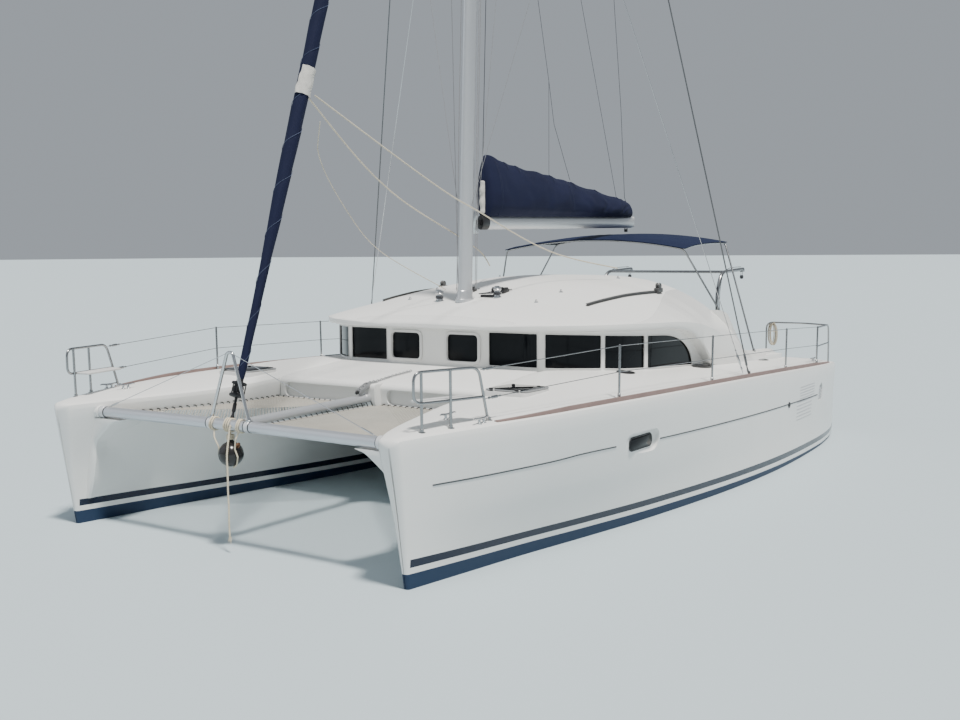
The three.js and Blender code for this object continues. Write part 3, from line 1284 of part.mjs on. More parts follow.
const beamBody = crossbeam();
const bulkheadBody = aftBulkhead();
const coamingBody = coaming();
const canopyBody = biminiCanopy();

addPair("hull", hullBody, "gelcoat");
addPair("keel", keel().subtract(hullBody.translate([0, 0, -CLEARANCE])), "antifoul");
add("bridge_deck", bridge, "gelcoat");
add("coachroof", roof, "gelcoat");
add("cabin_wall", cabinWall(), "gelcoat");
add("window_glazing", glazing(), "glass");
add("aft_bulkhead", bulkheadBody, "gelcoat");
add("saloon_door", saloonDoor(), "glass");
add("crossbeam", beamBody, "alloy");
add("centre_tube", centreTube(), "alloy");
addPair("net", net(), "net");
add("striker", striker(), "steel");
add("furler_drum", furlerDrum(), "blackPlastic");
add("furled_genoa", genoa(), "canvas");
add("mast", mast(), "alloy");
add("spreaders", spreaders(), "alloy");
addPair("shroud", shroud(), "steel");
add("gooseneck", gooseneck(), "alloy");
add("boom", boom(), "alloy");
add("sail_bag", sailBag(), "canvas");
addPair("pulpit", pulpit(), "steel");
addPair("guard_rail", guardRail(), "steel");
addPair("hatch_frame", hatchFrame(), "white");
addPair("hatch_lid", hatchLid(), "glass");
add("helm_console", helmConsole(), "gelcoat");
add("steering_wheel", steeringWheel(), "steel");
add("helm_seat", helmSeat(), "gelcoat");
add("cockpit_table", cockpitTable(), "white");
addPair("coaming", coamingBody, "gelcoat");
add("davits", davits(), "steel");
add("bimini_canopy", canopyBody, "canvas");
add("bimini_frame", biminiFrame(), "steel");
add("ladder_bracket", ladderBracket(), "steel");
add("swim_ladder", ladder(), "steel");
add("bow_roller", bowRoller(), "blackPlastic");
add("fender_ball", fenderBall(), "blackPlastic");
add("rope_tail", ropeTail(), "rope");
addPair("rudder", rudderBlade(), "antifoul");
addPair("saildrive", saildrive().subtract(hullBody.translate([0, 0, -CLEARANCE])), "antifoul");
addPair("propeller", propeller(), "bronze");

export default boat;
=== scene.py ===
import math
import random

import bpy
from mathutils import Matrix, Vector
from mathutils.bvhtree import BVHTree


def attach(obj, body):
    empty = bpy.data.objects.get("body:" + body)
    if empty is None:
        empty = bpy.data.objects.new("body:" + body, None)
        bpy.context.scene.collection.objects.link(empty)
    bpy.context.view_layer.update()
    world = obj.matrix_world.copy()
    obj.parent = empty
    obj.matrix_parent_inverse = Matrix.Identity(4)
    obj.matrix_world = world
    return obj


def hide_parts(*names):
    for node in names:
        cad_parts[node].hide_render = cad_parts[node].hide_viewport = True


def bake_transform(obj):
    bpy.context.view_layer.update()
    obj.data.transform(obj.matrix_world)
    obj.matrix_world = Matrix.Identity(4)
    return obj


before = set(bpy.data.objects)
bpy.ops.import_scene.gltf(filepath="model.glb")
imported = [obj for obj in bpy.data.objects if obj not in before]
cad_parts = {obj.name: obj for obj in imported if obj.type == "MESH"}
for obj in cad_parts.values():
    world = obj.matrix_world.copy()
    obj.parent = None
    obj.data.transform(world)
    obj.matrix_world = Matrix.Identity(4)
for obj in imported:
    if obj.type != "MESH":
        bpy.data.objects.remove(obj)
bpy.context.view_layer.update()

# The view is from ahead of the boat and off its port bow, three metres above the water, a little downwards.
# It is a plain lens view, set by the place of the eye, its heading and the share of the picture's width.
EYE = Vector((13.3975, 8.4643, 2.9877))
HEADING = 3.7382
DIP = 0.0937
TILT = -0.0064
PICTURE_WIDTH = 960
FOCAL_PIXELS = 1138.24
FILM = 36

look = Vector((math.cos(DIP) * math.cos(HEADING), math.cos(DIP) * math.sin(HEADING), -math.sin(DIP)))
level = look.cross(Vector((0, 0, 1))).normalized()
steep = level.cross(look)
across = level * math.cos(TILT) + steep * math.sin(TILT)
upward = steep * math.cos(TILT) - level * math.sin(TILT)

camera_lens = bpy.data.cameras.new("camera")
camera_lens.sensor_fit = "HORIZONTAL"
camera_lens.sensor_width = FILM
camera_lens.lens = FILM * FOCAL_PIXELS / PICTURE_WIDTH
camera_lens.clip_end = 2000
camera = bpy.data.objects.new("camera", camera_lens)
bpy.context.collection.objects.link(camera)
camera.matrix_world = Matrix((
    (across.x, upward.x, -look.x, EYE.x),
    (across.y, upward.y, -look.y, EYE.y),
    (across.z, upward.z, -look.z, EYE.z),
    (0, 0, 0, 1),
))
bpy.context.scene.camera = camera

# Studio: a pale floor at the waterline that runs to the horizon, a pale sky, and one broad soft light.
# The light stands high to port and a little ahead, with a weak one from starboard to open the shade.
FLOOR_SIZE = 1600
FLOOR_COLOUR = (0.5, 0.59, 0.63, 1)
SKY = (0.8, 0.87, 0.95, 1)
SKY_STRENGTH = 0.44
KEY_FROM = Vector((0.22, 0.46, 1.3))
KEY_STRENGTH = 5.4
KEY_SPREAD = 0.12
FILL_FROM = Vector((0.8, -0.9, 0.7))
FILL_STRENGTH = 0.35
FILL_SPREAD = 0.9


def alone(piece):
    """Selects one piece and nothing else."""
    bpy.ops.object.select_all(action="DESELECT")
    piece.select_set(True)
    bpy.context.view_layer.objects.active = piece


def light(name, source, strength, spread, tint):
    """A far light that shines from a direction."""
    lamp = bpy.data.lights.new(name, "SUN")
    lamp.energy = strength
    lamp.angle = spread
    lamp.color = tint
    holder = bpy.data.objects.new(name, lamp)
    holder.rotation_euler = source.to_track_quat("Z", "Y").to_euler()
    bpy.context.collection.objects.link(holder)


light("key_light", KEY_FROM, KEY_STRENGTH, KEY_SPREAD, (1.0, 0.97, 0.92))
light("fill_light", FILL_FROM, FILL_STRENGTH, FILL_SPREAD, (0.86, 0.93, 1.0))

sky = bpy.data.worlds.new("sky")
sky.use_nodes = True
sky.node_tree.nodes["Background"].inputs["Color"].default_value = SKY
sky.node_tree.nodes["Background"].inputs["Strength"].default_value = SKY_STRENGTH
bpy.context.scene.world = sky

bpy.ops.object.select_all(action="DESELECT")
bpy.ops.mesh.primitive_plane_add(size=FLOOR_SIZE, location=(0, 0, 0))
floor = bpy.context.object
floor.name = "studio_floor"
floor_paint = bpy.data.materials.new("studio_floor")
floor_paint.use_nodes = True
floor_body = floor_paint.node_tree.nodes["Principled BSDF"]
floor_body.inputs["Base Color"].default_value = FLOOR_COLOUR
floor_body.inputs["Roughness"].default_value = 0.6
floor.data.materials.append(floor_paint)

# Loose rope: a three-strand cream rope that hangs from the crossbeam past the ball, its end frayed out.
# Each strand is laid round the rope's own line, and the fibres at the end are separate thin hairs.
ROPE_ROUTE = [
    (5.47, 0.062, 1.29), (5.488, 0.062, 1.264), (5.497, 0.062, 1.215), (5.507, 0.063, 1.165),
    (5.518, 0.064, 1.11), (5.529, 0.066, 1.055), (5.539, 0.068, 1.0), (5.543, 0.07, 0.94),
    (5.543, 0.072, 0.87), (5.542, 0.073, 0.8), (5.543, 0.074, 0.725), (5.545, 0.075, 0.65),
    (5.544, 0.076, 0.57), (5.542, 0.077, 0.49), (5.543, 0.078, 0.41), (5.545, 0.079, 0.33),
    (5.544, 0.08, 0.245), (5.542, 0.081, 0.17),
]
ROPE_LAY = 0.062
STRANDS = 3
STRAND_RADIUS = 0.0056
STRAND_OFFSET = 0.0047
FIBRES = 26


def threaded(points, steps, loop=False, span=3):
    """Points joined by a smooth line through every one of them. Rows of any length may be threaded,
    and the first few numbers of each row, as many as span, say how far apart the rows are."""
    rows = [tuple(row) for row in points]
    last = len(rows) - 1
    turns = len(rows) if loop else last
    result = []
    for i in range(turns):
        if loop:
            four = [rows[(i + k) % len(rows)] for k in (-1, 0, 1, 2)]
        else:
            four = [rows[max(i - 1, 0)], rows[i], rows[i + 1], rows[min(i + 2, last)]]
        gaps = []
        for a, b in zip(four, four[1:]):
            gaps.append(max(math.dist(a[:span], b[:span]), 1e-9) ** 0.5)
        if not loop and i == 0:
            gaps[0] = gaps[1]
        if not loop and i == last - 1:
            gaps[2] = gaps[1]
        for step in range(steps):
            t = step / steps
            row = []
            for a, b, c, d in zip(*four):
                before = (b - a) / gaps[0] if gaps[0] else 0
                middle = (c - b) / gaps[1]
                after = (d - c) / gaps[2] if gaps[2] else 0
                m1 = middle + gaps[1] * (before - (c - a) / (gaps[0] + gaps[1]))
                m2 = middle + gaps[1] * (after - (d - b) / (gaps[1] + gaps[2]))
                m1 *= gaps[1]
                m2 *= gaps[1]
                value = (2 * t ** 3 - 3 * t ** 2 + 1) * b + (t ** 3 - 2 * t ** 2 + t) * m1
                value += (3 * t ** 2 - 2 * t ** 3) * c + (t ** 3 - t ** 2) * m2
                row.append(value)
            result.append(tuple(row))
    if not loop:
        result.append(rows[-1])
    return result


def face_out(piece):
    """Closes the mesh's doubled points and turns every face outwards."""
    alone(piece)
    bpy.ops.object.mode_set(mode="EDIT")
    bpy.ops.mesh.select_all(action="SELECT")
    bpy.ops.mesh.remove_doubles(threshold=0.00002)
    bpy.ops.mesh.normals_make_consistent(inside=False)
    bpy.ops.object.mode_set(mode="OBJECT")
    return piece


def rod(name, points, radius, sides=12, loop=False):
    """A round bar along points. The radius may be one number, or one for each point."""
    line = bpy.data.curves.new(name, "CURVE")
    line.dimensions = "3D"
    line.bevel_depth = 1
    line.bevel_resolution = max((sides - 4) // 2, 0)
    line.use_fill_caps = not loop
    run = line.splines.new("POLY")
    run.points.add(len(points) - 1)
    run.use_cyclic_u = loop
    radii = radius if hasattr(radius, "__len__") else [radius] * len(points)
    for point, place, width in zip(run.points, points, radii):
        point.co = (*place, 1)
        point.radius = width
    bar = bpy.data.objects.new(name, line)
    bpy.context.collection.objects.link(bar)
    alone(bar)
    bpy.ops.object.convert(target="MESH")
    return face_out(bpy.context.object)


def joined(name, pieces):
    """Several meshes as one piece."""
    bpy.ops.object.select_all(action="DESELECT")
    for piece in pieces:
        piece.select_set(True)
    bpy.context.view_layer.objects.active = pieces[0]
    if len(pieces) > 1:
        bpy.ops.object.join()
    whole = bpy.context.view_layer.objects.active
    whole.name = name
    whole.data.name = name
    return whole


def feed(target, sockets):
    """Fills the sockets of a shader node with numbers or with other nodes' outputs."""
    for key, value in sockets.items():
        if isinstance(value, bpy.types.NodeSocket):
            target.id_data.links.new(value, target.inputs[key])
        else:
            target.inputs[key].default_value = value


def shader(finish, kind, sockets=None, **settings):
    """Adds a shader node to a finish, with its settings and sockets filled."""
    made = finish.node_tree.nodes.new("ShaderNode" + kind)
    for key, value in settings.items():
        setattr(made, key, value)
    feed(made, sockets or {})
    return made.outputs


def paint(name, colour, rough, metal=0.0, drift=0.1, drift_size=3.0, gloss_drift=0.08, grain=0.0,
          grain_size=400.0):
    """A finish whose colour and gloss drift slowly over the piece, with a fine grain in its surface.
    Colours and gloss read the boat's own coordinates, so nothing slides when a piece moves."""
    finish = bpy.data.materials.new(name)
    finish.use_nodes = True
    body = finish.node_tree.nodes["Principled BSDF"]
    where = shader(finish, "TexCoord")["Object"]
    patches = shader(finish, "TexNoise", {"Scale": drift_size, "Detail": 5, "Vector": where},
                     name="patches")["Fac"]
    bright = (*[min(c * (1 + drift * 0.5), 1) for c in colour], 1)
    faded = (*[c * (1 - drift) for c in colour], 1)
    tint = shader(finish, "Mix", {"A": bright, "B": faded, "Factor": patches}, name="tint", data_type="RGBA")
    gloss = shader(finish, "MapRange", {"Value": patches, "To Min": max(rough - gloss_drift, 0.02),
                                        "To Max": min(rough + gloss_drift, 1)}, name="gloss")
    feed(body, {"Metallic": metal, "Base Color": tint["Result"], "Roughness": gloss["Result"]})
    if grain:
        fine = shader(finish, "TexNoise", {"Scale": grain_size, "Detail": 3, "Vector": where}, name="fine")
        relief = shader(finish, "Bump", {"Strength": grain, "Distance": 0.001, "Height": fine["Fac"]},
                        name="relief")
        feed(body, {"Normal": relief["Normal"]})
    return finish


def fit(piece, finish, slot, body="boat", nodes=(), angle=32):
    """Gives a piece its finish and its smooth faces, and fixes it to the body that carries it."""
    alone(piece)
    bpy.ops.object.shade_smooth_by_angle(angle=math.radians(angle))
    if finish is not None:
        piece.data.materials.clear()
        piece.data.materials.append(finish)
    if body:
        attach(piece, body)
    if nodes:
        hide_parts(*nodes)
    return piece


rope_cream = paint("rope_cream", (0.7, 0.62, 0.47), 0.85, drift=0.35, drift_size=40, grain=0.6,
                   grain_size=900)

rope_line = threaded(ROPE_ROUTE, 10)
strands = []
for strand in range(STRANDS):
    laid = []
    gone = 0.0
    for i, place in enumerate(rope_line):
        if i:
            gone += math.dist(place, rope_line[i - 1])
        turn = 2 * math.pi * (gone / ROPE_LAY + strand / STRANDS)
        course = Vector(rope_line[min(i + 1, len(rope_line) - 1)]) - Vector(rope_line[max(i - 1, 0)])
        side = course.cross(Vector((0, 1, 0))).normalized()
        other = course.cross(side).normalized()
        laid.append(Vector(place) + STRAND_OFFSET * (side * math.cos(turn) + other * math.sin(turn)))
    strands.append(rod("strand", laid, STRAND_RADIUS, sides=8))
rope_tail = fit(joined("loose_rope", strands), rope_cream, "rope", nodes=("rope_tail",))

hairs = random.Random(7)
fray = []
for _ in range(FIBRES):
    start = Vector(ROPE_ROUTE[-1]) + Vector((hairs.uniform(-0.006, 0.006), hairs.uniform(-0.006, 0.006),
                                             0.006))
    lean = Vector((hairs.uniform(-0.026, 0.026), hairs.uniform(-0.026, 0.026), -hairs.uniform(0.03, 0.085)))
    middle = start + lean * 0.5 + Vector((hairs.uniform(-0.006, 0.006), hairs.uniform(-0.006, 0.006), 0))
    fray.append(rod("fibre", [start, middle, start + lean], [0.0016, 0.0012, 0.0005], sides=4))
rope_fray = fit(joined("rope_fray", fray), rope_cream, "rope")

# Hulls: two decked hulls in white gelcoat over fibreglass, each moulded in one with its deck edge and steps.
# The port one is skinned over cross sections and the starboard one is its mirror. The inboard side carries a
# flared pod and a round socket for the crossbeam.
HULL_Y = 2.33
TUNNEL_HALF = 0.83
KNUCKLE_Z = 0.7
FLARE_TOP = 0.62
DECK_ROUND = 0.03
STEM_X = 5.54
STEM_RAKE = 0.18
STEM_FOOT_BACK = 0.26
# Columns: x, keel z, half width at the water, outboard and inboard half width, deck edge z, deck z inboard
HULL_ROWS = [
    (-5.775, 0.06, 0.23, 0.3, 0.32, 1.18, 1.18),
    (-5.6, -0.01, 0.36, 0.4, 0.44, 1.19, 1.19),
    (-5.2, -0.09, 0.48, 0.52, 0.64, 1.205, 1.205),
    (-4.6, -0.21, 0.62, 0.7, 0.81, 1.235, 1.235),
    (-3.6, -0.4, 0.75, 0.82, 0.83, 1.275, 1.29),
    (-1.7, -0.53, 0.85, 0.89, 0.83, 1.345, 1.45),
    (0.0, -0.56, 0.8, 0.905, 0.83, 1.395, 1.52),
    (1.9, -0.53, 0.61, 0.85, 0.83, 1.43, 1.585),
    (3.1, -0.48, 0.42, 0.76, 0.83, 1.442, 1.478),
    (4.0, -0.43, 0.26, 0.62, 0.75, 1.435, 1.425),
    (4.75, -0.39, 0.15, 0.42, 0.53, 1.42, 1.4),
    (5.3, -0.35, 0.07, 0.2, 0.3, 1.395, 1.385),
    (5.54, -0.33, 0.035, 0.09, 0.17, 1.375, 1.37),
]
UNDERWATER = [(1, 0.05), (0.9, 0.42), (0.62, 0.76), (0.25, 0.94)]
NOSE_LENGTH = 0.126
WING_LINE = [
    (-4.48, 1.7), (-4.6, 1.236), (-4.85, 1.172), (-5.05, 1.03), (-5.2, 0.8), (-5.32, 0.55),
    (-5.45, 0.4), (-6.2, 0.34), (-6.2, 1.7),
]
STEP_LINE = [
    (-4.56, 2.0), (-4.56, 0.925), (-4.9, 0.925), (-4.9, 0.625), (-5.2, 0.625), (-5.2, 0.33), (-6.3, 0.33),
    (-6.3, 2.0),
]
STEP_HALF = 0.37
BEAM_X = 5.42
BEAM_Z = 1.268
SOCKET_RADIUS = 0.072
SOCKET_Y = 2.0
# Columns: z, y of the pod's inboard corner
POD_ROWS = [
    (0.26, 2.24), (0.46, 2.165), (0.69, 2.116), (0.92, 2.085), (1.0, 2.01), (1.1, 1.876), (1.17, 1.765),
    (1.2, 1.655),
]
POD_FRONT = 5.478
POD_SHOULDER = 5.3
POD_BACK = 4.5
POD_CORE = 2.3
PORTHOLE = (2.375, 0.946)
PORTHOLE_RECESS = (0.345, 0.125)
PORTHOLE_GLASS = (0.262, 0.064)


def ease(value, low, high):
    """From 0 to 1 as a value goes from low to high, gently at both ends."""
    share = min(max((value - low) / (high - low), 0), 1)
    return share * share * (3 - 2 * share)


def along(rows, column, x):
    """A value from a table of rows that start with their place, smooth between the rows."""
    last = len(rows) - 1
    if x <= rows[0][0]:
        return rows[0][column]
    if x >= rows[last][0]:
        return rows[last][column]
    i = next(k for k, row in enumerate(rows) if row[0] > x) - 1

    def slope(a, b):
        return (rows[b][column] - rows[a][column]) / (rows[b][0] - rows[a][0])

    m0 = slope(max(i - 1, 0), i + 1)
    m1 = slope(i, min(i + 2, last))
    h = rows[i + 1][0] - rows[i][0]
    t = (x - rows[i][0]) / h
    value = (2 * t ** 3 - 3 * t ** 2 + 1) * rows[i][column] + (t ** 3 - 2 * t ** 2 + t) * h * m0
    return value + (3 * t ** 2 - 2 * t ** 3) * rows[i + 1][column] + (t ** 3 - t ** 2) * h * m1


def hull_ring(x):
    """One cross section of the port hull, from the keel up the outboard side, over the deck and back."""
    keel, water, out, inner, edge, crown = [along(HULL_ROWS, column, x) for column in range(1, 7)]
    inner = min(inner, TUNNEL_HALF)
    mid_out = water + (out - water) * FLARE_TOP
    mid_in = min(water + (inner - water) * (FLARE_TOP - 0.3 * ease(x, 4.0, 5.0)), TUNNEL_HALF)
    depth = min(keel, 0)
    base = max(keel, 0)
    camber = min(0.04, out * 0.1)
    points = [(width * water, base + share * depth) for share, width in UNDERWATER]
    points += [
        (water, base + 0.02), (water + (mid_out - water) * 0.55, 0.42), (mid_out, KNUCKLE_Z),
        (out, edge - 0.06), (out - DECK_ROUND * 0.3, edge - 0.012), (out - DECK_ROUND, edge),
        (out * 0.4, edge + (crown - edge) * 0.35 + camber),
        (-inner * 0.35, edge + (crown - edge) * 0.75 + camber),
        (-inner + DECK_ROUND, crown), (-inner + DECK_ROUND * 0.3, crown - 0.012), (-inner, crown - 0.06),
        (-mid_in, KNUCKLE_Z), (-(water + (mid_in - water) * 0.45), 0.42), (-water, base + 0.02),
    ]
    points += [(-width * water, base + share * depth) for share, width in reversed(UNDERWATER)]
    ring = []
    for w, z in points:
        shift = STEM_RAKE * z / 1.375 if z > 0 else -STEM_FOOT_BACK * (z / 0.35) ** 2
        ring.append((x + ease(x, 4.3, STEM_X) * shift, HULL_Y + w, z))
    return ring


def skin(name, rings, ends=True, loop=True):
    """A mesh skinned over rings that have equal counts of points."""
    count = len(rings[0])
    faces = []
    for r in range(len(rings) - 1):
        for i in range(count if loop else count - 1):
            a = r * count + i
            b = r * count + (i + 1) % count
            faces.append((a, b, b + count, a + count))
    if ends:
        faces.append(tuple(range(count)))
        faces.append(tuple(range((len(rings) - 1) * count, len(rings) * count)))
    mesh = bpy.data.meshes.new(name)
    mesh.from_pydata([tuple(point) for ring in rings for point in ring], [], faces)
    piece = bpy.data.objects.new(name, mesh)
    bpy.context.collection.objects.link(piece)
    return face_out(piece)


def shape(piece, kind, **settings):
    """Adds one modifier to a piece and applies it."""
    alone(piece)
    step = piece.modifiers.new(kind.lower(), kind)
    for key, value in settings.items():
        setattr(step, key, value)
    bpy.ops.object.modifier_apply(modifier=step.name)
    return piece


def carve(piece, tool, how="DIFFERENCE"):
    """Cuts a tool's shape out of a piece, or joins it on, and throws the tool away."""
    shape(piece, "BOOLEAN", operation=how, object=tool, solver="EXACT")
    bpy.data.objects.remove(tool, do_unlink=True)
    return piece


def prism(name, corners, axis, low, high, bevel=0.0, segments=2):
    """A flat outline drawn out along one axis, its edges rounded. The outline's two numbers are the
    other two axes in order."""
    def placed(a, b, c):
        return {"x": (c, a, b), "y": (a, c, b), "z": (a, b, c)}[axis]

    rings = [[placed(a, b, level) for a, b in corners] for level in (low, high)]
    piece = skin(name, rings)
    if bevel:
        shape(piece, "BEVEL", width=bevel, segments=segments, limit_method="ANGLE",
              angle_limit=math.radians(25))
    return piece


def mirror(piece, name):
    """A copy of a piece on the other side of the centreline."""
    twin = piece.copy()
    twin.data = piece.data.copy()
    twin.name = name
    twin.data.name = name
    bpy.context.collection.objects.link(twin)
    for point in twin.data.vertices:
        point.co.y = -point.co.y
    twin.data.flip_normals()
    return twin


def round_outline(corners, radius, steps=5):
    """An outline with each of its corners turned into an arc."""
    result = []
    for i, corner in enumerate(corners):
        here = Vector(corner)
        back = Vector(corners[i - 1]) - here
        ahead = Vector(corners[(i + 1) % len(corners)]) - here
        cut = min(radius, back.length / 2.05, ahead.length / 2.05)
        start = here + back.normalized() * cut
        end = here + ahead.normalized() * cut
        for k in range(steps + 1):
            t = k / steps
            result.append(tuple(start * (1 - t) ** 2 + here * 2 * t * (1 - t) + end * t ** 2))
    return result


stations = [-5.775 + 0.125 * i for i in range(86)]
stations += [4.95 + 0.06 * i for i in range(9)]
stations = sorted(set(round(x, 4) for x in stations if x < STEM_X - 0.02)) + [STEM_X]
rings = [threaded(hull_ring(x), 4, loop=True) for x in stations]
for degrees in (12, 24, 36, 48, 59, 69, 78, 85):
    ahead = NOSE_LENGTH * math.sin(math.radians(degrees))
    narrow = math.cos(math.radians(degrees))
    nose = []
    for x, y, z in hull_ring(STEM_X):
        forward = ahead * (0.25 + 0.2 * z / 1.375 if z > 0 else 0.25)
        lower = (1 - narrow) * 0.08 if z > 1.3 else 0
        nose.append((x + forward, HULL_Y + (y - HULL_Y) * narrow, z - lower))
    rings.append(threaded(nose, 4, loop=True))
hull = skin("hull_shell", rings)

pod_levels = [0.26 + 0.94 * i / 32 for i in range(33)]
pod_rings = []
for z in pod_levels:
    corner = along(POD_ROWS, 1, z)
    pod_rings.append([
        (POD_FRONT, POD_CORE, z), (POD_FRONT, corner + 0.045, z), (POD_FRONT - 0.008, corner + 0.018, z),
        (POD_FRONT - 0.03, corner, z), (POD_SHOULDER, corner + 0.02, z),
        (POD_BACK, (corner + POD_CORE) / 2 - 0.12, z), (POD_BACK, POD_CORE, z),
    ])
carve(hull, skin("pod", pod_rings), "UNION")
socket = rod("socket", [(BEAM_X, SOCKET_Y, BEAM_Z), (BEAM_X, HULL_Y, BEAM_Z)], SOCKET_RADIUS, sides=32)
carve(hull, socket, "UNION")
carve(hull, prism("wing_tool", WING_LINE, "y", 1.0, 3.6, bevel=0.05, segments=3))
carve(hull, prism("step_tool", STEP_LINE, "y", HULL_Y - STEP_HALF, HULL_Y + STEP_HALF, bevel=0.035,
                  segments=3))


def oval_tool(name, x, z, half_long, half_high, y_low, y_high, corner, bevel=0.0):
    """A cutter with rounded corners, for a place on the outboard side."""
    corners = [
        (x - half_long, z - half_high), (x + half_long, z - half_high), (x + half_long, z + half_high),
        (x - half_long, z + half_high),
    ]
    return prism(name, round_outline(corners, corner, 7), "y", y_low, y_high, bevel)


skin_tree = BVHTree.FromObject(hull, bpy.context.evaluated_depsgraph_get())


def side_y(x, z):
    """How far out the port hull's outboard side stands."""
    hit = skin_tree.ray_cast(Vector((x, 5, z)), Vector((0, -1, 0)))
    return hit[0].y


def deck_z(x, y):
    """How high the port hull's deck is."""
    hit = skin_tree.ray_cast(Vector((x, y, 3)), Vector((0, 0, -1)))
    return hit[0].z if hit[0] else None


px, pz = PORTHOLE
wall_y = side_y(px, pz)
carve(hull, oval_tool("recess_tool", px, pz, *PORTHOLE_RECESS, wall_y - 0.028, wall_y + 0.2, 0.122,
                      bevel=0.02))
VENT_X = -3.58
VENT_Z = 0.88
vent_corners = [(VENT_X - 0.1, VENT_Z - 0.125), (VENT_X + 0.1, VENT_Z - 0.125)]
vent_corners += [(VENT_X + 0.1 * math.cos(a), VENT_Z + 0.03 + 0.1 * math.sin(a)) for a in
                 [math.pi * k / 10 for k in range(11)]]
vent_y = side_y(VENT_X, VENT_Z)
carve(hull, prism("vent_tool", vent_corners, "y", vent_y - 0.022, vent_y + 0.2, bevel=0.008))
carve(hull, rod("stock_tool", [(-4.95, HULL_Y, -0.6), (-4.95, HULL_Y, 0.0)], 0.0228, sides=24))

# Hull paint: white gelcoat, a navy boot stripe that stops short of the stem, a white line and antifouling.
# The stripe climbs a little towards the bow, as it does on the real boat.
PAINT_RISE = 0.011
ANTIFOUL_TOP = 0.083
WHITE_LINE_TOP = 0.14
STRIPE_TOP = 0.215
STRIPE_START_X = 5.56
WHITE = (0.8, 0.8, 0.78)
NAVY = (0.004, 0.009, 0.028, 1)
FOUL = (0.008, 0.026, 0.066, 1)


def white_gelcoat(name):
    """White gelcoat: glossy, slightly uneven, and rougher with a fine grip pattern where it faces up."""
    finish = paint(name, WHITE, 0.22, drift=0.035, drift_size=1.3, gloss_drift=0.05, grain=0.05,
                   grain_size=14)
    nodes = finish.node_tree.nodes
    form = shader(finish, "NewGeometry")
    split = shader(finish, "SeparateXYZ", {"Vector": form["Normal"]})
    flat = shader(finish, "Math", {0: split["Z"], 1: 0.93}, operation="GREATER_THAN")["Value"]
    grip = shader(finish, "TexVoronoi", {"Scale": 260,
                                         "Vector": nodes["Texture Coordinate"].outputs["Object"]})
    height = shader(finish, "Math", {0: grip["Distance"], 1: flat}, operation="MULTIPLY")
    rise = shader(finish, "Bump", {"Strength": 0.35, "Distance": 0.001, "Height": height["Value"],
                                   "Normal": nodes["relief"].outputs["Normal"]})
    dull = shader(finish, "Math", {0: flat, 1: 0.3, 2: nodes["gloss"].outputs["Result"]}, name="dull",
                  operation="MULTIPLY_ADD")
    feed(nodes["Principled BSDF"], {"Specular IOR Level": 0.35, "Coat Weight": 0.08, "Coat Roughness": 0.06,
                                    "Normal": rise["Normal"], "Roughness": dull["Value"]})
    return finish


def striped_gelcoat():
    """The hulls' gelcoat with its boot stripe, white line and antifouling."""
    finish = white_gelcoat("hull_gelcoat")
    nodes = finish.node_tree.nodes
    place = shader(finish, "SeparateXYZ", {"Vector": nodes["Texture Coordinate"].outputs["Object"]})

    def step(kind, first, second):
        return shader(finish, "Math", {0: first, 1: second}, operation=kind)["Value"]

    height = step("SUBTRACT", place["Z"], step("MULTIPLY", place["X"], PAINT_RISE))
    above = step("GREATER_THAN", height, WHITE_LINE_TOP)
    below = step("LESS_THAN", height, STRIPE_TOP)
    behind = step("LESS_THAN", place["X"], STRIPE_START_X)
    stripe = step("MULTIPLY", step("MULTIPLY", above, below), behind)
    under = step("LESS_THAN", height, ANTIFOUL_TOP)
    colour = nodes["tint"].outputs["Result"]
    for mask, over in ((stripe, NAVY), (under, FOUL)):
        colour = shader(finish, "Mix", {"A": colour, "B": over, "Factor": mask}, data_type="RGBA")["Result"]
    gloss = step("MAXIMUM", nodes["dull"].outputs["Value"], step("MULTIPLY", under, 0.62))
    feed(nodes["Principled BSDF"], {"Base Color": colour, "Roughness": gloss})
    return finish


hull_gelcoat = striped_gelcoat()
deck_gelcoat = white_gelcoat("deck_gelcoat")
hull_starboard = mirror(hull, "starboard_hull")
hull.name = "port_hull"
fit(hull, hull_gelcoat, "gelcoat", nodes=("hull_port",), angle=28)
fit(hull_starboard, hull_gelcoat, "gelcoat", nodes=("hull_starboard",), angle=28)

# Hull trim: the taupe rubbing rail screwed down inside each gunwale, the moulded groove on each side drawn
# as a dark rod of painted shade, the smoked porthole bedded in its recess, the sea outlet with a black plug
# of painted shade in its hole, and the louvres of the engine vent, painted grey for their shade.
RAIL_FROM = -4.3
RAIL_TO = 4.68
RAIL_INSET = 0.056
RAIL_HALF = 0.019
RAIL_HIGH = 0.044
LINE_ROWS = [(-3.39, 0.85), (-1.025, 0.884), (0.949, 0.917), (2.084, 0.94), (2.842, 0.966), (3.478, 0.972),
             (3.884, 0.958), (5.39, 0.935)]
LINE_RADIUS = 0.0085
OUTLET = (-1.98, 0.86)
LOUVRES = [(-2.84, 0.95, 0.36, 0.12), (-2.73, 0.72, 0.37, 0.15)]

rail_taupe = paint("rail_taupe", (0.24, 0.165, 0.15), 0.55, drift=0.3, drift_size=5, grain=0.3,
                   grain_size=120)
# Painted shade: the near-black of the side groove, which is really a white moulded crease in shadow.
painted_groove_shade = paint("painted_groove_shade", (0.055, 0.06, 0.066), 0.5, drift=0.2, drift_size=9)
smoked_acrylic = paint("smoked_acrylic", (0.006, 0.007, 0.009), 0.06, drift=0.5, drift_size=2,
                       gloss_drift=0.04)
smoked_acrylic.node_tree.nodes["Principled BSDF"].inputs["Specular IOR Level"].default_value = 0.12
black_moulding = paint("black_moulding", (0.012, 0.012, 0.014), 0.42, drift=0.3, drift_size=20, grain=0.3)


def both(piece, name, *rest, nodes=(), **more):
    """Fits a piece on the port side and its mirror on the starboard side."""
    twin = mirror(piece, name + "_starboard")
    piece.name = name + "_port"
    fit(piece, *rest, nodes=[node + "_port" for node in nodes], **more)
    fit(twin, *rest, nodes=[node + "_starboard" for node in nodes], **more)
    return piece, twin


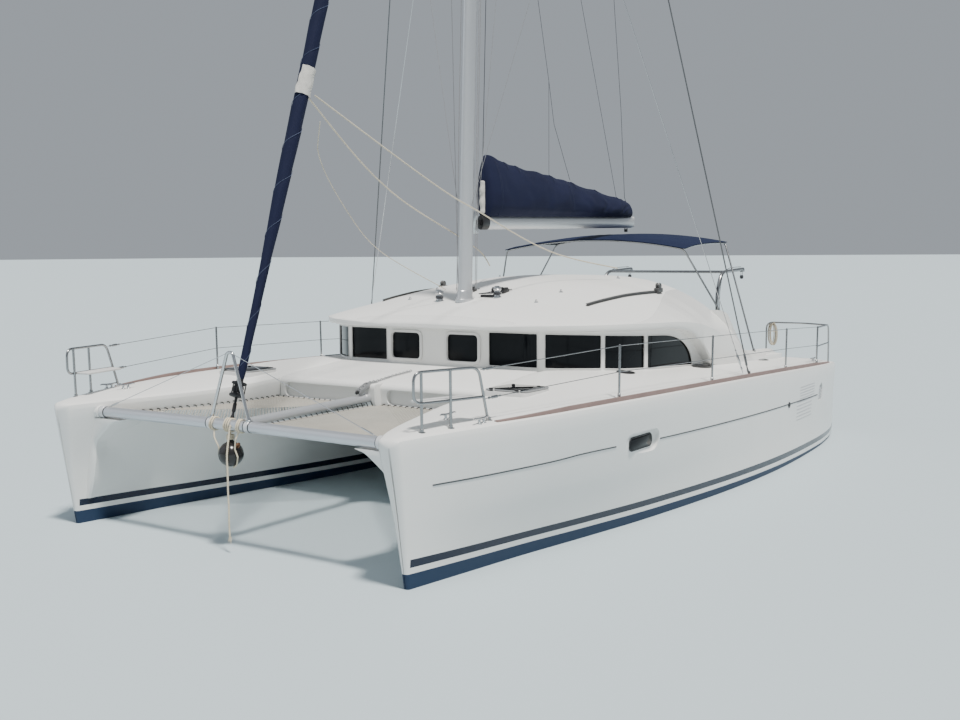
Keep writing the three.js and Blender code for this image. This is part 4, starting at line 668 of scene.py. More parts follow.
def around(count):
    """The angles of a full turn, evenly spaced."""
    return [2 * math.pi * k / count for k in range(count)]


rail_rings = []
for i in range(121):
    x = RAIL_FROM + (RAIL_TO - RAIL_FROM) * i / 120
    y = HULL_Y + along(HULL_ROWS, 3, x) - RAIL_INSET
    low = deck_z(x, y) - 0.008
    high = RAIL_HIGH * min(1, 0.35 + 6 * min(i, 120 - i) / 120)
    section = [(-1, 0), (-1, 0.7), (-0.7, 0.95), (0.7, 0.95), (1, 0.7), (1, 0)]
    rail_rings.append([(x, y + side * RAIL_HALF, low + (high + 0.008) * share) for side, share in section])
both(skin("rubbing_rail", rail_rings), "rubbing_rail", rail_taupe, "white_plastic")

# The groove along each side is a dark rod whose colour is painted shade, not a dark moulding.
for number, (start, end) in enumerate([(-3.39, 2.0), (2.9, 5.39)]):
    run = []
    for i in range(61):
        x = start + (end - start) * i / 60
        z = along(LINE_ROWS, 1, x)
        run.append((x, side_y(x, z) - 0.0022, z))
    both(rod("groove_shade_line", run, LINE_RADIUS, sides=8), f"shadow_line_{number}", painted_groove_shade, "black_plastic")

floor_y = wall_y - 0.028
pane = oval_tool("pane", px, pz, *PORTHOLE_GLASS, floor_y - 0.002, floor_y + 0.01, 0.062, bevel=0.003)
both(pane, "porthole_pane", smoked_acrylic, "smoked_glass")
corners = [(px - 0.268, pz - 0.07), (px + 0.268, pz - 0.07), (px + 0.268, pz + 0.07),
           (px - 0.268, pz + 0.07)]
gasket = [(x, floor_y + 0.003, z) for x, z in round_outline(corners, 0.068, 8)]
both(rod("gasket", gasket, 0.008, sides=8, loop=True), "porthole_gasket", black_moulding, "black_plastic")

# The sea outlet is a black lip ring round a black plug, and the plug's face is painted shade for the dark
# inside of the hole.
outlet_y = side_y(*OUTLET)
outlet = joined("outlet", [
    rod("lip", [(OUTLET[0] + 0.034 * math.cos(a), outlet_y + 0.002, OUTLET[1] + 0.034 * math.sin(a))
                for a in around(20)], 0.008, sides=8, loop=True),
    rod("bore", [(OUTLET[0], outlet_y - 0.03, OUTLET[1]), (OUTLET[0], outlet_y + 0.002, OUTLET[1])], 0.03,
        sides=16),
])
both(outlet, "sea_outlet", black_moulding, "black_plastic")

# The slats' grey is painted shade: white vent slats darkened to the shaded look of the vents and their
# recess.
slats = []
for x, z, half_long, half_high in LOUVRES:
    count = 6
    for i in range(count):
        level = z - half_high + 2 * half_high * (i + 0.5) / count
        run = [x + half_long * (2 * k / 8 - 1) for k in range(9)]
        slats.append(rod("slat", [(a, side_y(a, level) - 0.001, level) for a in run], 0.005, sides=6))
for i in range(5):
    level = VENT_Z - 0.095 + 0.042 * i
    slats.append(rod("slat", [(VENT_X - 0.09, vent_y - 0.017, level),
                              (VENT_X + 0.09, vent_y - 0.017, level)], 0.008, 6))
both(joined("louvres", slats), "engine_louvres", paint("louvre_painted_shade", (0.42, 0.43, 0.45), 0.4),
     "white_plastic")

# Deck fittings on the hulls: cast horn cleats at bow and stern, and flat dark oval caps on the deck.
# The steel is polished and a little dulled by salt.
CLEATS = [(4.82, 2.65), (4.86, 2.3), (-4.05, 2.86)]
CLEAT_HALF = 0.125
# Columns: x, y, half length along the boat, half width
CAPS = [(1.24, 2.31, 0.13, 0.11), (-0.6, 2.5, 0.22, 0.12), (-3.07, 2.39, 0.16, 0.1)]

stainless = paint("stainless", (0.62, 0.63, 0.64), 0.2, metal=1.0, drift=0.12, drift_size=14,
                  gloss_drift=0.1)


def turned(name, start, end, profile, sides=24):
    """A part turned on a lathe: shares of the way from start to end, with the radius at each."""
    a = Vector(start)
    b = Vector(end)
    return rod(name, [a.lerp(b, share) for share, _ in profile], [radius for _, radius in profile], sides)


cleats = []
for x, y in CLEATS:
    z = deck_z(x, y)
    horn = [(-1, 0.046), (-0.8, 0.052), (-0.3, 0.045), (0.3, 0.045), (0.8, 0.052), (1, 0.046)]
    radii = [0.006, 0.009, 0.011, 0.011, 0.009, 0.006]
    line = threaded([(x + share * CLEAT_HALF, y, z + rise, r) for (share, rise), r in zip(horn, radii)], 5)
    cleats.append(rod("horn", [row[:3] for row in line], [row[3] for row in line], 10))
    for side in (-1, 1):
        foot = (x + side * 0.035, y, z)
        cleats.append(turned("post", (foot[0], y, z - 0.01), (foot[0], y, z + 0.045),
                             [(0, 0.028), (0.22, 0.028), (0.34, 0.014), (1, 0.012)], 12))
both(joined("cleats", cleats), "deck_cleats", stainless, "steel")

caps = []
for x, y, half_long, half_wide in CAPS:
    rings = []
    for share, lift in ((1, -0.006), (1, 0.007), (0.95, 0.011), (0.86, 0.011), (0.84, 0.007), (0.02, 0.007)):
        rings.append([])
        for k in range(28):
            angle = 2 * math.pi * k / 28
            a = x + half_long * share * math.cos(angle)
            b = y + half_wide * share * math.sin(angle)
            rings[-1].append((a, b, deck_z(a, b) + lift))
    caps.append(skin("cap", rings))
both(joined("caps", caps), "filler_caps", black_moulding, "black_plastic")

# Bridge deck: the moulded platform between the hulls, with the cockpit sole, the benches and the foredeck.
# The foredeck's forward face is rounded, with two shallow recesses, and a nose on it takes the centre tube.
DECK_OUTLINE = [
    (-4.7, 0.72), (2.6, 0.72), (2.88, 0.88), (3.06, 1.03), (3.15, 1.2), (3.15, 1.33), (3.16, 1.43),
    (3.135, 1.468), (3.06, 1.49), (2.8, 1.52), (2.41, 1.549), (2.16, 1.575), (1.9, 1.595), (1.9, 0.8),
    (-4.22, 0.8), (-4.22, 1.24), (-4.7, 1.24),
]
DECK_HALF = 1.4997
BENCH = (-4.655, -2.1, -1.4997, -0.96, 0.795, 1.23)
NOSE_OUTLINE = [(3.05, 1.15), (3.215, 1.19), (3.262, 1.26), (3.272, 1.44), (3.255, 1.48), (3.05, 1.487)]
RECESS = [(0.19, 1.235), (1.42, 1.235), (1.42, 1.415), (0.19, 1.415)]


def block(name, x0, x1, y0, y1, z0, z1, bevel=0.006, segments=2):
    """A box between two corners, with rounded edges."""
    return prism(name, [(x0, y0), (x1, y0), (x1, y1), (x0, y1)], "z", z0, z1, bevel, segments)


outline = round_outline(DECK_OUTLINE, 0.07, 4)
bridge = prism("bridge", outline, "y", -DECK_HALF, DECK_HALF, bevel=0.012)
for side in (-1, 1):
    corners = [(side * a, b) for a, b in round_outline(RECESS, 0.085, 7)]
    carve(bridge, prism("recess", corners, "x", 3.098, 3.3))
carve(bridge, prism("nose", round_outline(NOSE_OUTLINE, 0.03, 4), "y", -0.105, 0.105, bevel=0.022,
                    segments=4), "UNION")
bench = block("bench", *BENCH, bevel=0.03, segments=3)
bridge = joined("bridge_moulding", [bridge, bench])
fit(bridge, deck_gelcoat, "gelcoat", nodes=("bridge_deck",), angle=30)

galvanised = paint("galvanised", (0.4, 0.41, 0.42), 0.5, metal=0.55, drift=0.5, drift_size=60)
chain_line = threaded([(2.41, 0, 1.562), (2.8, 0, 1.532), (3.08, 0, 1.5), (3.27, 0, 1.492),
                       (3.42, 0, 1.43)], 60)
links = []
gone = 0.0
for i in range(1, len(chain_line)):
    gone += math.dist(chain_line[i], chain_line[i - 1])
    if gone < 0.033:
        continue
    gone = 0.0
    here = Vector(chain_line[i])
    course = (here - Vector(chain_line[i - 1])).normalized()
    side = Vector((0, 1, 0)) if len(links) % 2 else course.cross(Vector((0, 1, 0)))
    oval = [here + course * 0.023 * math.cos(a) + side * 0.014 * math.sin(a) for a in around(10)]
    links.append(rod("link", oval, 0.0048, sides=6, loop=True))
fit(joined("anchor_chain", links), galvanised, "steel")

# Bow roller: two cheek plates stand out from the foredeck's edge with a grooved rubber roller between them.
# The anchor chain runs over it.
ROLLER_X = 3.43
ROLLER_Z = 1.396
CHEEK = [(3.12, 1.494), (3.27, 1.498), (3.44, 1.424), (3.456, 1.386), (3.428, 1.37), (3.29, 1.436),
         (3.12, 1.476)]
RAMP = [(3.255, 1.486), (3.405, 1.424), (3.405, 1.418), (3.255, 1.48)]
cheeks = []
for side in (-1, 1):
    cheeks.append(prism("cheek", round_outline(CHEEK, 0.02, 3), "y", side * 0.034 - 0.004,
                        side * 0.034 + 0.004, 0.0015))
cheeks.append(turned("axle", (ROLLER_X, -0.044, ROLLER_Z), (ROLLER_X, 0.044, ROLLER_Z),
                     [(0, 0.011), (0.08, 0.011), (0.09, 0.007),
                      (0.91, 0.007), (0.92, 0.011), (1, 0.011)], 12))
cheeks.append(block("shoe", 3.12, 3.25, -0.036, 0.036, 1.478, 1.492, 0.002))
cheeks.append(prism("ramp", RAMP, "y", -0.031, 0.031, 0.001))
fit(joined("roller_cheeks", cheeks), galvanised, "steel", nodes=("bow_roller",))
roller = turned("bow_roller_wheel", (ROLLER_X, -0.029, ROLLER_Z), (ROLLER_X, 0.029, ROLLER_Z),
                [(0, 0.016), (0.03, 0.022), (0.15, 0.024), (0.4, 0.016), (0.6, 0.016), (0.85, 0.024),
                 (0.97, 0.022), (1, 0.018)], 32)
fit(roller, black_moulding, "black_plastic")

# Crossbeam: a round anodised tube between the bows, in a socket on each, with a clamp collar at both ends.
# Two more collars carry the striker's feet, and black bands part the collars from the tube.
BEAM_RADIUS = 0.057
BEAM_CROWN = 0.012
BEAM_HALF = 2.15
COLLARS = [(-1.964, 0.068, 0.032), (1.964, 0.068, 0.032), (-0.265, 0.062, 0.028), (0.265, 0.062, 0.028)]


def brushed_alloy(name, colour, rough, stretch):
    """Anodised alloy, with fine streaks drawn out along one axis."""
    finish = paint(name, colour, rough, metal=0.75, drift=0.08, drift_size=2.5, gloss_drift=0.07)
    nodes = finish.node_tree.nodes
    turn = shader(finish, "Mapping", {"Scale": stretch,
                                      "Vector": nodes["Texture Coordinate"].outputs["Object"]})
    streaks = shader(finish, "TexNoise", {"Scale": 60, "Detail": 2, "Vector": turn["Vector"]})
    relief = shader(finish, "Bump", {"Strength": 0.12, "Distance": 0.0006, "Height": streaks["Fac"]})
    feed(nodes["Principled BSDF"], {"Normal": relief["Normal"]})
    return finish


beam_alloy = brushed_alloy("beam_alloy", (0.6, 0.62, 0.66), 0.34, (1, 0.03, 1))


def beam_z(y):
    """The beam bows up a little in the middle."""
    return BEAM_Z + BEAM_CROWN * (1 - (y / BEAM_HALF) ** 2)


beam_line = [(BEAM_X, -2.06 + 4.12 * i / 48, 0) for i in range(49)]
beam_line = [(x, y, beam_z(y)) for x, y, _ in beam_line]
fit(rod("beam_tube", beam_line, BEAM_RADIUS, sides=36), beam_alloy, "alloy", nodes=("crossbeam",))
rings = []
bands = []
for y, radius, half in COLLARS:
    z = beam_z(y)
    rings.append(turned("collar", (BEAM_X, y - half, z), (BEAM_X, y + half, z),
                        [(0, BEAM_RADIUS - 0.004), (0.01, radius - 0.003), (0.08, radius), (0.92, radius),
                         (0.99, radius - 0.003), (1, BEAM_RADIUS - 0.004)], 36))
    for side in (-1, 1):
        edge = y + side * (half + 0.006)
        bands.append(turned("band", (BEAM_X, edge - 0.007, z), (BEAM_X, edge + 0.007, z),
                            [(0, 0.055), (0.1, 0.0595), (0.9, 0.0595), (1, 0.055)], 36))
fit(joined("beam_collars", rings), paint("collar_grey", (0.66, 0.67, 0.69), 0.4, metal=0.3), "alloy")
fit(joined("beam_bands", bands), black_moulding, "black_plastic")

# Centre tube: a thick alloy tube from the crossbeam aft and up to the foredeck's nose. The nets' inner edges
# are laced to it, and a small end fitting hooks each end on.
TUBE_AFT = Vector((3.262, 0, 1.3159))
TUBE_FORE = Vector((5.372, 0, 1.2626))
TUBE_RADIUS = 0.0548
fit(turned("centre_spar", TUBE_AFT, TUBE_FORE,
           [(0, 0.04), (0.002, 0.058), (0.03, 0.058), (0.032, TUBE_RADIUS), (0.5, TUBE_RADIUS),
            (0.968, TUBE_RADIUS), (0.97, 0.058), (0.995, 0.058), (1, 0.04)], 32),
    brushed_alloy("tube_alloy", (0.66, 0.67, 0.69), 0.36, (0.03, 1, 1)), "alloy", nodes=("centre_tube",))

# Nets: two trampolines of knotted polyester cord between hulls, crossbeam, centre tube and foredeck.
# Each has a bolt rope round its edge, held by short black lashings to what stands beside it.
NET_Z = 1.228
NET_CELL = 0.046
NET_CORD = 0.0038
NET_SAG = 0.02
NET_GAP = 0.022
NET_BACK = 3.15
NET_FRONT = BEAM_X - 0.068
LACE_STEP = 0.085

tunnel_tree = BVHTree.FromObject(hull, bpy.context.evaluated_depsgraph_get())


def inner_side(x):
    """Where the port hull's inboard side stands at the height of the net."""
    hit = tunnel_tree.ray_cast(Vector((x, 0, NET_Z)), Vector((0, 1, 0)))
    return hit[0].y


edge_side = [(NET_BACK + NET_GAP + (NET_FRONT - NET_BACK - 2 * NET_GAP) * i / 20) for i in range(21)]
net_edge = [(x, inner_side(x) - NET_GAP) for x in edge_side]
NET_INNER = 0.06
net_outline = [(edge_side[0], NET_INNER)] + net_edge + [(edge_side[-1], NET_INNER)]


def net_z(x, y):
    """The net hangs a little between its edges."""
    u = (x - NET_BACK) / (NET_FRONT - NET_BACK)
    v = y / 2.0
    return NET_Z - NET_SAG * max(16 * u * (1 - u) * v * max(1 - v, 0), 0)


def inside(x, y):
    """Whether a place lies within the net's outline."""
    if not net_outline[0][0] < x < net_edge[-1][0] or y <= NET_INNER:
        return False
    return y < along(net_edge, 1, x)


points = []
faces = []
for lean in (-1, 1):
    offset = -3.0
    while offset < 9.0:
        offset += NET_CELL
        run = []
        steps = 240
        for i in range(steps + 1):
            x = NET_BACK + (NET_FRONT - NET_BACK) * i / steps
            y = lean * x + offset if lean > 0 else offset - x
            if inside(x, y):
                run.append((x, y))
        if len(run) < 3:
            continue
        picked = [run[0]] + run[8:-6:14] + [run[-1]]
        first = len(points)
        for x, y in picked:
            z = net_z(x, y) + 0.0012 * lean
            points += [(x - NET_CORD * lean, y + NET_CORD, z), (x + NET_CORD * lean, y - NET_CORD, z),
                       (x, y, z + 0.0036)]
        for k in range(len(picked) - 1):
            a = first + 3 * k
            for m in range(3):
                n = (m + 1) % 3
                faces.append((a + m, a + n, a + 3 + n, a + 3 + m))
        faces += [(first, first + 2, first + 1), (len(points) - 3, len(points) - 2, len(points) - 1)]
net_mesh = bpy.data.meshes.new("net_cords")
net_mesh.from_pydata(points, [], faces)
net_piece = bpy.data.objects.new("net_cords", net_mesh)
bpy.context.collection.objects.link(net_piece)
face_out(net_piece)
net_beige = paint("net_beige", (0.37, 0.35, 0.305), 0.9, drift=0.25, drift_size=3, grain=0.5, grain_size=300)
both(net_piece, "net_cords", net_beige, "net_webbing", nodes=("net",))

rope_edge = [(x, y, net_z(x, y)) for x, y in threaded(net_outline, 1, loop=True)]
both(rod("bolt_rope", rope_edge, 0.009, sides=8, loop=True), "net_bolt_rope",
     paint("bolt_rope", (0.42, 0.4, 0.36), 0.85, drift=0.2, drift_size=60), "rope")


def lashing(a, b):
    """A short lashing from the net's edge to what it is tied to."""
    middle = Vector(a).lerp(Vector(b), 0.5) + Vector((0, 0, 0.006))
    return rod("lashing", [Vector(a), middle, Vector(b)], 0.0062, sides=6)


laces = []
x = net_edge[0][0]
while x < net_edge[-1][0]:
    laces.append(lashing((x, along(net_edge, 1, x) - 0.012, NET_Z + 0.004),
                         (x + 0.022, inner_side(x) - 0.002, NET_Z + 0.016)))
    tube_z = TUBE_AFT.z + (TUBE_FORE.z - TUBE_AFT.z) * (x - TUBE_AFT.x) / (TUBE_FORE.x - TUBE_AFT.x)
    laces.append(lashing((x, NET_INNER + 0.004, NET_Z + 0.002), (x + 0.01, 0.046, tube_z - 0.034)))
    x += LACE_STEP
y = NET_INNER
while y < net_edge[0][1]:
    if y < net_edge[-1][1]:
        laces.append(lashing((net_edge[-1][0] - 0.012, y, NET_Z + 0.004),
                             (BEAM_X - 0.052, y + 0.022, beam_z(y) - 0.022)))
    laces.append(lashing((net_edge[0][0] + 0.012, y, NET_Z + 0.004),
                         (NET_BACK + 0.002, y + 0.022, NET_Z + 0.012)))
    y += LACE_STEP
lace_black = paint("lace_black", (0.014, 0.014, 0.016), 0.8, drift=0.3, drift_size=40)
both(joined("lacing", laces), "net_lacing", lace_black, "rope")

# Striker: a bent stainless frame that stands on the crossbeam under the forestay, with flanged feet.
# A wire on each side stays its top to the beam's ends.
STRIKER_X = 5.4
STRIKER_TOP = 2.01
STRIKER_HALF = 0.038
STRIKER_FOOT = 0.265
STRIKER_RADIUS = 0.017


def bent(points, radius, steps=6):
    """Points with each inner corner turned into an arc."""
    result = [Vector(points[0])]
    for a, b, c in zip(points, points[1:], points[2:]):
        here = Vector(b)
        back = Vector(a) - here
        ahead = Vector(c) - here
        cut = min(radius, back.length / 2.2, ahead.length / 2.2)
        start = here + back.normalized() * cut
        end = here + ahead.normalized() * cut
        for k in range(steps + 1):
            t = k / steps
            result.append(start * (1 - t) ** 2 + here * 2 * t * (1 - t) + end * t ** 2)
    result.append(Vector(points[-1]))
    return result


foot_z = beam_z(STRIKER_FOOT) + BEAM_RADIUS
frame_line = bent([
    (BEAM_X, -STRIKER_FOOT, foot_z), (STRIKER_X, -STRIKER_HALF, STRIKER_TOP),
    (STRIKER_X, STRIKER_HALF, STRIKER_TOP), (BEAM_X, STRIKER_FOOT, foot_z),
], 0.07, 8)
parts = [rod("legs", frame_line, STRIKER_RADIUS, sides=16)]
for side in (-1, 1):
    y = side * STRIKER_FOOT
    parts.append(turned("foot", (BEAM_X, y, foot_z - 0.002), (BEAM_X, y, foot_z + 0.03),
                        [(0, 0.036), (0.4, 0.036), (0.5, 0.024), (1, 0.019)], 20))
    wire_end = (BEAM_X, side * 1.9, beam_z(1.9) + BEAM_RADIUS - 0.002)
    apex = (STRIKER_X + 0.004, side * 0.03, STRIKER_TOP - 0.006)
    parts.append(rod("wire", [apex, wire_end], 0.0038, sides=6))
    near = Vector(wire_end).lerp(Vector(apex), 0.015)
    far = Vector(wire_end).lerp(Vector(apex), 0.1)
    parts.append(turned("screw", near, far, [(0, 0.004), (0.1, 0.008), (0.3, 0.009),
                                             (0.7, 0.009), (0.9, 0.008), (1, 0.004)], 10))
fit(joined("striker_frame", parts), stainless, "steel", nodes=("striker",))

# Ball: a blown rubber ball fender slung under the crossbeam on two cream lanyards.
# Its neck is thick and has a brown shackle through it.
BALL_Z = 0.985
BALL_RADIUS = 0.128
profile = []
for k in range(25):
    angle = math.pi * k / 24 - math.pi / 2
    profile.append((BALL_Z + BALL_RADIUS * math.sin(angle), max(BALL_RADIUS * math.cos(angle), 0.002)))
profile = [row for row in profile if row[0] < BALL_Z + BALL_RADIUS * 0.955]
profile += [(BALL_Z + BALL_RADIUS + 0.004, 0.032), (BALL_Z + BALL_RADIUS + 0.026, 0.026),
            (BALL_Z + BALL_RADIUS + 0.03, 0.004)]
ball = rod("ball", [(BEAM_X, 0, z) for z, _ in profile], [radius for _, radius in profile], 40)
ball_black = paint("ball_black", (0.016, 0.014, 0.014), 0.24, drift=0.4, drift_size=8, gloss_drift=0.12,
                   grain=0.25, grain_size=70)
fit(ball, ball_black, "black_plastic", nodes=("fender_ball",))

lanyards = []
beam_foot = beam_z(0) - BEAM_RADIUS + 0.006
for side, start_y in ((-1, -0.2), (1, 0.155)):
    route = threaded([
        (BEAM_X + 0.03, start_y, beam_foot), (BEAM_X + 0.06, start_y * 0.8 + side * 0.01, 1.15),
        (BEAM_X + 0.055, side * 0.115, 1.05), (BEAM_X + 0.04, side * 0.136, 0.97),
        (BEAM_X + 0.02, side * 0.098, 0.882), (BEAM_X, side * 0.03, 0.848),
    ], 6)
    lanyards.append(rod("lanyard", route, 0.008, sides=8))
for lift in (0, 0.016, 0.032):
    loop = [(BEAM_X + 0.034 * math.cos(a), 0.034 * math.sin(a), BALL_Z + BALL_RADIUS + 0.03 + lift)
            for a in around(16)]
    lanyards.append(rod("turn", loop, 0.009, sides=8, loop=True))
lanyards.append(rod("neck_line", [(BEAM_X, 0, BALL_Z + BALL_RADIUS), (BEAM_X, 0, beam_foot)], 0.009,
                    sides=8))
for y in (-0.235, -0.205, 0.145, 0.17, -0.03, 0.0, 0.03):
    loop = [(BEAM_X + (BEAM_RADIUS + 0.008) * math.cos(a), y + 0.006 * math.sin(3 * a),
             beam_z(y) + (BEAM_RADIUS + 0.008) * math.sin(a))
             for a in around(24)]
    lanyards.append(rod("wrap", loop, 0.0085, sides=8, loop=True))
fit(joined("ball_lanyards", lanyards), rope_cream, "rope")
shackle = rod("ball_shackle", [(BEAM_X + 0.02 + 0.022 * math.cos(a), 0.112 + 0.022 * math.sin(a),
                                1.075 + 0.03 * math.sin(a)) for a in around(16)], 0.011, sides=8, loop=True)
fit(shackle, paint("rusty_brown", (0.2, 0.09, 0.04), 0.7, drift=0.5, drift_size=50), "bronze")

# Coachroof: one white moulding over the saloon, a shallow dome whose rolled edge stands out over the windows
# as a visor and comes down to the deck aft of them. It is hollow, with the headlining's skin inside.
# Columns: x, half width, visor's lower edge z, its upper edge z, crown z, squareness of the section
ROOF_ROWS = [
    (-1.8, 2.545, 1.38, 1.7, 2.65, 3.0),
    (-1.3, 2.535, 1.38, 1.84, 2.662, 3.0),
    (-0.9, 2.525, 1.5, 1.96, 2.656, 3.0),
    (-0.6, 2.515, 1.76, 2.03, 2.642, 2.8),
    (-0.3, 2.505, 1.93, 2.075, 2.62, 2.6),
    (0.1, 2.49, 2.01, 2.105, 2.585, 2.4),
    (0.7, 2.43, 2.034, 2.122, 2.488, 2.3),
    (1.15, 2.325, 2.046, 2.13, 2.402, 2.2),
    (1.5, 2.15, 2.054, 2.132, 2.335, 2.2),
    (1.75, 1.92, 2.06, 2.132, 2.275, 2.2),
    (1.92, 1.66, 2.062, 2.128, 2.215, 2.2),
    (2.03, 1.35, 2.062, 2.122, 2.165, 2.2),
    (2.075, 1.05, 2.062, 2.112, 2.135, 2.2),
    (2.09, 0.8, 2.066, 2.1, 2.112, 2.2),
]
ROOF_SHELL = 0.045
VISOR_OVER = 0.15
VISOR_ROLL = 0.026


def roof_ring(row, spread, roll):
    """One cross section of the roof, from its lower edge up over the crown and down the other side."""
    x, half, edge, nose, crown, power = row
    tall = nose - edge
    side = [
        (half - roll * 1.6, edge), (half - roll * 0.45, edge + min(roll * 0.35, tall * 0.12)),
        (half, edge + min(roll * 1.3, tall * 0.4)), (half, edge + tall * 0.72),
    ]
    for share in spread:
        side.append((half * share, nose + (crown - nose) * (1 - share ** power) ** (1 / 1.15)))
    other = [(-y, z) for y, z in reversed(side) if abs(y) > 1e-6]
    return [(x, y, z) for y, z in side + other]


fine_spread = [1, 0.998, 0.992, 0.98, 0.96, 0.93, 0.89, 0.84, 0.78, 0.71, 0.63, 0.54, 0.44, 0.33, 0.22,
               0.11, 0]
roof_rows = threaded(ROOF_ROWS, 7, span=2)
roof = skin("roof_outer", [roof_ring(row, fine_spread, VISOR_ROLL) for row in roof_rows])
inner_rows = []
for x, half, _, nose, crown, power in threaded(ROOF_ROWS[::2] + ROOF_ROWS[-1:], 3, span=2):
    back = VISOR_OVER * ease(x, 0.6, 1.6)
    inner_rows.append((x - back, half - VISOR_OVER, 1.3, nose - ROOF_SHELL, crown - ROOF_SHELL, power))
inner_rows[0] = (-1.83, *inner_rows[0][1:])
carve(roof, skin("roof_inner", [roof_ring(row, fine_spread[::2], 0.001) for row in inner_rows]))
roof.name = "coachroof_moulding"
fit(roof, deck_gelcoat, "gelcoat", nodes=("coachroof",), angle=30)

# Cabin wall: the band of white moulding under the roof, bent round the saloon, with its window openings.
# It is cut flat, in distance round the wall and height, and then bent to the plan of the saloon.
# Columns: x, y, window sill z, window head z
PLAN_ROWS = [
    (1.96, 0.0, 1.62, 2.03),
    (1.955, 0.67, 1.62, 2.03),
    (1.905, 0.8, 1.62, 2.03),
    (1.84, 1.45, 1.615, 2.028),
    (1.74, 1.65, 1.61, 2.022),
    (1.38, 2.06, 1.6, 2.005),
    (1.16, 2.19, 1.585, 1.992),
    (0.7, 2.3, 1.562, 1.968),
    (-0.55, 2.375, 1.504, 1.905),
    (-1.3, 2.4, 1.47, 1.85),
]
WALL_THICK = 0.038
WINDOW_HIGH = 0.41
# Columns: name, start and end round the wall, height trimmed off sill and head, corner radius
WINDOWS = [
    ("hatch", 0.209, 0.666, 0.04, 0.06),
    ("front", 0.8, 1.455, 0.0, 0.022),
    ("corner", 1.545, 2.225, 0.0, 0.022),
    ("side", 2.27, 2.945, 0.0, 0.022),
    ("aft", 3.01, 4.212, 0.0, 0.022),
]
ARCH_FROM = 3.35
CUT_STEP = 0.045

gone = 0.0
marked = []
for i, row in enumerate(PLAN_ROWS):
    if i:
        gone += math.dist(row[:2], PLAN_ROWS[i - 1][:2])
    marked.append((*row[:2], row[2], row[3], gone))
port_plan = [(row[4], *row[:4]) for row in threaded(marked, 8, span=2)]
whole_plan = [(-s, x, -y, sill, head) for s, x, y, sill, head in reversed(port_plan[1:])] + port_plan


def on_wall(s, w, d):
    """The place at a distance round the wall, a height over the sill and a depth in from its outer face."""
    s_in = min(max(s, whole_plan[0][0]), whole_plan[-1][0])
    i = next((k for k in range(1, len(whole_plan)) if whole_plan[k][0] >= s_in), len(whole_plan) - 1)
    low, high = whole_plan[i - 1], whole_plan[i]
    t = (s_in - low[0]) / (high[0] - low[0])
    x, y, sill, head = [a + (b - a) * t for a, b in zip(low[1:], high[1:])]
    before = whole_plan[max(i - 2, 0)]
    after = whole_plan[min(i + 1, len(whole_plan) - 1)]
    course = Vector((after[1] - before[1], after[2] - before[2], 0)).normalized()
    outward = Vector((course.y, -course.x, 0))
    place = Vector((x, y, sill + w * (head - sill) / WINDOW_HIGH)) + outward * d + course * (s - s_in)
    return place


def bend(piece):
    """Bends a flat piece, drawn in distance, height and depth, to the wall."""
    for point in piece.data.vertices:
        point.co = on_wall(*point.co)
    return face_out(piece)


def window_outline(start, end, trim, radius, grow=0.0):
    """A window's outline on the flat wall. The aftmost one's head arches down to its sill."""
    low = trim - grow
    high = WINDOW_HIGH - trim + grow
    if start > 3.0:
        arch = []
        for k in range(0, 13):
            share = 1 - (1 - k / 12) ** 1.7 if k < 12 else 0.999
            s = ARCH_FROM + (end + grow - ARCH_FROM) * share
            arch.append((s, low + (high - low) * max((1 - share ** 2.4) ** 0.5, 0.1)))
        corners = [(end + grow, low), (start - grow, low), (start - grow, high)]
        return round_outline(corners + arch, radius, 3)
    corners = [(end + grow, low), (start - grow, low), (start - grow, high), (end + grow, high)]
    return round_outline(corners, radius + grow, 6)


def sliced(piece, step):
    """Cuts a flat piece across at even steps, so that it bends smoothly."""
    low = min(point.co.x for point in piece.data.vertices)
    high = max(point.co.x for point in piece.data.vertices)
    alone(piece)
    bpy.ops.object.mode_set(mode="EDIT")
    s = math.ceil(low / step) * step + 0.0013
    while s < high:
        bpy.ops.mesh.select_all(action="SELECT")
        bpy.ops.mesh.bisect(plane_co=(s, 0, 0), plane_no=(1, 0, 0))
        s += step
    bpy.ops.object.mode_set(mode="OBJECT")
    return piece


wall_end = port_plan[-1][0]
wall = block("wall", -wall_end, wall_end, -0.2, 0.56, -WALL_THICK, 0.0, bevel=0)
for _, start, end, trim, radius in WINDOWS:
    for side in (-1, 1):
        outline = [(side * s, w) for s, w in window_outline(start, end, trim, radius)]
        carve(wall, prism("opening", outline, "z", -0.2, 0.2))
shape(wall, "BEVEL", width=0.005, segments=2, limit_method="ANGLE", angle_limit=math.radians(40))
bend(sliced(wall, CUT_STEP))
fit(wall, deck_gelcoat, "gelcoat", nodes=("cabin_wall",), angle=30)
wall.name = "saloon_wall"

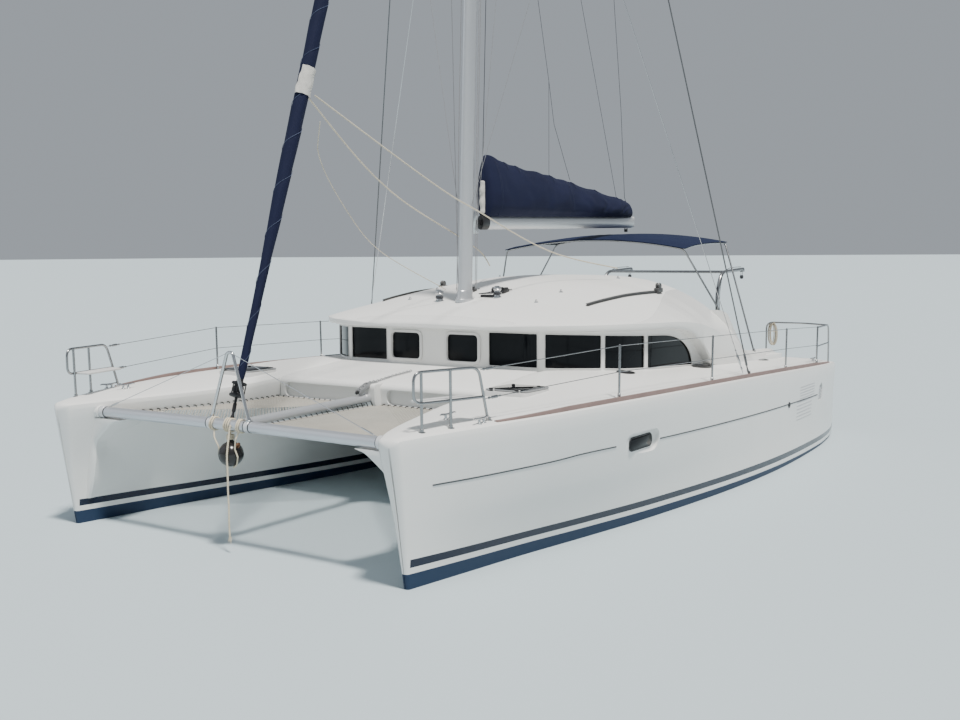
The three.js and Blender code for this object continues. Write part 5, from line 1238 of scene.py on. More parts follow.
panes = []
beads = []
seals = []
for name, start, end, trim, radius in WINDOWS:
    for side in (-1, 1):
        outline = [(side * s, w) for s, w in window_outline(start, end, trim, radius, 0.004)]
        panes.append(bend(sliced(prism("pane", outline, "z", -0.026, -0.018), CUT_STEP)))
        run = [(side * s, w) for s, w in window_outline(start, end, trim, radius)]
        fine_run = []
        for a, b in zip(run, run[1:] + run[:1]):
            parts = max(int(math.dist(a, b) / 0.04), 1)
            fine_run += [(a[0] + (b[0] - a[0]) * k / parts, a[1] + (b[1] - a[1]) * k / parts)
                         for k in range(parts)]
        seals.append(rod("seal", [on_wall(s, w, -0.015) for s, w in fine_run], 0.0065, sides=6, loop=True))
        if name == "hatch":
            grown = [(side * s, w) for s, w in window_outline(start, end, trim, radius, 0.034)]
            lip = [(side * s, w) for s, w in window_outline(start, end, trim, radius, 0.001)]
            ring = prism("raised_frame", grown, "z", -0.004, 0.02, bevel=0.007, segments=3)
            carve(ring, prism("opening", lip, "z", -0.1, 0.1))
            beads.append(bend(sliced(ring, CUT_STEP)))
        else:
            beads.append(rod("bead", [on_wall(s, w, 0.0015) for s, w in fine_run], 0.0055, sides=6,
                             loop=True))
fit(joined("window_panes", panes), smoked_acrylic, "smoked_glass", nodes=("window_glazing",))
fit(joined("window_seals", seals), black_moulding, "black_plastic")
fit(joined("window_frames", beads), paint("frame_white", (0.7, 0.7, 0.69), 0.35), "white_plastic")

# Aft bulkhead, sliding door and coamings: the bulkhead is a gelcoat moulding glassed in under the roof.
# The smoked acrylic door slides on its runner, and the moulded coamings run aft from the roof.


def eased_copy(node, name, bevel, segments=2, limit=40):
    """A copy of a solid with its corners eased."""
    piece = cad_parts[node].copy()
    piece.data = piece.data.copy()
    piece.name = name
    piece.data.name = name
    bpy.context.collection.objects.link(piece)
    face_out(piece)
    bpy.ops.object.mode_set(mode="EDIT")
    bpy.ops.mesh.select_all(action="SELECT")
    bpy.ops.mesh.dissolve_limited(angle_limit=math.radians(1))
    bpy.ops.object.mode_set(mode="OBJECT")
    if bevel:
        shape(piece, "BEVEL", width=bevel, segments=segments, limit_method="ANGLE",
              angle_limit=math.radians(limit), use_clamp_overlap=True)
    return piece


fit(eased_copy("aft_bulkhead", "bulkhead_moulding", 0.004), deck_gelcoat, "gelcoat", nodes=("aft_bulkhead",))
fit(eased_copy("saloon_door", "sliding_door", 0.003), smoked_acrylic, "smoked_glass", "saloon_door",
    nodes=("saloon_door",))

# Columns: x, outboard y, inboard y, top z
COAMING_ROWS = [
    (-1.8003, 2.52, 2.05, 2.16), (-2.05, 2.5, 2.06, 1.96), (-2.35, 2.47, 2.08, 1.72),
    (-2.7, 2.43, 2.09, 1.54), (-3.1, 2.4, 2.09, 1.49), (-4.1, 2.33, 2.05, 1.44),
    (-4.3, 2.28, 2.08, 1.38),
]
coaming_rings = []
for x, out, inner, top in threaded(COAMING_ROWS, 6, span=1):
    half = [
        (out, 1.2), (out - 0.004, 1.38), (out - (out - inner) * 0.34, top - 0.05),
        (out - (out - inner) * 0.55, top), (inner + 0.04, top), (inner, top - 0.04), (inner, 1.2),
    ]
    line = threaded(half, 4, span=2)
    coaming_rings.append([(x, y, z) for y, z in line])
both(skin("coaming", coaming_rings), "cockpit_coaming", deck_gelcoat, "gelcoat", nodes=("coaming",),
     angle=35)

# Deck hatches: a white frame on each side deck and a smoked lid that hinges up at its forward edge.
# The lid turns on two black knuckles beside the frame's ears, and two round latches hold it down.
HATCH_X = 3.2
HATCH_Y = 2.01
HATCH_HALF = 0.262
HATCH_TOP = 1.534
LID_LOW = 1.54
LID_THICK = 0.022
HINGE_X = 3.45
HINGE_Z = 1.558
HINGES = (-0.16, 0.16)


def frame_corners(half, back=0.0, front=0.0):
    """The corners of the hatch's outline, grown or shrunk at its aft and forward edges."""
    x0 = HATCH_X - half - back
    x1 = HATCH_X + half + front
    return [(x0, HATCH_Y - half), (x1, HATCH_Y - half), (x1, HATCH_Y + half), (x0, HATCH_Y + half)]


hatch = prism("hatch", round_outline(frame_corners(HATCH_HALF), 0.05, 6), "z", 1.4, HATCH_TOP, 0.006)
carve(hatch, prism("hole", round_outline(frame_corners(HATCH_HALF - 0.03), 0.035, 6), "z", 1.3, 1.7))
ears = []
for side in HINGES:
    y = HATCH_Y + side + 0.0253
    ears.append(block("ear", HINGE_X - 0.007, HINGE_X + 0.007, y, y + 0.0117, HATCH_TOP - 0.002,
                      HINGE_Z + 0.006, 0.002))
hatch = joined("hatch_frame", [hatch] + ears)
both(hatch, "hatch_coaming", paint("hatch_white", (0.66, 0.66, 0.65), 0.4, grain=0.15), "white_plastic",
     nodes=("hatch_frame",))


def pair_on(piece, stem, finish, slot, body, nodes=()):
    """Fits a piece on the port body and its mirror on the starboard body."""
    twin = mirror(piece, stem + "_starboard")
    piece.name = stem + "_port"
    fit(piece, finish, slot, body + "_port", nodes=[node + "_port" for node in nodes])
    fit(twin, finish, slot, body + "_starboard", nodes=[node + "_starboard" for node in nodes])


lid_corners = frame_corners(HATCH_HALF, front=-0.03)
lid = prism("lid", round_outline(lid_corners, 0.045, 6), "z", LID_LOW, LID_LOW + LID_THICK * 0.55, 0.002)
pair_on(lid, "hatch_rim", paint("rim_grey", (0.42, 0.43, 0.44), 0.4, metal=0.6), "alloy", "hatch_lid",
        nodes=("hatch_lid",))
glass = prism("glass", round_outline(frame_corners(0.232, front=-0.03), 0.03, 6), "z", LID_LOW + 0.004,
              LID_LOW + LID_THICK, 0.003)
pair_on(glass, "hatch_glass", smoked_acrylic, "smoked_glass", "hatch_lid")
fittings = []
for side in HINGES:
    y = HATCH_Y + side
    fittings.append(rod("knuckle", [(HINGE_X, y - 0.0248, HINGE_Z), (HINGE_X, y + 0.0248, HINGE_Z)], 0.0088,
                        sides=16))
    fittings.append(block("arm", HINGE_X - 0.055, HINGE_X, y - 0.022, y + 0.022, HINGE_Z - 0.007,
                          HINGE_Z + 0.003, 0.002))
    fittings.append(turned("latch", (HATCH_X - 0.185, y, LID_LOW + LID_THICK - 0.002),
                           (HATCH_X - 0.185, y, LID_LOW + LID_THICK + 0.007),
                           [(0, 0.02), (0.5, 0.02), (1, 0.014)], 16))
pair_on(joined("hinges", fittings), "hatch_hinges", black_moulding, "black_plastic", "hatch_lid")

# Roof fittings: a sheet track with its car on each side of the roof, and small pad eyes by the mast.
# They are screwed through the roof.
TRACK = [(0.95, 1.62), (-0.8, 1.8)]
PADS = [(1.14, 1.0), (0.52, 1.0), (-1.09, 1.0)]

roof_tree = BVHTree.FromObject(roof, bpy.context.evaluated_depsgraph_get())


def roof_z(x, y):
    """How high the roof is."""
    return roof_tree.ray_cast(Vector((x, y, 4)), Vector((0, 0, -1)))[0].z


track_rings = []
(start_x, start_y), (end_x, end_y) = TRACK
for i in range(33):
    x = start_x + (end_x - start_x) * i / 32
    y = start_y + (end_y - start_y) * i / 32
    lift = roof_z(x, y) - 0.004
    lean = (roof_z(x, y + 0.02) - roof_z(x, y - 0.02)) / 0.04
    flank = [(0.016, 0), (0.016, 0.014), (0.008, 0.016), (0.008, 0.026), (0.016, 0.028), (0.016, 0.036)]
    section = [(-a, c) for a, c in flank] + flank[::-1]
    track_rings.append([(x, y + a, lift + lean * a + c) for a, c in section])
sheet_track = skin("track", track_rings)
end_lift = roof_z(end_x + 0.06, end_y)
y = end_y
car = block("car", end_x, end_x + 0.15, y - 0.036, y + 0.036, end_lift + 0.012, end_lift + 0.075,
            0.012, 3)
cheek = turned("sheave", (end_x + 0.075, y - 0.03, end_lift + 0.1),
               (end_x + 0.075, y + 0.03, end_lift + 0.1),
               [(0, 0.038), (0.25, 0.044), (0.5, 0.03), (0.75, 0.044), (1, 0.038)], 24)
track_grey = paint("track_grey", (0.1, 0.1, 0.1), 0.45, metal=0.5, drift=0.2, drift_size=20)
both(joined("sheet_track", [sheet_track, car, cheek]), "sheet_track", track_grey, "alloy")

fittings = []
for x, y in PADS:
    z = roof_z(x, y)
    fittings.append(turned("pad", (x, y, z - 0.006), (x, y, z + 0.008), [(0, 0.03), (0.7, 0.03), (1, 0.02)],
                           16))
    bow = [(x - 0.02 * math.cos(a), y, z + 0.004 + 0.03 * math.sin(a))
           for a in [math.pi * k / 8 for k in range(9)]]
    fittings.append(rod("eye", bow, 0.005, sides=8))
both(joined("roof_steel", fittings), "roof_steel", stainless, "steel")

# Mast: an oval anodised tube stepped on the roof in a cast shoe, with the sail's track down its aft side.
# At its foot stand winches and clutches, and the halyards come down its sides to them.
MAST_X = 1.28
MAST_FOOT = 2.372
MAST_TOP = 16.9
MAST_FORE = 0.12
MAST_SIDE = 0.074
MAST_RAKE = 0.045


def mast_x(z):
    """The mast leans aft a little."""
    return MAST_X - (z - MAST_FOOT) * MAST_RAKE


def mast_ring(z, grow=1.0, sides=40):
    """One cross section of the mast."""
    ring = []
    for k in range(sides):
        angle = 2 * math.pi * k / sides
        wide = MAST_SIDE * grow * math.sin(angle) * (1 if math.cos(angle) > -0.01 else 1.06)
        ring.append((mast_x(z) + MAST_FORE * grow * math.cos(angle), wide, z))
    return ring


levels = [2.35, 2.6, 3.4, 5.0, 8.0, 11.0, 13.0, 15.2, 15.9, 16.5, 16.86, 16.9]
growths = [1, 1, 1, 1, 1, 1, 1, 1, 0.92, 0.8, 0.72, 0.66]
mast_tube = skin("tube", [mast_ring(z, grow) for z, grow in zip(levels, growths)])
shoe = skin("shoe", [mast_ring(z, grow) for z, grow in ((2.352, 1.35), (2.392, 1.35), (2.4, 1.22),
                                                        (2.44, 1.1), (2.5, 1.08), (2.51, 1.0))])
crane = block("crane", mast_x(MAST_TOP) - 0.5, mast_x(MAST_TOP) + 0.12, -0.028, 0.028, MAST_TOP - 0.06,
              MAST_TOP, 0.006)
track = []
for k in range(12):
    z0 = 3.55 + 1.04 * k
    back = mast_x(z0) - MAST_FORE
    track.append(block("track", back - 0.02, back + 0.012, -0.016, 0.016, z0, z0 + 1.06, 0.003))
    for point in track[-1].data.vertices:
        point.co.x -= (point.co.z - z0) * MAST_RAKE
mast_alloy = brushed_alloy("mast_alloy", (0.66, 0.67, 0.69), 0.36, (1, 1, 0.02))
fit(joined("mast_tube", [mast_tube, shoe, crane] + track), mast_alloy, "alloy", nodes=("mast",))

# Spreaders: a swept tapered alloy arm on each side, held by a band round the mast.
# The cap shrouds bear on their ends.
SPREADER_Z = 8.24
SPREADER_TIP = (0.253, 1.822, 8.3)
arms = []
for side in (-1, 1):
    root = Vector((mast_x(SPREADER_Z), side * 0.06, SPREADER_Z))
    tip = Vector((SPREADER_TIP[0], side * SPREADER_TIP[1], SPREADER_TIP[2]))
    arms.append(turned("arm", root, root.lerp(tip, 0.995),
                       [(0, 0.04), (0.06, 0.036), (0.9, 0.022), (0.985, 0.022), (1, 0.012)], 20))
band = skin("band", [mast_ring(SPREADER_Z + lift, grow) for lift, grow in (
    (-0.045, 1.01), (-0.043, 1.1), (-0.036, 1.14), (0.036, 1.14), (0.043, 1.1), (0.045, 1.01))])
fit(joined("spreader_arms", arms + [band]), mast_alloy, "alloy", nodes=("spreaders",))

# Shrouds: the wires that hold the mast from the sides, each from a deck plate and a turnbuckle.
# The cap shroud goes over the spreader's end, and a lighter lower one goes straight to the mast.
CHAINPLATE = (-0.56, 3.16, 1.382)
SHROUD_TOP = (0.745, 0.07, 13.85)
LOWER_TOP = (0.86, 0.075, 11.6)
LOWER_FOOT = (-0.42, 3.13, 1.44)


def wire(points, radius, sides=8):
    """A taut wire through its points."""
    return rod("wire", points, radius, sides)


def turnbuckle(foot, head, start, end):
    """The screw that tightens a wire, between two distances up it."""
    a = Vector(foot)
    course = (Vector(head) - a).normalized()
    return turned("turnbuckle", a + course * start, a + course * end, [
        (0, 0.006), (0.04, 0.013), (0.12, 0.013), (0.16, 0.008), (0.26, 0.008), (0.3, 0.015), (0.7, 0.015),
        (0.74, 0.008), (0.9, 0.008), (0.92, 0.011), (1, 0.008),
    ], 14)


parts = [
    wire([CHAINPLATE, SPREADER_TIP, SHROUD_TOP], 0.0088),
    turnbuckle(CHAINPLATE, SPREADER_TIP, 0.055, 0.4),
    block("tang", CHAINPLATE[0] - 0.03, CHAINPLATE[0] + 0.03, CHAINPLATE[1] - 0.005, CHAINPLATE[1] + 0.005,
          CHAINPLATE[2] - 0.01, CHAINPLATE[2] + 0.075, 0.002),
    turned("clevis", (CHAINPLATE[0], CHAINPLATE[1] - 0.014, CHAINPLATE[2] + 0.055),
           (CHAINPLATE[0], CHAINPLATE[1] + 0.014, CHAINPLATE[2] + 0.055), [(0, 0.009), (1, 0.009)], 12),
]
steel_wire = paint("steel_wire", (0.16, 0.165, 0.17), 0.42, metal=0.8, drift=0.2, drift_size=30, grain=0.4,
                   grain_size=500)
both(joined("cap_shroud", parts), "cap_shroud", steel_wire, "steel", nodes=("shroud",))
parts = [
    wire([LOWER_FOOT, LOWER_TOP], 0.0045),
    turnbuckle(LOWER_FOOT, LOWER_TOP, 0.04, 0.32),
]
both(joined("lower_shroud", parts), "lower_shroud", stainless, "steel")

# Forestay, furler drum and furled headsail: the sail is rolled up on the stay in its navy sun cover, and the
# edge of the roll winds up it. The black drum at its foot turns it, and two cream sheets hold its clew.
STAY_FOOT = Vector((5.395, 0, 1.345))
STAY_TOP = Vector((0.805, 0, 15.0))
GENOA_ROWS = [
    (1.73, 0.035), (1.8, 0.04), (2.1, 0.042), (2.9, 0.05), (3.5, 0.066), (4.2, 0.074), (6.2, 0.074),
    (9.5, 0.06), (14.1, 0.032), (14.25, 0.02),
]
WRAP_PITCH = 0.46
WRAP_LIP = 0.09
GENOA_STEPS = 350


def stay(z):
    """The place on the forestay at a height."""
    share = (z - STAY_FOOT.z) / (STAY_TOP.z - STAY_FOOT.z)
    return STAY_FOOT.lerp(STAY_TOP, share)


rings = []
for i in range(GENOA_STEPS + 1):
    z = 1.73 + (14.25 - 1.73) * i / GENOA_STEPS
    radius = along(GENOA_ROWS, 1, z)
    centre = stay(z)
    ring = []
    for k in range(36):
        angle = 2 * math.pi * k / 36
        wound = (k / 36 - z / WRAP_PITCH) % 1
        ripple = 0.02 * math.sin(5 * angle + z * 3.1) + 0.015 * math.sin(3 * angle - z * 7.3)
        r = radius * (0.95 + WRAP_LIP * (1 - wound) * (1 if wound > 0.02 else 0.3) + ripple)
        ring.append((centre.x + r * math.cos(angle), r * math.sin(angle), z + 0.34 * r * math.cos(angle)))
    rings.append(ring)


def woven_cloth(name, colour, fade, rough=0.82):
    """Woven acrylic cloth: a fine over-and-under weave, slow fading, and a soft sheen."""
    finish = paint(name, colour, rough, drift=fade, drift_size=1.8, gloss_drift=0.05)
    nodes = finish.node_tree.nodes
    where = nodes["Texture Coordinate"].outputs["Object"]
    ribs = [shader(finish, "TexWave", {"Scale": 160, "Distortion": 0.6, "Vector": where}, wave_type="BANDS",
                   bands_direction=way)["Fac"] for way in ("X", "Z")]
    weave = shader(finish, "Math", {0: ribs[0], 1: ribs[1]}, operation="MAXIMUM")
    creases = shader(finish, "TexNoise", {"Scale": 9, "Detail": 6, "Vector": where})
    low = shader(finish, "Bump", {"Strength": 0.25, "Distance": 0.012, "Height": creases["Fac"]})
    high = shader(finish, "Bump", {"Strength": 0.35, "Distance": 0.0008, "Height": weave["Value"],
                                   "Normal": low["Normal"]})
    feed(nodes["Principled BSDF"], {"Specular IOR Level": 0.22, "Normal": high["Normal"]})
    return finish


navy_cloth = woven_cloth("navy_cloth", (0.0075, 0.0105, 0.036), 0.35)
fit(skin("furled_headsail", rings), navy_cloth, "navy_canvas", nodes=("furled_genoa",), angle=50)
fit(wire([stay(14.2), stay(14.92)], 0.011, 12), stainless, "steel")
bpy.context.object.name = "forestay_head"

seam = []
for i in range(900):
    z = 1.85 + 12.2 * i / 900
    angle = 2 * math.pi * z / WRAP_PITCH
    r = along(GENOA_ROWS, 1, z) * (0.95 + WRAP_LIP) + 0.0012
    centre = stay(z)
    seam.append((centre.x + r * math.cos(angle), r * math.sin(angle), z + 0.34 * r * math.cos(angle)))
fit(rod("headsail_seam", seam, 0.0022, sides=4),
    paint("seam_thread", (0.085, 0.11, 0.19), 0.8, drift=0.5, drift_size=6), "rope")

patch_rings = []
for i in range(13):
    z = 4.66 + 0.3 * i / 12
    centre = stay(z)
    r = along(GENOA_ROWS, 1, z) * 1.1 + 0.004
    ends = (-0.25 + 0.5 * i / 12, 2.5 - 0.3 * math.sin(i))
    arc = []
    for k in range(15):
        angle = ends[0] + (ends[1] - ends[0]) * k / 14
        bulge = r + 0.005 * math.sin(9 * angle + i)
        arc.append((centre.x + bulge * math.cos(angle), bulge * math.sin(angle),
                    z + 0.34 * bulge * math.cos(angle)))
    patch_rings.append(arc)
patch = skin("clew_patch", patch_rings, ends=False, loop=False)
shape(patch, "SOLIDIFY", thickness=0.003, offset=1)
sail_white = paint("sail_white", (0.62, 0.6, 0.56), 0.85, drift=0.35, drift_size=14, grain=0.4,
                   grain_size=80)
fit(patch, sail_white, "rope", angle=60)

axis = (STAY_TOP - STAY_FOOT).normalized()
drum = turned("drum", stay(1.545), stay(1.735), [
    (0, 0.022), (0.05, 0.072), (0.1, 0.079), (0.17, 0.079), (0.2, 0.072), (0.24, 0.048), (0.3, 0.042),
    (0.58, 0.042), (0.64, 0.048), (0.68, 0.071), (0.71, 0.078), (0.77, 0.078), (0.81, 0.07), (0.84, 0.036),
    (1, 0.034),
], 36)
parts = [drum]
side_way = axis.cross(Vector((0, 1, 0))).normalized()
for turn_number in range(5):
    centre = stay(1.605 + 0.012 * turn_number)
    wide = 0.048 + 0.004 * (turn_number % 2)
    loop = [centre + (side_way * math.cos(a) + Vector((0, 1, 0)) * math.sin(a)) * wide for a in around(24)]
    parts.append(rod("coil", loop, 0.0065, sides=8, loop=True))
parts.append(turned("toggle", STAY_FOOT - Vector((0, 0, 0.012)), stay(1.55), [
    (0, 0.02), (0.1, 0.022), (0.2, 0.014), (0.32, 0.012), (0.36, 0.02), (0.7, 0.02), (0.76, 0.013),
    (1, 0.016),
], 16))
for k in range(3):
    angle = 2 * math.pi * k / 3 + 0.4
    out = (side_way * math.cos(angle) + Vector((0, 1, 0)) * math.sin(angle)) * 0.074
    parts.append(rod("guard", [stay(1.56) + out, stay(1.68) + out], 0.006, sides=8))
fit(joined("furling_drum", parts), black_moulding, "black_plastic", nodes=("furler_drum",))

# Gooseneck and boom: a forked bracket on the mast's aft side holds the boom's toe on an upright pin.
# The boom is an oval alloy tube with a black casting at its front end and a white cap at its aft end.
PIVOT = Vector((1.0, 0, 3.385))
BOOM_RISE = 0.02
BOOM_BACK = -3.48
BOOM_HIGH = 0.093
BOOM_WIDE = 0.06
FORK = [(1.125, 3.235), (1.12, 3.535), (0.985, 3.524), (0.982, 3.431), (1.028, 3.431), (1.028, 3.339),
        (0.982, 3.339), (0.985, 3.246)]

fork = prism("fork", FORK, "y", -0.022, 0.022, 0.004)
pin = turned("pin", (PIVOT.x, 0, 3.222), (PIVOT.x, 0, 3.548),
             [(0, 0.016), (0.035, 0.016), (0.04, 0.01), (0.96, 0.01), (0.965, 0.016), (1, 0.016)], 20)
fit(joined("gooseneck_fork", [fork, pin]), stainless, "alloy", nodes=("gooseneck",))


def boom_z(x):
    """The boom rises a little towards its aft end."""
    return PIVOT.z + (PIVOT.x - x) * BOOM_RISE


def boom_ring(x, grow=1.0):
    """One cross section of the boom."""
    return [(x, BOOM_WIDE * grow * math.sin(a), boom_z(x) + BOOM_HIGH * grow * math.cos(a))
            for a in around(36)]


boom_alloy = brushed_alloy("boom_alloy", (0.64, 0.65, 0.66), 0.4, (0.02, 1, 1))
spar = skin("spar", [boom_ring(x) for x in (0.895, 0, -1.7, BOOM_BACK)])
fit(spar, boom_alloy, "alloy", "boom", nodes=("boom",))
spar.name = "boom_spar"
casting = skin("casting", [boom_ring(x, grow) for x, grow in
                           ((0.76, 1.0), (0.763, 1.03), (0.895, 1.03), (0.912, 0.98), (0.916, 0.9))])
toe = block("toe", 0.89, 0.998, -0.018, 0.018, 3.35, 3.42, 0.003)
eye = turned("eye", (PIVOT.x, 0, 3.349), (PIVOT.x, 0, 3.421),
             [(0, 0.02), (0.05, 0.022), (0.95, 0.022), (1, 0.02)], 32)
carve(toe, eye, "UNION")
carve(toe, rod("bore", [(PIVOT.x, 0, 3.2), (PIVOT.x, 0, 3.6)], 0.0105, sides=32))
sheave = turned("sheave", (-3.3, -0.014, 3.335), (-3.3, 0.014, 3.335),
                [(0, 0.024), (0.5, 0.018), (1, 0.024)], 20)
cheeks = [block("cheek", -3.322, -3.278, side * 0.019 - 0.003, side * 0.019 + 0.003, 3.314, 3.372, 0.003)
          for side in (-1, 1)]
fit(joined("boom_fittings", [casting, toe, sheave] + cheeks), black_moulding, "black_plastic", "boom")
cap_white = paint("cap_white", (0.66, 0.66, 0.65), 0.45, drift=0.15, drift_size=9, grain=0.2)
fit(block("boom_end_cap", -3.51, -3.474, -0.05, 0.05, 3.395, 3.56, 0.014, 3), cap_white, "alloy", "boom")

# Sail bag: a navy canvas cover with the folded mainsail in it, lying along the boom and closed over the top.
# It sags between the lines that hold it up and is sewn of three panels. The sail's pale luff shows in front.
# Columns: x, top z, half width at the boom, half width at its fullest
BAG_ROWS = [
    (-3.4, 3.77, 0.04, 0.07), (-3.0, 3.84, 0.075, 0.14), (-1.9, 3.97, 0.085, 0.18),
    (-0.7, 4.1, 0.09, 0.2), (0.3, 4.19, 0.085, 0.19), (0.8, 4.28, 0.07, 0.13),
    (0.845, 4.18, 0.04, 0.06),
]
BAG_LIFT = 0.078
BAG_TIES = [0.61, 0.35, 0.06, -0.5, -0.86, -1.28, -1.49, -2.22, -2.96, -3.11, -3.25]
BAG_SEAMS = [0.616, -1.282]


def bag_ring(x, grow=0.0):
    """One cross section of the bag, with the folds of its cloth."""
    top, low, full = [along(BAG_ROWS, column, x) for column in (1, 2, 3)]
    foot = boom_z(x) + BAG_LIFT
    top -= 0.02 * ease(min(abs(x - tie) for tie in BAG_TIES), 0.0, 0.3)
    profile = [(low, 0), (full * 0.92, 0.16), (full, 0.36), (full * 0.82, 0.62), (full * 0.45, 0.86),
               (0.014, 1)]
    line = threaded(profile, 4)
    ends = ease(0.8 - x, 0, 0.4) * ease(x + 3.4, 0, 0.3)
    slack = ease(-x, 1.6, 3.0)
    ring = []
    for side in (1, -1):
        run = []
        for wide, share in line:
            swell = math.sin(math.pi * min(max(share, 0), 1)) * ends
            drape = x + 0.09 * math.sin(5.1 * share + 3 * x) + 0.05 * math.sin(11 * x + side)
            fold = (0.009 * math.sin(7.3 * drape + 4 * share + side)
                    + 0.004 * math.sin(15 * drape - 6 * share + 2 * side))
            fold += ((0.0015 + 0.01 * slack) * math.sin(23 * (drape + 0.55 * share) + side)
                     * (0.6 + 0.4 * math.sin(5.3 * x)))
            run.append((x, side * (wide + swell * fold + grow), foot + (top - foot) * share + grow * share))
        ring += run if side == 1 else run[::-1]
    return ring


bag = skin("sail_bag_cover", [bag_ring(-3.4 + 4.245 * i / 260) for i in range(261)])
fit(bag, navy_cloth, "navy_canvas", "boom", nodes=("sail_bag",), angle=60)
seams = []
for x in BAG_SEAMS:
    for shift in (-0.012, 0.012):
        seams.append(rod("seam", bag_ring(x + shift, 0.0015), 0.0022, sides=4))
ridge = [(x, 0.0, along(BAG_ROWS, 1, x) - 0.02 * ease(min(abs(x - tie) for tie in BAG_TIES), 0, 0.3) + 0.004)
         for x in [-3.38 + 4.2 * i / 120 for i in range(121)]]
seams.append(rod("zip", ridge, 0.006, sides=6))
seam_navy = paint("seam_navy", (0.016, 0.022, 0.06), 0.8, drift=0.4, drift_size=30)
fit(joined("sail_bag_seams", seams), seam_navy, "rope", "boom")
luff = skin("luff", [[(x + 0.016 * math.sin(40 * z) * rim, wide * rim, z) for x, wide, rim in (
    (0.9, 0.0, 1), (0.88, 0.03, 1), (0.835, 0.04, 1), (0.79, 0.03, 1), (0.78, 0.0, 1), (0.79, -0.03, 1),
    (0.835, -0.04, 1), (0.88, -0.03, 1))] for z in [3.5 + 0.04 * i for i in range(12)]])
shape(luff, "SUBSURF", levels=1, render_levels=1)
fit(luff, sail_white, "rope", "boom", angle=60)
luff.name = "sail_luff"

# Running rigging round the mast: lines that hold the bag up, the lift to the boom's end, and halyards.
# All are thin dark or grey braided lines pulled taut.
line_dark = paint("line_dark", (0.035, 0.037, 0.045), 0.8, drift=0.3, drift_size=30, grain=0.4,
                  grain_size=900)
LAZY_KNOT = (-0.859, 0, 5.43)
# Columns: radius, then the points from the boom upwards
LIFTS = [
    (0.0035, [(-1.471, 0, 4.05), (-1.004, 0, 4.834), LAZY_KNOT, (-0.565, 0, 6.503), (0.68, 0, 12.4)]),
    (0.003, [(-0.86, 0, 4.08), LAZY_KNOT]),
    (0.0035, [(-2.96, 0, 3.84), (-1.795, 0, 6.718), (0.68, 0, 12.45)]),
    (0.004, [(-3.495, 0, 3.56), (-3.243, 0, 3.857), (-3.105, 0, 5.24), (-2.848, 0, 6.9), (-2.2, 0, 9.6),
              (-1.0, 0, 13.2), (0.14, 0, 16.83)]),
    (0.005, [(0.84, 0, 4.22), (0.36, 0, 14.6), (0.2, 0, 16.83)]),
]
lifts = {"boom_lift_lines": [], "boom_topping_lift": []}
for radius, route in LIFTS:
    fine = []
    for a, b in zip(route, route[1:]):
        parts = max(int(math.dist(a, b) / 0.25), 1)
        fine += [Vector(a).lerp(Vector(b), k / parts) for k in range(parts)]
    group = "boom_topping_lift" if route[-1][2] > 15 else "boom_lift_lines"
    lifts[group].append(rod("lift", fine + [Vector(route[-1])], radius, sides=6))
for group, low, high in (("boom_lift_lines", 8.0, 12.5), ("boom_topping_lift", 12.0, 16.8)):
    lines = fit(joined(group, lifts[group]), line_dark, "rope", body=None)
    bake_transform(lines)
ties = []
for x in (0.35, 0.06, -0.86, -1.49, -2.22, -2.96, -3.11, -3.25):
    top = along(BAG_ROWS, 1, x)
    half = along(BAG_ROWS, 3, x) * 0.5
    arc = [(x, -half, top - 0.075), (x, -half * 0.6, top - 0.016), (x, 0, top + 0.012),
           (x, half * 0.6, top - 0.016), (x, half, top - 0.075)]
    ties.append(rod("tie", threaded(arc, 4), 0.005, sides=6))
fit(joined("sail_bag_ties", ties), seam_navy, "rope", "boom")

# Columns: radius, then the points
HALYARDS = [
    (0.0035, [(1.225, 0.08, 3.6), (0.505, 1.241, 8.215)]),
    (0.0035, [(1.105, 0.075, 3.3), (0.848, 0.448, 8.19)]),
    (0.0035, [(1.3, -0.08, 3.6), (0.436, -1.399, 8.22)]),
    (0.004, [(1.385, -0.03, 2.6), (0.81, -0.536, 8.19)]),
    (0.005, [(1.13, 0.086, 2.52), (1.06, 0.084, 4.6), (0.86, 0.08, 9.0), (0.6, 0.07, 15.0)]),
    (0.005, [(1.175, 0.094, 2.52), (1.105, 0.09, 4.6), (0.9, 0.086, 9.0)]),
    (0.005, [(1.345, -0.078, 2.5), (1.265, -0.08, 4.6), (1.06, -0.082, 8.9)]),
]
ropes = [rod("halyard", [Vector(point) for point in route], radius, sides=6) for radius, route in HALYARDS]
line_grey_braid = paint("line_grey_braid", (0.28, 0.28, 0.29), 0.8, drift=0.4, drift_size=40, grain=0.4,
                        grain_size=900)
fit(joined("halyards", ropes), line_grey_braid, "rope")

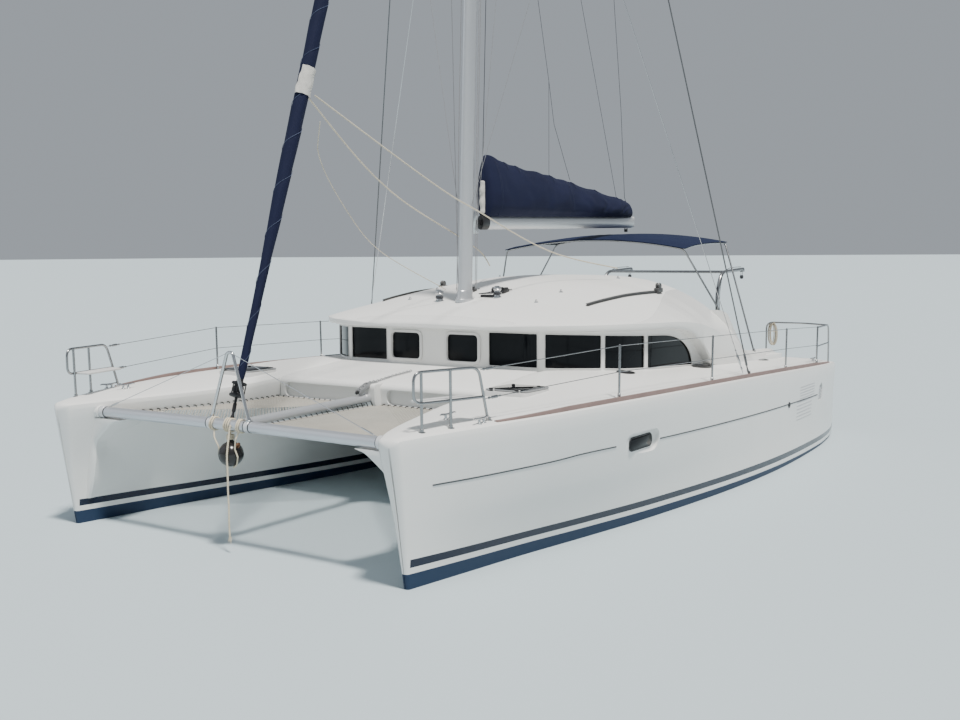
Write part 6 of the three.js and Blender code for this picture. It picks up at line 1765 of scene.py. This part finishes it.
# Winches and clutches at the mast's foot: two self-tailing winches on the roof with a few turns of rope on
# each. The ropes that come down the mast are led aft through a row of clutches.
WINCHES = [(1.06, 0.36), (1.34, -0.36)]
CLUTCH_X = 0.8
CLUTCHES = (0.16, 0.24, 0.32, -0.2, -0.28)
parts = []
for x, y in WINCHES:
    z = roof_z(x, y)
    parts.append(turned("winch", (x, y, z - 0.004), (x, y, z + 0.15), [
        (0, 0.062), (0.06, 0.062), (0.1, 0.05), (0.2, 0.042), (0.55, 0.04), (0.62, 0.05), (0.7, 0.056),
        (0.76, 0.05), (0.8, 0.056), (0.9, 0.052), (0.96, 0.03), (1, 0.02),
    ], 32))
fit(joined("mast_winches", parts), stainless, "steel")
parts = []
coils = []
for y in CLUTCHES:
    x = CLUTCH_X
    z = roof_z(x, y)
    parts.append(block("clutch", x - 0.075, x + 0.075, y - 0.018, y + 0.018, z - 0.004, z + 0.055, 0.008, 2))
    parts.append(block("lever", x - 0.055, x + 0.065, y - 0.01, y + 0.01, z + 0.05, z + 0.072, 0.005, 2))
    start = (1.1 if y > 0 else 1.2, 0.1 if y > 0 else -0.1, roof_z(1.1, y) + 0.05)
    led = [start, (0.96, y, roof_z(0.96, y) + 0.035), (x, y, z + 0.03),
           (x - 0.16, y, roof_z(x - 0.16, y) + 0.012)]
    coils.append(rod("led", threaded(led, 6), 0.006, sides=8))
for x, y in WINCHES:
    z = roof_z(x, y)
    for k in range(3):
        round_it = [(x + 0.047 * math.cos(a), y + 0.047 * math.sin(a), z + 0.04 + 0.013 * k)
                    for a in around(24)]
        coils.append(rod("turn", round_it, 0.006, sides=6, loop=True))
parts.append(block("organiser", 1.02, 1.1, 0.12, 0.34, roof_z(1.06, 0.2) - 0.004, roof_z(1.06, 0.2) + 0.03,
                   0.008))
fit(joined("rope_clutches", parts), black_moulding, "black_plastic")
fit(joined("led_lines", coils), line_dark, "rope")

# Headsail sheets: two cream braided ropes from the furled sail's clew, past the mast to the roof's tracks,
# and a thinner slack one that falls from the clew to the mast's foot.
sheet_cream = paint("sheet_cream", (0.62, 0.56, 0.44), 0.85, drift=0.3, drift_size=30, grain=0.5,
                    grain_size=700)
# Columns: radius, then the points
SHEETS = [
    (0.0085, [(4.12, 0.045, 4.68), (2.62, 0.6, 3.74), (1.85, 0.6, 3.5), (-0.2, 0.7, 2.92),
              (-0.78, 1.15, 2.765)]),
    (0.0085, [(4.12, -0.045, 4.66), (2.62, -0.25, 3.82), (0.95, -0.3, 3.2), (0.54, -0.3, 3.04),
              (-0.74, -0.95, 2.8)]),
    (0.005, [(3.97, -0.02, 4.42), (3.82, -0.2, 4.15), (2.95, -0.46, 3.4), (2.2, -0.6, 2.99),
              (1.42, -0.2, 2.52)]),
]
ropes = []
for radius, route in SHEETS:
    ropes.append(rod("sheet", threaded(route, 10, span=1), radius, sides=8))
fit(joined("headsail_sheets", ropes), sheet_cream, "rope")

# Pulpits: one bent stainless tube on each bow with its end turned back under itself, two legs, foot plates
# and a white plastic seat.
# Columns: x, y
PULPIT_FEET = [(5.44, 2.433), (5.154, 2.544), (4.677, 2.637)]
PULPIT_SEAT = [(4.8, 2.632), (5.154, 2.53), (5.42, 2.452), (5.39, 2.262), (4.8, 2.436)]
PULPIT_TOP = 1.95
PULPIT_MID = 1.67
PULPIT_TUBE = 0.0138

rail_steel = paint("rail_steel", (0.36, 0.365, 0.37), 0.24, metal=1.0, drift=0.25, drift_size=9,
                   gloss_drift=0.1)
route = [
    (4.677, 2.637, 1.385), (4.853, 2.642, PULPIT_TOP), (5.154, 2.54, PULPIT_TOP), (5.545, 2.425, PULPIT_TOP),
    (5.545, 2.425, PULPIT_MID), (5.154, 2.54, PULPIT_MID), (4.77, 2.64, PULPIT_MID),
]
parts = [rod("rail", bent(route, 0.09, 6), PULPIT_TUBE, sides=14)]
for x, y in PULPIT_FEET[:2]:
    parts.append(rod("leg", [(x, y, deck_z(x, y) - 0.005), (x + 0.01, y + 0.006, PULPIT_TOP)], PULPIT_TUBE,
                     sides=14))
for x, y in PULPIT_FEET:
    z = deck_z(x, y)
    parts.append(turned("foot", (x, y, z - 0.006), (x, y, z + 0.03),
                        [(0, 0.034), (0.2, 0.034), (0.3, 0.02), (0.9, 0.019), (1, 0.014)], 20))
both(joined("pulpit_tube", parts), "pulpit_tube", rail_steel, "steel", nodes=("pulpit",))
seat = prism("seat", round_outline(PULPIT_SEAT, 0.03, 4), "z", PULPIT_MID - 0.01, PULPIT_MID + 0.01, 0.004)
both(seat, "pulpit_seat", cap_white, "white_plastic")

# Guard rails: four stanchions on each side with two taut wires through them, and bent rails at the stern.
# The wires end at the pulpit in small turnbuckles, and each stanchion stands in a socket on the deck.
# Columns: x, y, z of the foot
STANCHIONS = [(2.78, 3.012, 1.44), (0.587, 3.13, 1.402), (-2.03, 3.126, 1.334), (-3.6, 3.058, 1.272)]
POST = 0.013
LEAN = 0.008
UPPER_WIRE = 0.575
LOWER_WIRE = 0.3
STERN_TOP = 1.84
STERN_BEND = 0.11

parts = []
for x, y, z in STANCHIONS:
    parts.append(turned("post", (x, y, z - 0.02), (x, y + LEAN, z + 0.59),
                        [(0, POST), (0.97, POST), (0.99, 0.01), (1, 0.006)], 14))
    parts.append(turned("socket", (x, y, deck_z(x, y) - 0.006), (x, y + 0.001, deck_z(x, y) + 0.06),
                        [(0, 0.034), (0.12, 0.034), (0.18, 0.019), (0.92, 0.018), (1, 0.014)], 20))
for height, start in ((UPPER_WIRE, (4.824, 2.645, 1.925)), (LOWER_WIRE, (4.738, 2.645, 1.65))):
    route = [start] + [(x, y + LEAN * height / 0.59, z + height) for x, y, z in STANCHIONS]
    parts.append(rod("wire", route, 0.0042, sides=8))
    parts.append(turnbuckle(start, route[1], 0.03, 0.2))
last_x, last_y, _ = STANCHIONS[-1]
outer = [(last_x, last_y + LEAN, STERN_TOP), (-4.35, 2.995, STERN_TOP), (-4.42, 2.98, 1.5),
         (-4.42, 2.98, 1.195)]
inner = [(-4.23, 3.006, STERN_TOP), (-4.48, 2.6, STERN_TOP), (-4.48, 1.95, STERN_TOP), (-4.48, 1.95, 1.195)]
parts.append(rod("outer", bent(outer, STERN_BEND, 6), POST, sides=14))
parts.append(rod("inner", bent(inner, STERN_BEND, 6), POST, sides=14))
parts.append(rod("middle", [(last_x, last_y + LEAN / 2, 1.555), (-4.42, 2.98, 1.555)], POST - 0.002,
                 sides=12))
for x, y in ((-4.42, 2.98), (-4.48, 1.95)):
    parts.append(turned("foot", (x, y, 1.17), (x, y, 1.215),
                        [(0, 0.034), (0.3, 0.034), (0.45, 0.018), (1, 0.0135)], 20))
both(joined("guard_rails", parts), "guard_rails", rail_steel, "steel", nodes=("guard_rail",))

# Helm: a moulded console against the bulkhead with a black instrument panel, a five-spoked stainless wheel,
# and a seat box for two with a padded cushion and backrest in white vinyl.
HELM_Y = 1.11
SOLE_TOP = 0.8003
CONSOLE_FRONT = -1.3003
WHEEL_X = -1.76
HELM_Z = 1.52
RIM = 0.33
CONSOLE = [(CONSOLE_FRONT, SOLE_TOP), (-1.62, SOLE_TOP), (-1.66, 1.5), (-1.61, 1.72), (-1.42, 1.8),
           (CONSOLE_FRONT, 1.8)]
console = prism("console", CONSOLE, "y", HELM_Y - 0.24, HELM_Y + 0.23, 0.03, 4)
fit(console, deck_gelcoat, "gelcoat", nodes=("helm_console",))
console.name = "helm_moulding"
panel = block("panel", -1.56, -1.44, HELM_Y - 0.19, HELM_Y + 0.18, 1.742, 1.752, 0.004)
for point in panel.data.vertices:
    point.co.z += (point.co.x + 1.5) * 0.4
dials = [turned("dial", (-1.668, HELM_Y + off, 1.63), (-1.625, HELM_Y + off, 1.64),
                [(0, 0.046), (0.3, 0.05), (1, 0.05)], 24) for off in (-0.12, 0.0, 0.12)]
hub = turned("shaft", (-1.7, HELM_Y, HELM_Z), (-1.62, HELM_Y, HELM_Z),
             [(0, 0.038), (0.1, 0.042), (1, 0.052)], 24)
fit(joined("helm_instruments", [panel, hub] + dials), black_moulding, "black_plastic")
rim = rod("rim", [(WHEEL_X, HELM_Y + RIM * math.cos(a), HELM_Z + RIM * math.sin(a)) for a in around(64)],
          0.0145, 12, True)
wheel = [rim, turned("hub", (WHEEL_X - 0.04, HELM_Y, HELM_Z), (-1.7005, HELM_Y, HELM_Z),
                     [(0, 0.02), (0.1, 0.032), (0.35, 0.04), (1, 0.04)], 32)]
for k in range(5):
    angle = 2 * math.pi * k / 5 + 0.3
    end = (WHEEL_X, HELM_Y + RIM * math.cos(angle), HELM_Z + RIM * math.sin(angle))
    wheel.append(rod("spoke", [(WHEEL_X - 0.015, HELM_Y, HELM_Z), end], [0.01, 0.008], sides=12))
fit(joined("wheel_rim", wheel), stainless, "steel", "steering_wheel", nodes=("steering_wheel",))

seat_box = block("seat_box", -2.75, -2.3, 0.85, 1.494, SOLE_TOP, 1.322, 0.03, 4)
rest_board = block("rest_board", -2.75, -2.722, 0.872, 1.472, 1.3, 1.7, 0.012, 3)
fit(joined("helm_seat_box", [seat_box, rest_board]), deck_gelcoat, "gelcoat", nodes=("helm_seat",))
vinyl_white = paint("vinyl_white", (0.6, 0.585, 0.55), 0.55, drift=0.12, drift_size=6, grain=0.5,
                    grain_size=160)


def puffed(name, x0, x1, y0, y1, z0, z1, cap):
    """A pad that swells from its seams: a cloth skin over a block, blown up a little and smoothed."""
    pad = block(name, x0, x1, y0, y1, z0, z1, 0.012, 3)
    shape(pad, "REMESH", mode="VOXEL", voxel_size=0.0075)
    before = [point.co.copy() for point in pad.data.vertices]
    alone(pad)
    cloth = pad.modifiers.new("cloth", "CLOTH")
    cloth.settings.use_pressure = True
    cloth.settings.uniform_pressure_force = 4
    cloth.settings.effector_weights.gravity = 0
    for step in range(1, 21):
        bpy.context.scene.frame_set(step)
    bpy.ops.object.modifier_apply(modifier="cloth")
    bpy.context.scene.frame_set(1)
    for point, start in zip(pad.data.vertices, before):
        move = point.co - start
        if move.length > cap:
            point.co = start + move.normalized() * cap
        point.co.z = max(point.co.z, z0)
    shape(pad, "SUBSURF", levels=1, render_levels=1)
    return fit(pad, vinyl_white, "white_plastic", angle=60)


cushion = puffed("helm_cushion", -2.715, -2.325, 0.875, 1.469, 1.323, 1.388, 0.012)
backrest = puffed("helm_backrest", -2.724, -2.7, 0.885, 1.459, 1.43, 1.69, 0.012)

# Cockpit table: a white moulded top with eased edges, screwed to the flange of one turned alloy leg.
# The leg's broad foot stands on the cockpit sole.
table = block("table", -3.9, -2.7, -0.88, -0.18, 1.44, 1.468, 0.012, 4)
fit(table, cap_white, "gelcoat", nodes=("cockpit_table",))
table.name = "table_top"
leg = turned("table_leg", (-3.3, -0.53, SOLE_TOP), (-3.3, -0.53, 1.442), [
    (0, 0.15), (0.02, 0.15), (0.045, 0.12), (0.06, 0.058), (0.1, 0.055), (0.93, 0.055), (0.94, 0.095),
    (1, 0.1),
], 40)
fit(leg, mast_alloy, "alloy")

# Bimini: royal blue acrylic canvas stretched over three bent stainless hoops and two side bars, and hemmed.
# The hoops' feet stand on the coamings.
# Columns: x, z of the crown
BIMINI_ROWS = [(-3.72, 3.28), (-3.3, 3.278), (-2.9, 3.265), (-2.45, 3.232), (-2.11, 3.18)]
BIMINI_HALF = 1.56
BIMINI_DROP = 0.15
HOOP = 0.0135
HOOP_INSET = 0.985
HOOP_FEET = [(-2.13, -2.78), (-3.7, -3.18)]


def canopy_z(x, y):
    """The height of the canopy's underside."""
    return along(BIMINI_ROWS, 1, x) - BIMINI_DROP * (y / BIMINI_HALF) ** 2


def hoop_line(x):
    """A hoop's bend across the boat, just under the canopy."""
    ys = [BIMINI_HALF * HOOP_INSET * (k / 12 - 1) for k in range(25)]
    return [(x, y, canopy_z(x, y) - HOOP - 0.0012) for y in ys]


parts = []
for top_x, foot_x in HOOP_FEET:
    run = hoop_line(top_x)
    parts.append(rod("hoop", bent([(foot_x, -2.23, 1.485), *run, (foot_x, 2.23, 1.485)], 0.09, 4), HOOP,
                     sides=12))
    for side in (-1, 1):
        parts.append(turned("foot", (foot_x, side * 2.23, 1.478), (foot_x, side * 2.23, 1.52),
                            [(0, 0.03), (0.3, 0.03), (0.4, 0.018), (1, 0.0135)], 16))
parts.append(rod("hoop", hoop_line(-2.9), HOOP, sides=12))
for side in (-1, 1):
    y = side * BIMINI_HALF * HOOP_INSET
    run = [(x, y, canopy_z(x, y) - HOOP - 0.0012) for x in [-3.7 + 1.57 * i / 16 for i in range(17)]]
    parts.append(rod("side_bar", run, HOOP, sides=12))
fit(joined("bimini_hoops", parts), rail_steel, "steel", nodes=("bimini_frame",))

grid = []
for i in range(41):
    x = -3.72 + 1.61 * i / 40
    run = []
    for k in range(61):
        y = BIMINI_HALF * (k / 30 - 1)
        bays = math.sin(math.pi * min(max((x + 3.7) / 0.8, 0), 1)) + math.sin(
            math.pi * min(max((x + 2.9) / 0.77, 0), 1))
        sag = 0.009 * bays * (1 - (y / BIMINI_HALF) ** 2)
        pull = 0.002 * math.sin(40 * y) * math.exp(-abs(x + 2.9) * 6)
        run.append((x, y, canopy_z(x, y) - sag + 0.002 + pull * (1 - abs(y) / BIMINI_HALF)))
    grid.append(run)
canopy = skin("bimini_canvas", grid, ends=False, loop=False)
shape(canopy, "SOLIDIFY", thickness=0.0035, offset=1)
royal_cloth = woven_cloth("royal_cloth", (0.006, 0.0125, 0.044), 0.25)
fit(canopy, royal_cloth, "blue_canvas", nodes=("bimini_canopy",), angle=50)
hem = []
for x, lift in ((-3.719, 0.004), (-2.111, 0.004)):
    hem.append(rod("hem", [(x, BIMINI_HALF * (k / 20 - 1), canopy_z(x, BIMINI_HALF * (k / 20 - 1)) + lift)
                           for k in range(41)], 0.006, sides=8))
for side in (-1, 1):
    hem.append(rod("hem", [(-3.719 + 1.608 * k / 16, side * BIMINI_HALF,
                            canopy_z(-3.719 + 1.608 * k / 16, BIMINI_HALF) + 0.004)
                           for k in range(17)], 0.006, sides=8))
fit(joined("bimini_hem", hem), royal_cloth, "blue_canvas")

# Davits: two bent tubes on the aft bench with a crossbar between them, a block at each end and the tackle's
# line led down along each. Coiled lines hang on the stern rail beside them.
DAVIT_Y = 1.08
DAVIT_FOOT = 1.2405
parts = []
tackles = []
for side in (-1, 1):
    y = side * DAVIT_Y
    route = [(-4.56, y, DAVIT_FOOT), (-4.5, y, 2.3), (-4.68, y, 2.64), (-5.65, y, 2.68)]
    parts.append(rod("arm", bent(route, 0.26, 10), 0.0295, sides=20))
    parts.append(block("foot", -4.63, -4.49, y - 0.06, y + 0.06, DAVIT_FOOT, 1.254, 0.004))
    parts.append(block("head", -5.67, -5.57, y - 0.03, y + 0.03, 2.632, 2.69, 0.01, 3))
    for off in (-0.014, 0.014):
        tackles.append(rod("fall", [(-5.6, y + off, 2.64), (-5.596, y + off, 2.56)], 0.004, sides=6))
    tackles.append(turned("block", (-5.598, y - 0.022, 2.545), (-5.598, y + 0.022, 2.545),
                          [(0, 0.03), (0.3, 0.036), (0.5, 0.026), (0.7, 0.036), (1, 0.03)], 20))
    led = [(-5.56, y, 2.722), (-5.0, y, 2.7), (-4.66, y + 0.034, 2.6), (-4.545, y + 0.034, 2.3),
           (-4.585, y + 0.034, 1.5)]
    tackles.append(rod("led", threaded(led, 8), 0.005, sides=6))
parts.append(rod("cross", [(-4.8, -DAVIT_Y, 2.646), (-4.8, DAVIT_Y, 2.646)], 0.024, sides=16))
fit(joined("davit_arms", parts), rail_steel, "steel", nodes=("davits",))
fit(joined("davit_tackles", tackles), line_dark, "rope")
for side in (-1, 1):
    hank = []
    for k in range(7):
        reach = 0.05 + 0.006 * (k % 3)
        x = -4.5 - 0.01 * (k % 2) + 0.02 * (k // 3)
        y = side * (2.02 + 0.01 * k)
        loop = [(x, y + reach * math.sin(a) * side, 1.66 + 0.175 * math.cos(a) - 0.006 * (k % 3))
                for a in around(20)]
        hank.append(rod("turn", loop, 0.006, sides=6, loop=True))
    waist = [(-4.497 + 0.034 * math.cos(a), side * 2.045 + 0.075 * math.sin(a), 1.7) for a in around(20)]
    hank.append(rod("tie", waist, 0.007, sides=6, loop=True))
    name = "rail_hank_port" if side == 1 else "rail_hank_starboard"
    fit(joined(name, hank), sheet_cream if side == 1 else line_dark, "rope")

# Swimming ladder: a stainless ladder with three black treads. It lies folded on the port platform and hinges
# on its bracket to drop over the edge.
LADDER_X = -5.798
LADDER_Z = 0.372
LADDER_HALF = 0.15
LADDER_LONG = 0.52
parts = [block("base", -5.792, -5.648, HULL_Y - 0.13, HULL_Y + 0.13, 0.3303, 0.34, 0.003)]
for side in (-0.12, 0.12):
    ear = block("ear", -5.814, -5.758, HULL_Y + side - 0.008, HULL_Y + side + 0.008, 0.335, 0.388, 0.004)
    parts.append(ear)
plate = joined("ladder_hinge", parts)
carve(plate, rod("bore", [(LADDER_X, HULL_Y - 0.2, LADDER_Z), (LADDER_X, HULL_Y + 0.2, LADDER_Z)], 0.0086,
                 sides=24))
fit(plate, rail_steel, "steel", nodes=("ladder_bracket",))
parts = [rod("pin", [(LADDER_X, HULL_Y - LADDER_HALF, LADDER_Z),
                     (LADDER_X, HULL_Y + LADDER_HALF, LADDER_Z)], 0.008, 16)]
for side in (-1, 1):
    y = HULL_Y + side * LADDER_HALF
    parts.append(rod("side", [(LADDER_X, y, LADDER_Z), (LADDER_X + LADDER_LONG, y, LADDER_Z + 0.006)],
                     0.0108, sides=14))
fit(joined("ladder_sides", parts), rail_steel, "steel", "swim_ladder", nodes=("swim_ladder",))
treads = []
for share in (0.28, 0.62, 0.97):
    x = LADDER_X + share * LADDER_LONG
    treads.append(block("tread", x - 0.028, x + 0.028, HULL_Y - 0.148, HULL_Y + 0.148, 0.369, 0.388, 0.006,
                        3))
    for k in range(3):
        line = x - 0.016 + 0.016 * k
        treads.append(block("grip", line - 0.003, line + 0.003, HULL_Y - 0.135, HULL_Y + 0.135, 0.386, 0.39,
                            0.001, 1))
fit(joined("ladder_treads", treads), black_moulding, "black_plastic", "swim_ladder")

# Underwater parts: a stub keel and a spade rudder of foil section under each hull in dark antifouling, and a
# saildrive leg with its three-bladed bronze propeller.
antifoul_blue = paint("antifoul_blue", (0.02, 0.035, 0.085), 0.75, drift=0.3, drift_size=2, grain=0.4,
                      grain_size=60)


def foil(name, sections, sides=20):
    """A blade with a foil section at each of its heights: z, leading x, trailing x, half thickness."""
    rings = []
    for z, front, back, half in sections:
        ring = []
        for k in range(2 * sides):
            t = k / sides if k < sides else 2 - k / sides
            chord = 0.5 * (1 - math.cos(math.pi * t))
            wide = 2.6 * half * (math.sqrt(chord) * 0.9 - chord * 0.45 - 0.45 * chord ** 2.4) + 0.003
            ring.append((front + (back - front) * chord, HULL_Y + (wide if k < sides else -wide), z))
        rings.append(ring)
    return skin(name, rings)


keel = foil("keel", [(-0.3, 1.2, -1.73, 0.096), (-0.56, 1.0, -1.65, 0.096), (-1.12, 0.468, -1.454, 0.096),
                     (-1.142, 0.44, -1.44, 0.088), (-1.15, 0.4, -1.4, 0.07)])
both(keel, "keel_fin", antifoul_blue, "antifoul", nodes=("keel",), angle=40)
blade = foil("blade", [(-0.25, -4.84, -5.28, 0.031), (-0.256, -4.838, -5.282, 0.032),
                       (-0.98, -4.86, -5.222, 0.027), (-1.0, -4.88, -5.205, 0.018)])
stock = turned("stock", (-4.95, HULL_Y, -0.272), (-4.95, HULL_Y, -0.01), [(0, 0.022), (1, 0.022)], 20)
pair_on(joined("rudder_blade", [blade, stock]), "rudder_blade", antifoul_blue, "antifoul", "rudder",
        nodes=("rudder",))

leg = foil("leg", [(-0.33, -3.53, -3.78, 0.06), (-0.6, -3.548, -3.758, 0.048),
                   (-0.775, -3.56, -3.74, 0.036)])
hub_shape = turned("hub", (-3.49, HULL_Y, -0.76), (-3.78, HULL_Y, -0.76), [
    (0, 0.004), (0.03, 0.02), (0.1, 0.036), (0.2, 0.049), (0.34, 0.055), (0.97, 0.055), (1, 0.052),
], 32)
saildrive_grey = paint("saildrive_grey", (0.16, 0.17, 0.18), 0.5, drift=0.3)
both(joined("saildrive", [leg, hub_shape]), "saildrive_leg", saildrive_grey, "antifoul",
     nodes=("saildrive",), angle=40)
screw = [turned("boss", (-3.7804, HULL_Y, -0.76), (-3.93, HULL_Y, -0.76),
                [(0, 0.044), (0.02, 0.046), (0.4, 0.044), (0.7, 0.032), (0.88, 0.018), (1, 0.003)], 28)]
# Columns: radius, half chord, pitch angle in degrees from the shaft
BLADE_ROWS = [(0.03, 0.02, 48), (0.07, 0.036, 55), (0.11, 0.051, 62), (0.15, 0.054, 66), (0.185, 0.044, 69),
              (0.204, 0.024, 71), (0.212, 0.006, 72)]
for k in range(3):
    turn = 2 * math.pi * k / 3
    rings = []
    for radius, half, pitch in BLADE_ROWS:
        lean = math.radians(pitch)
        ring = []
        for m in range(16):
            a = 2 * math.pi * m / 16
            chord = half * math.cos(a)
            thick = 0.0045 * math.sin(a) * (1.25 - radius * 3)
            ahead = chord * math.cos(lean) + thick * math.sin(lean)
            aside = chord * math.sin(lean) - thick * math.cos(lean)
            ring.append((-3.85 + ahead, HULL_Y + aside * math.cos(turn) - radius * math.sin(turn),
                         -0.76 + aside * math.sin(turn) + radius * math.cos(turn)))
        rings.append(ring)
    screw.append(skin("blade", rings))
bronze = paint("bronze", (0.48, 0.3, 0.12), 0.35, metal=0.9, drift=0.3, drift_size=12, grain=0.2)
pair_on(joined("propeller_screw", screw), "propeller_screw", bronze, "bronze", "propeller",
        nodes=("propeller",))
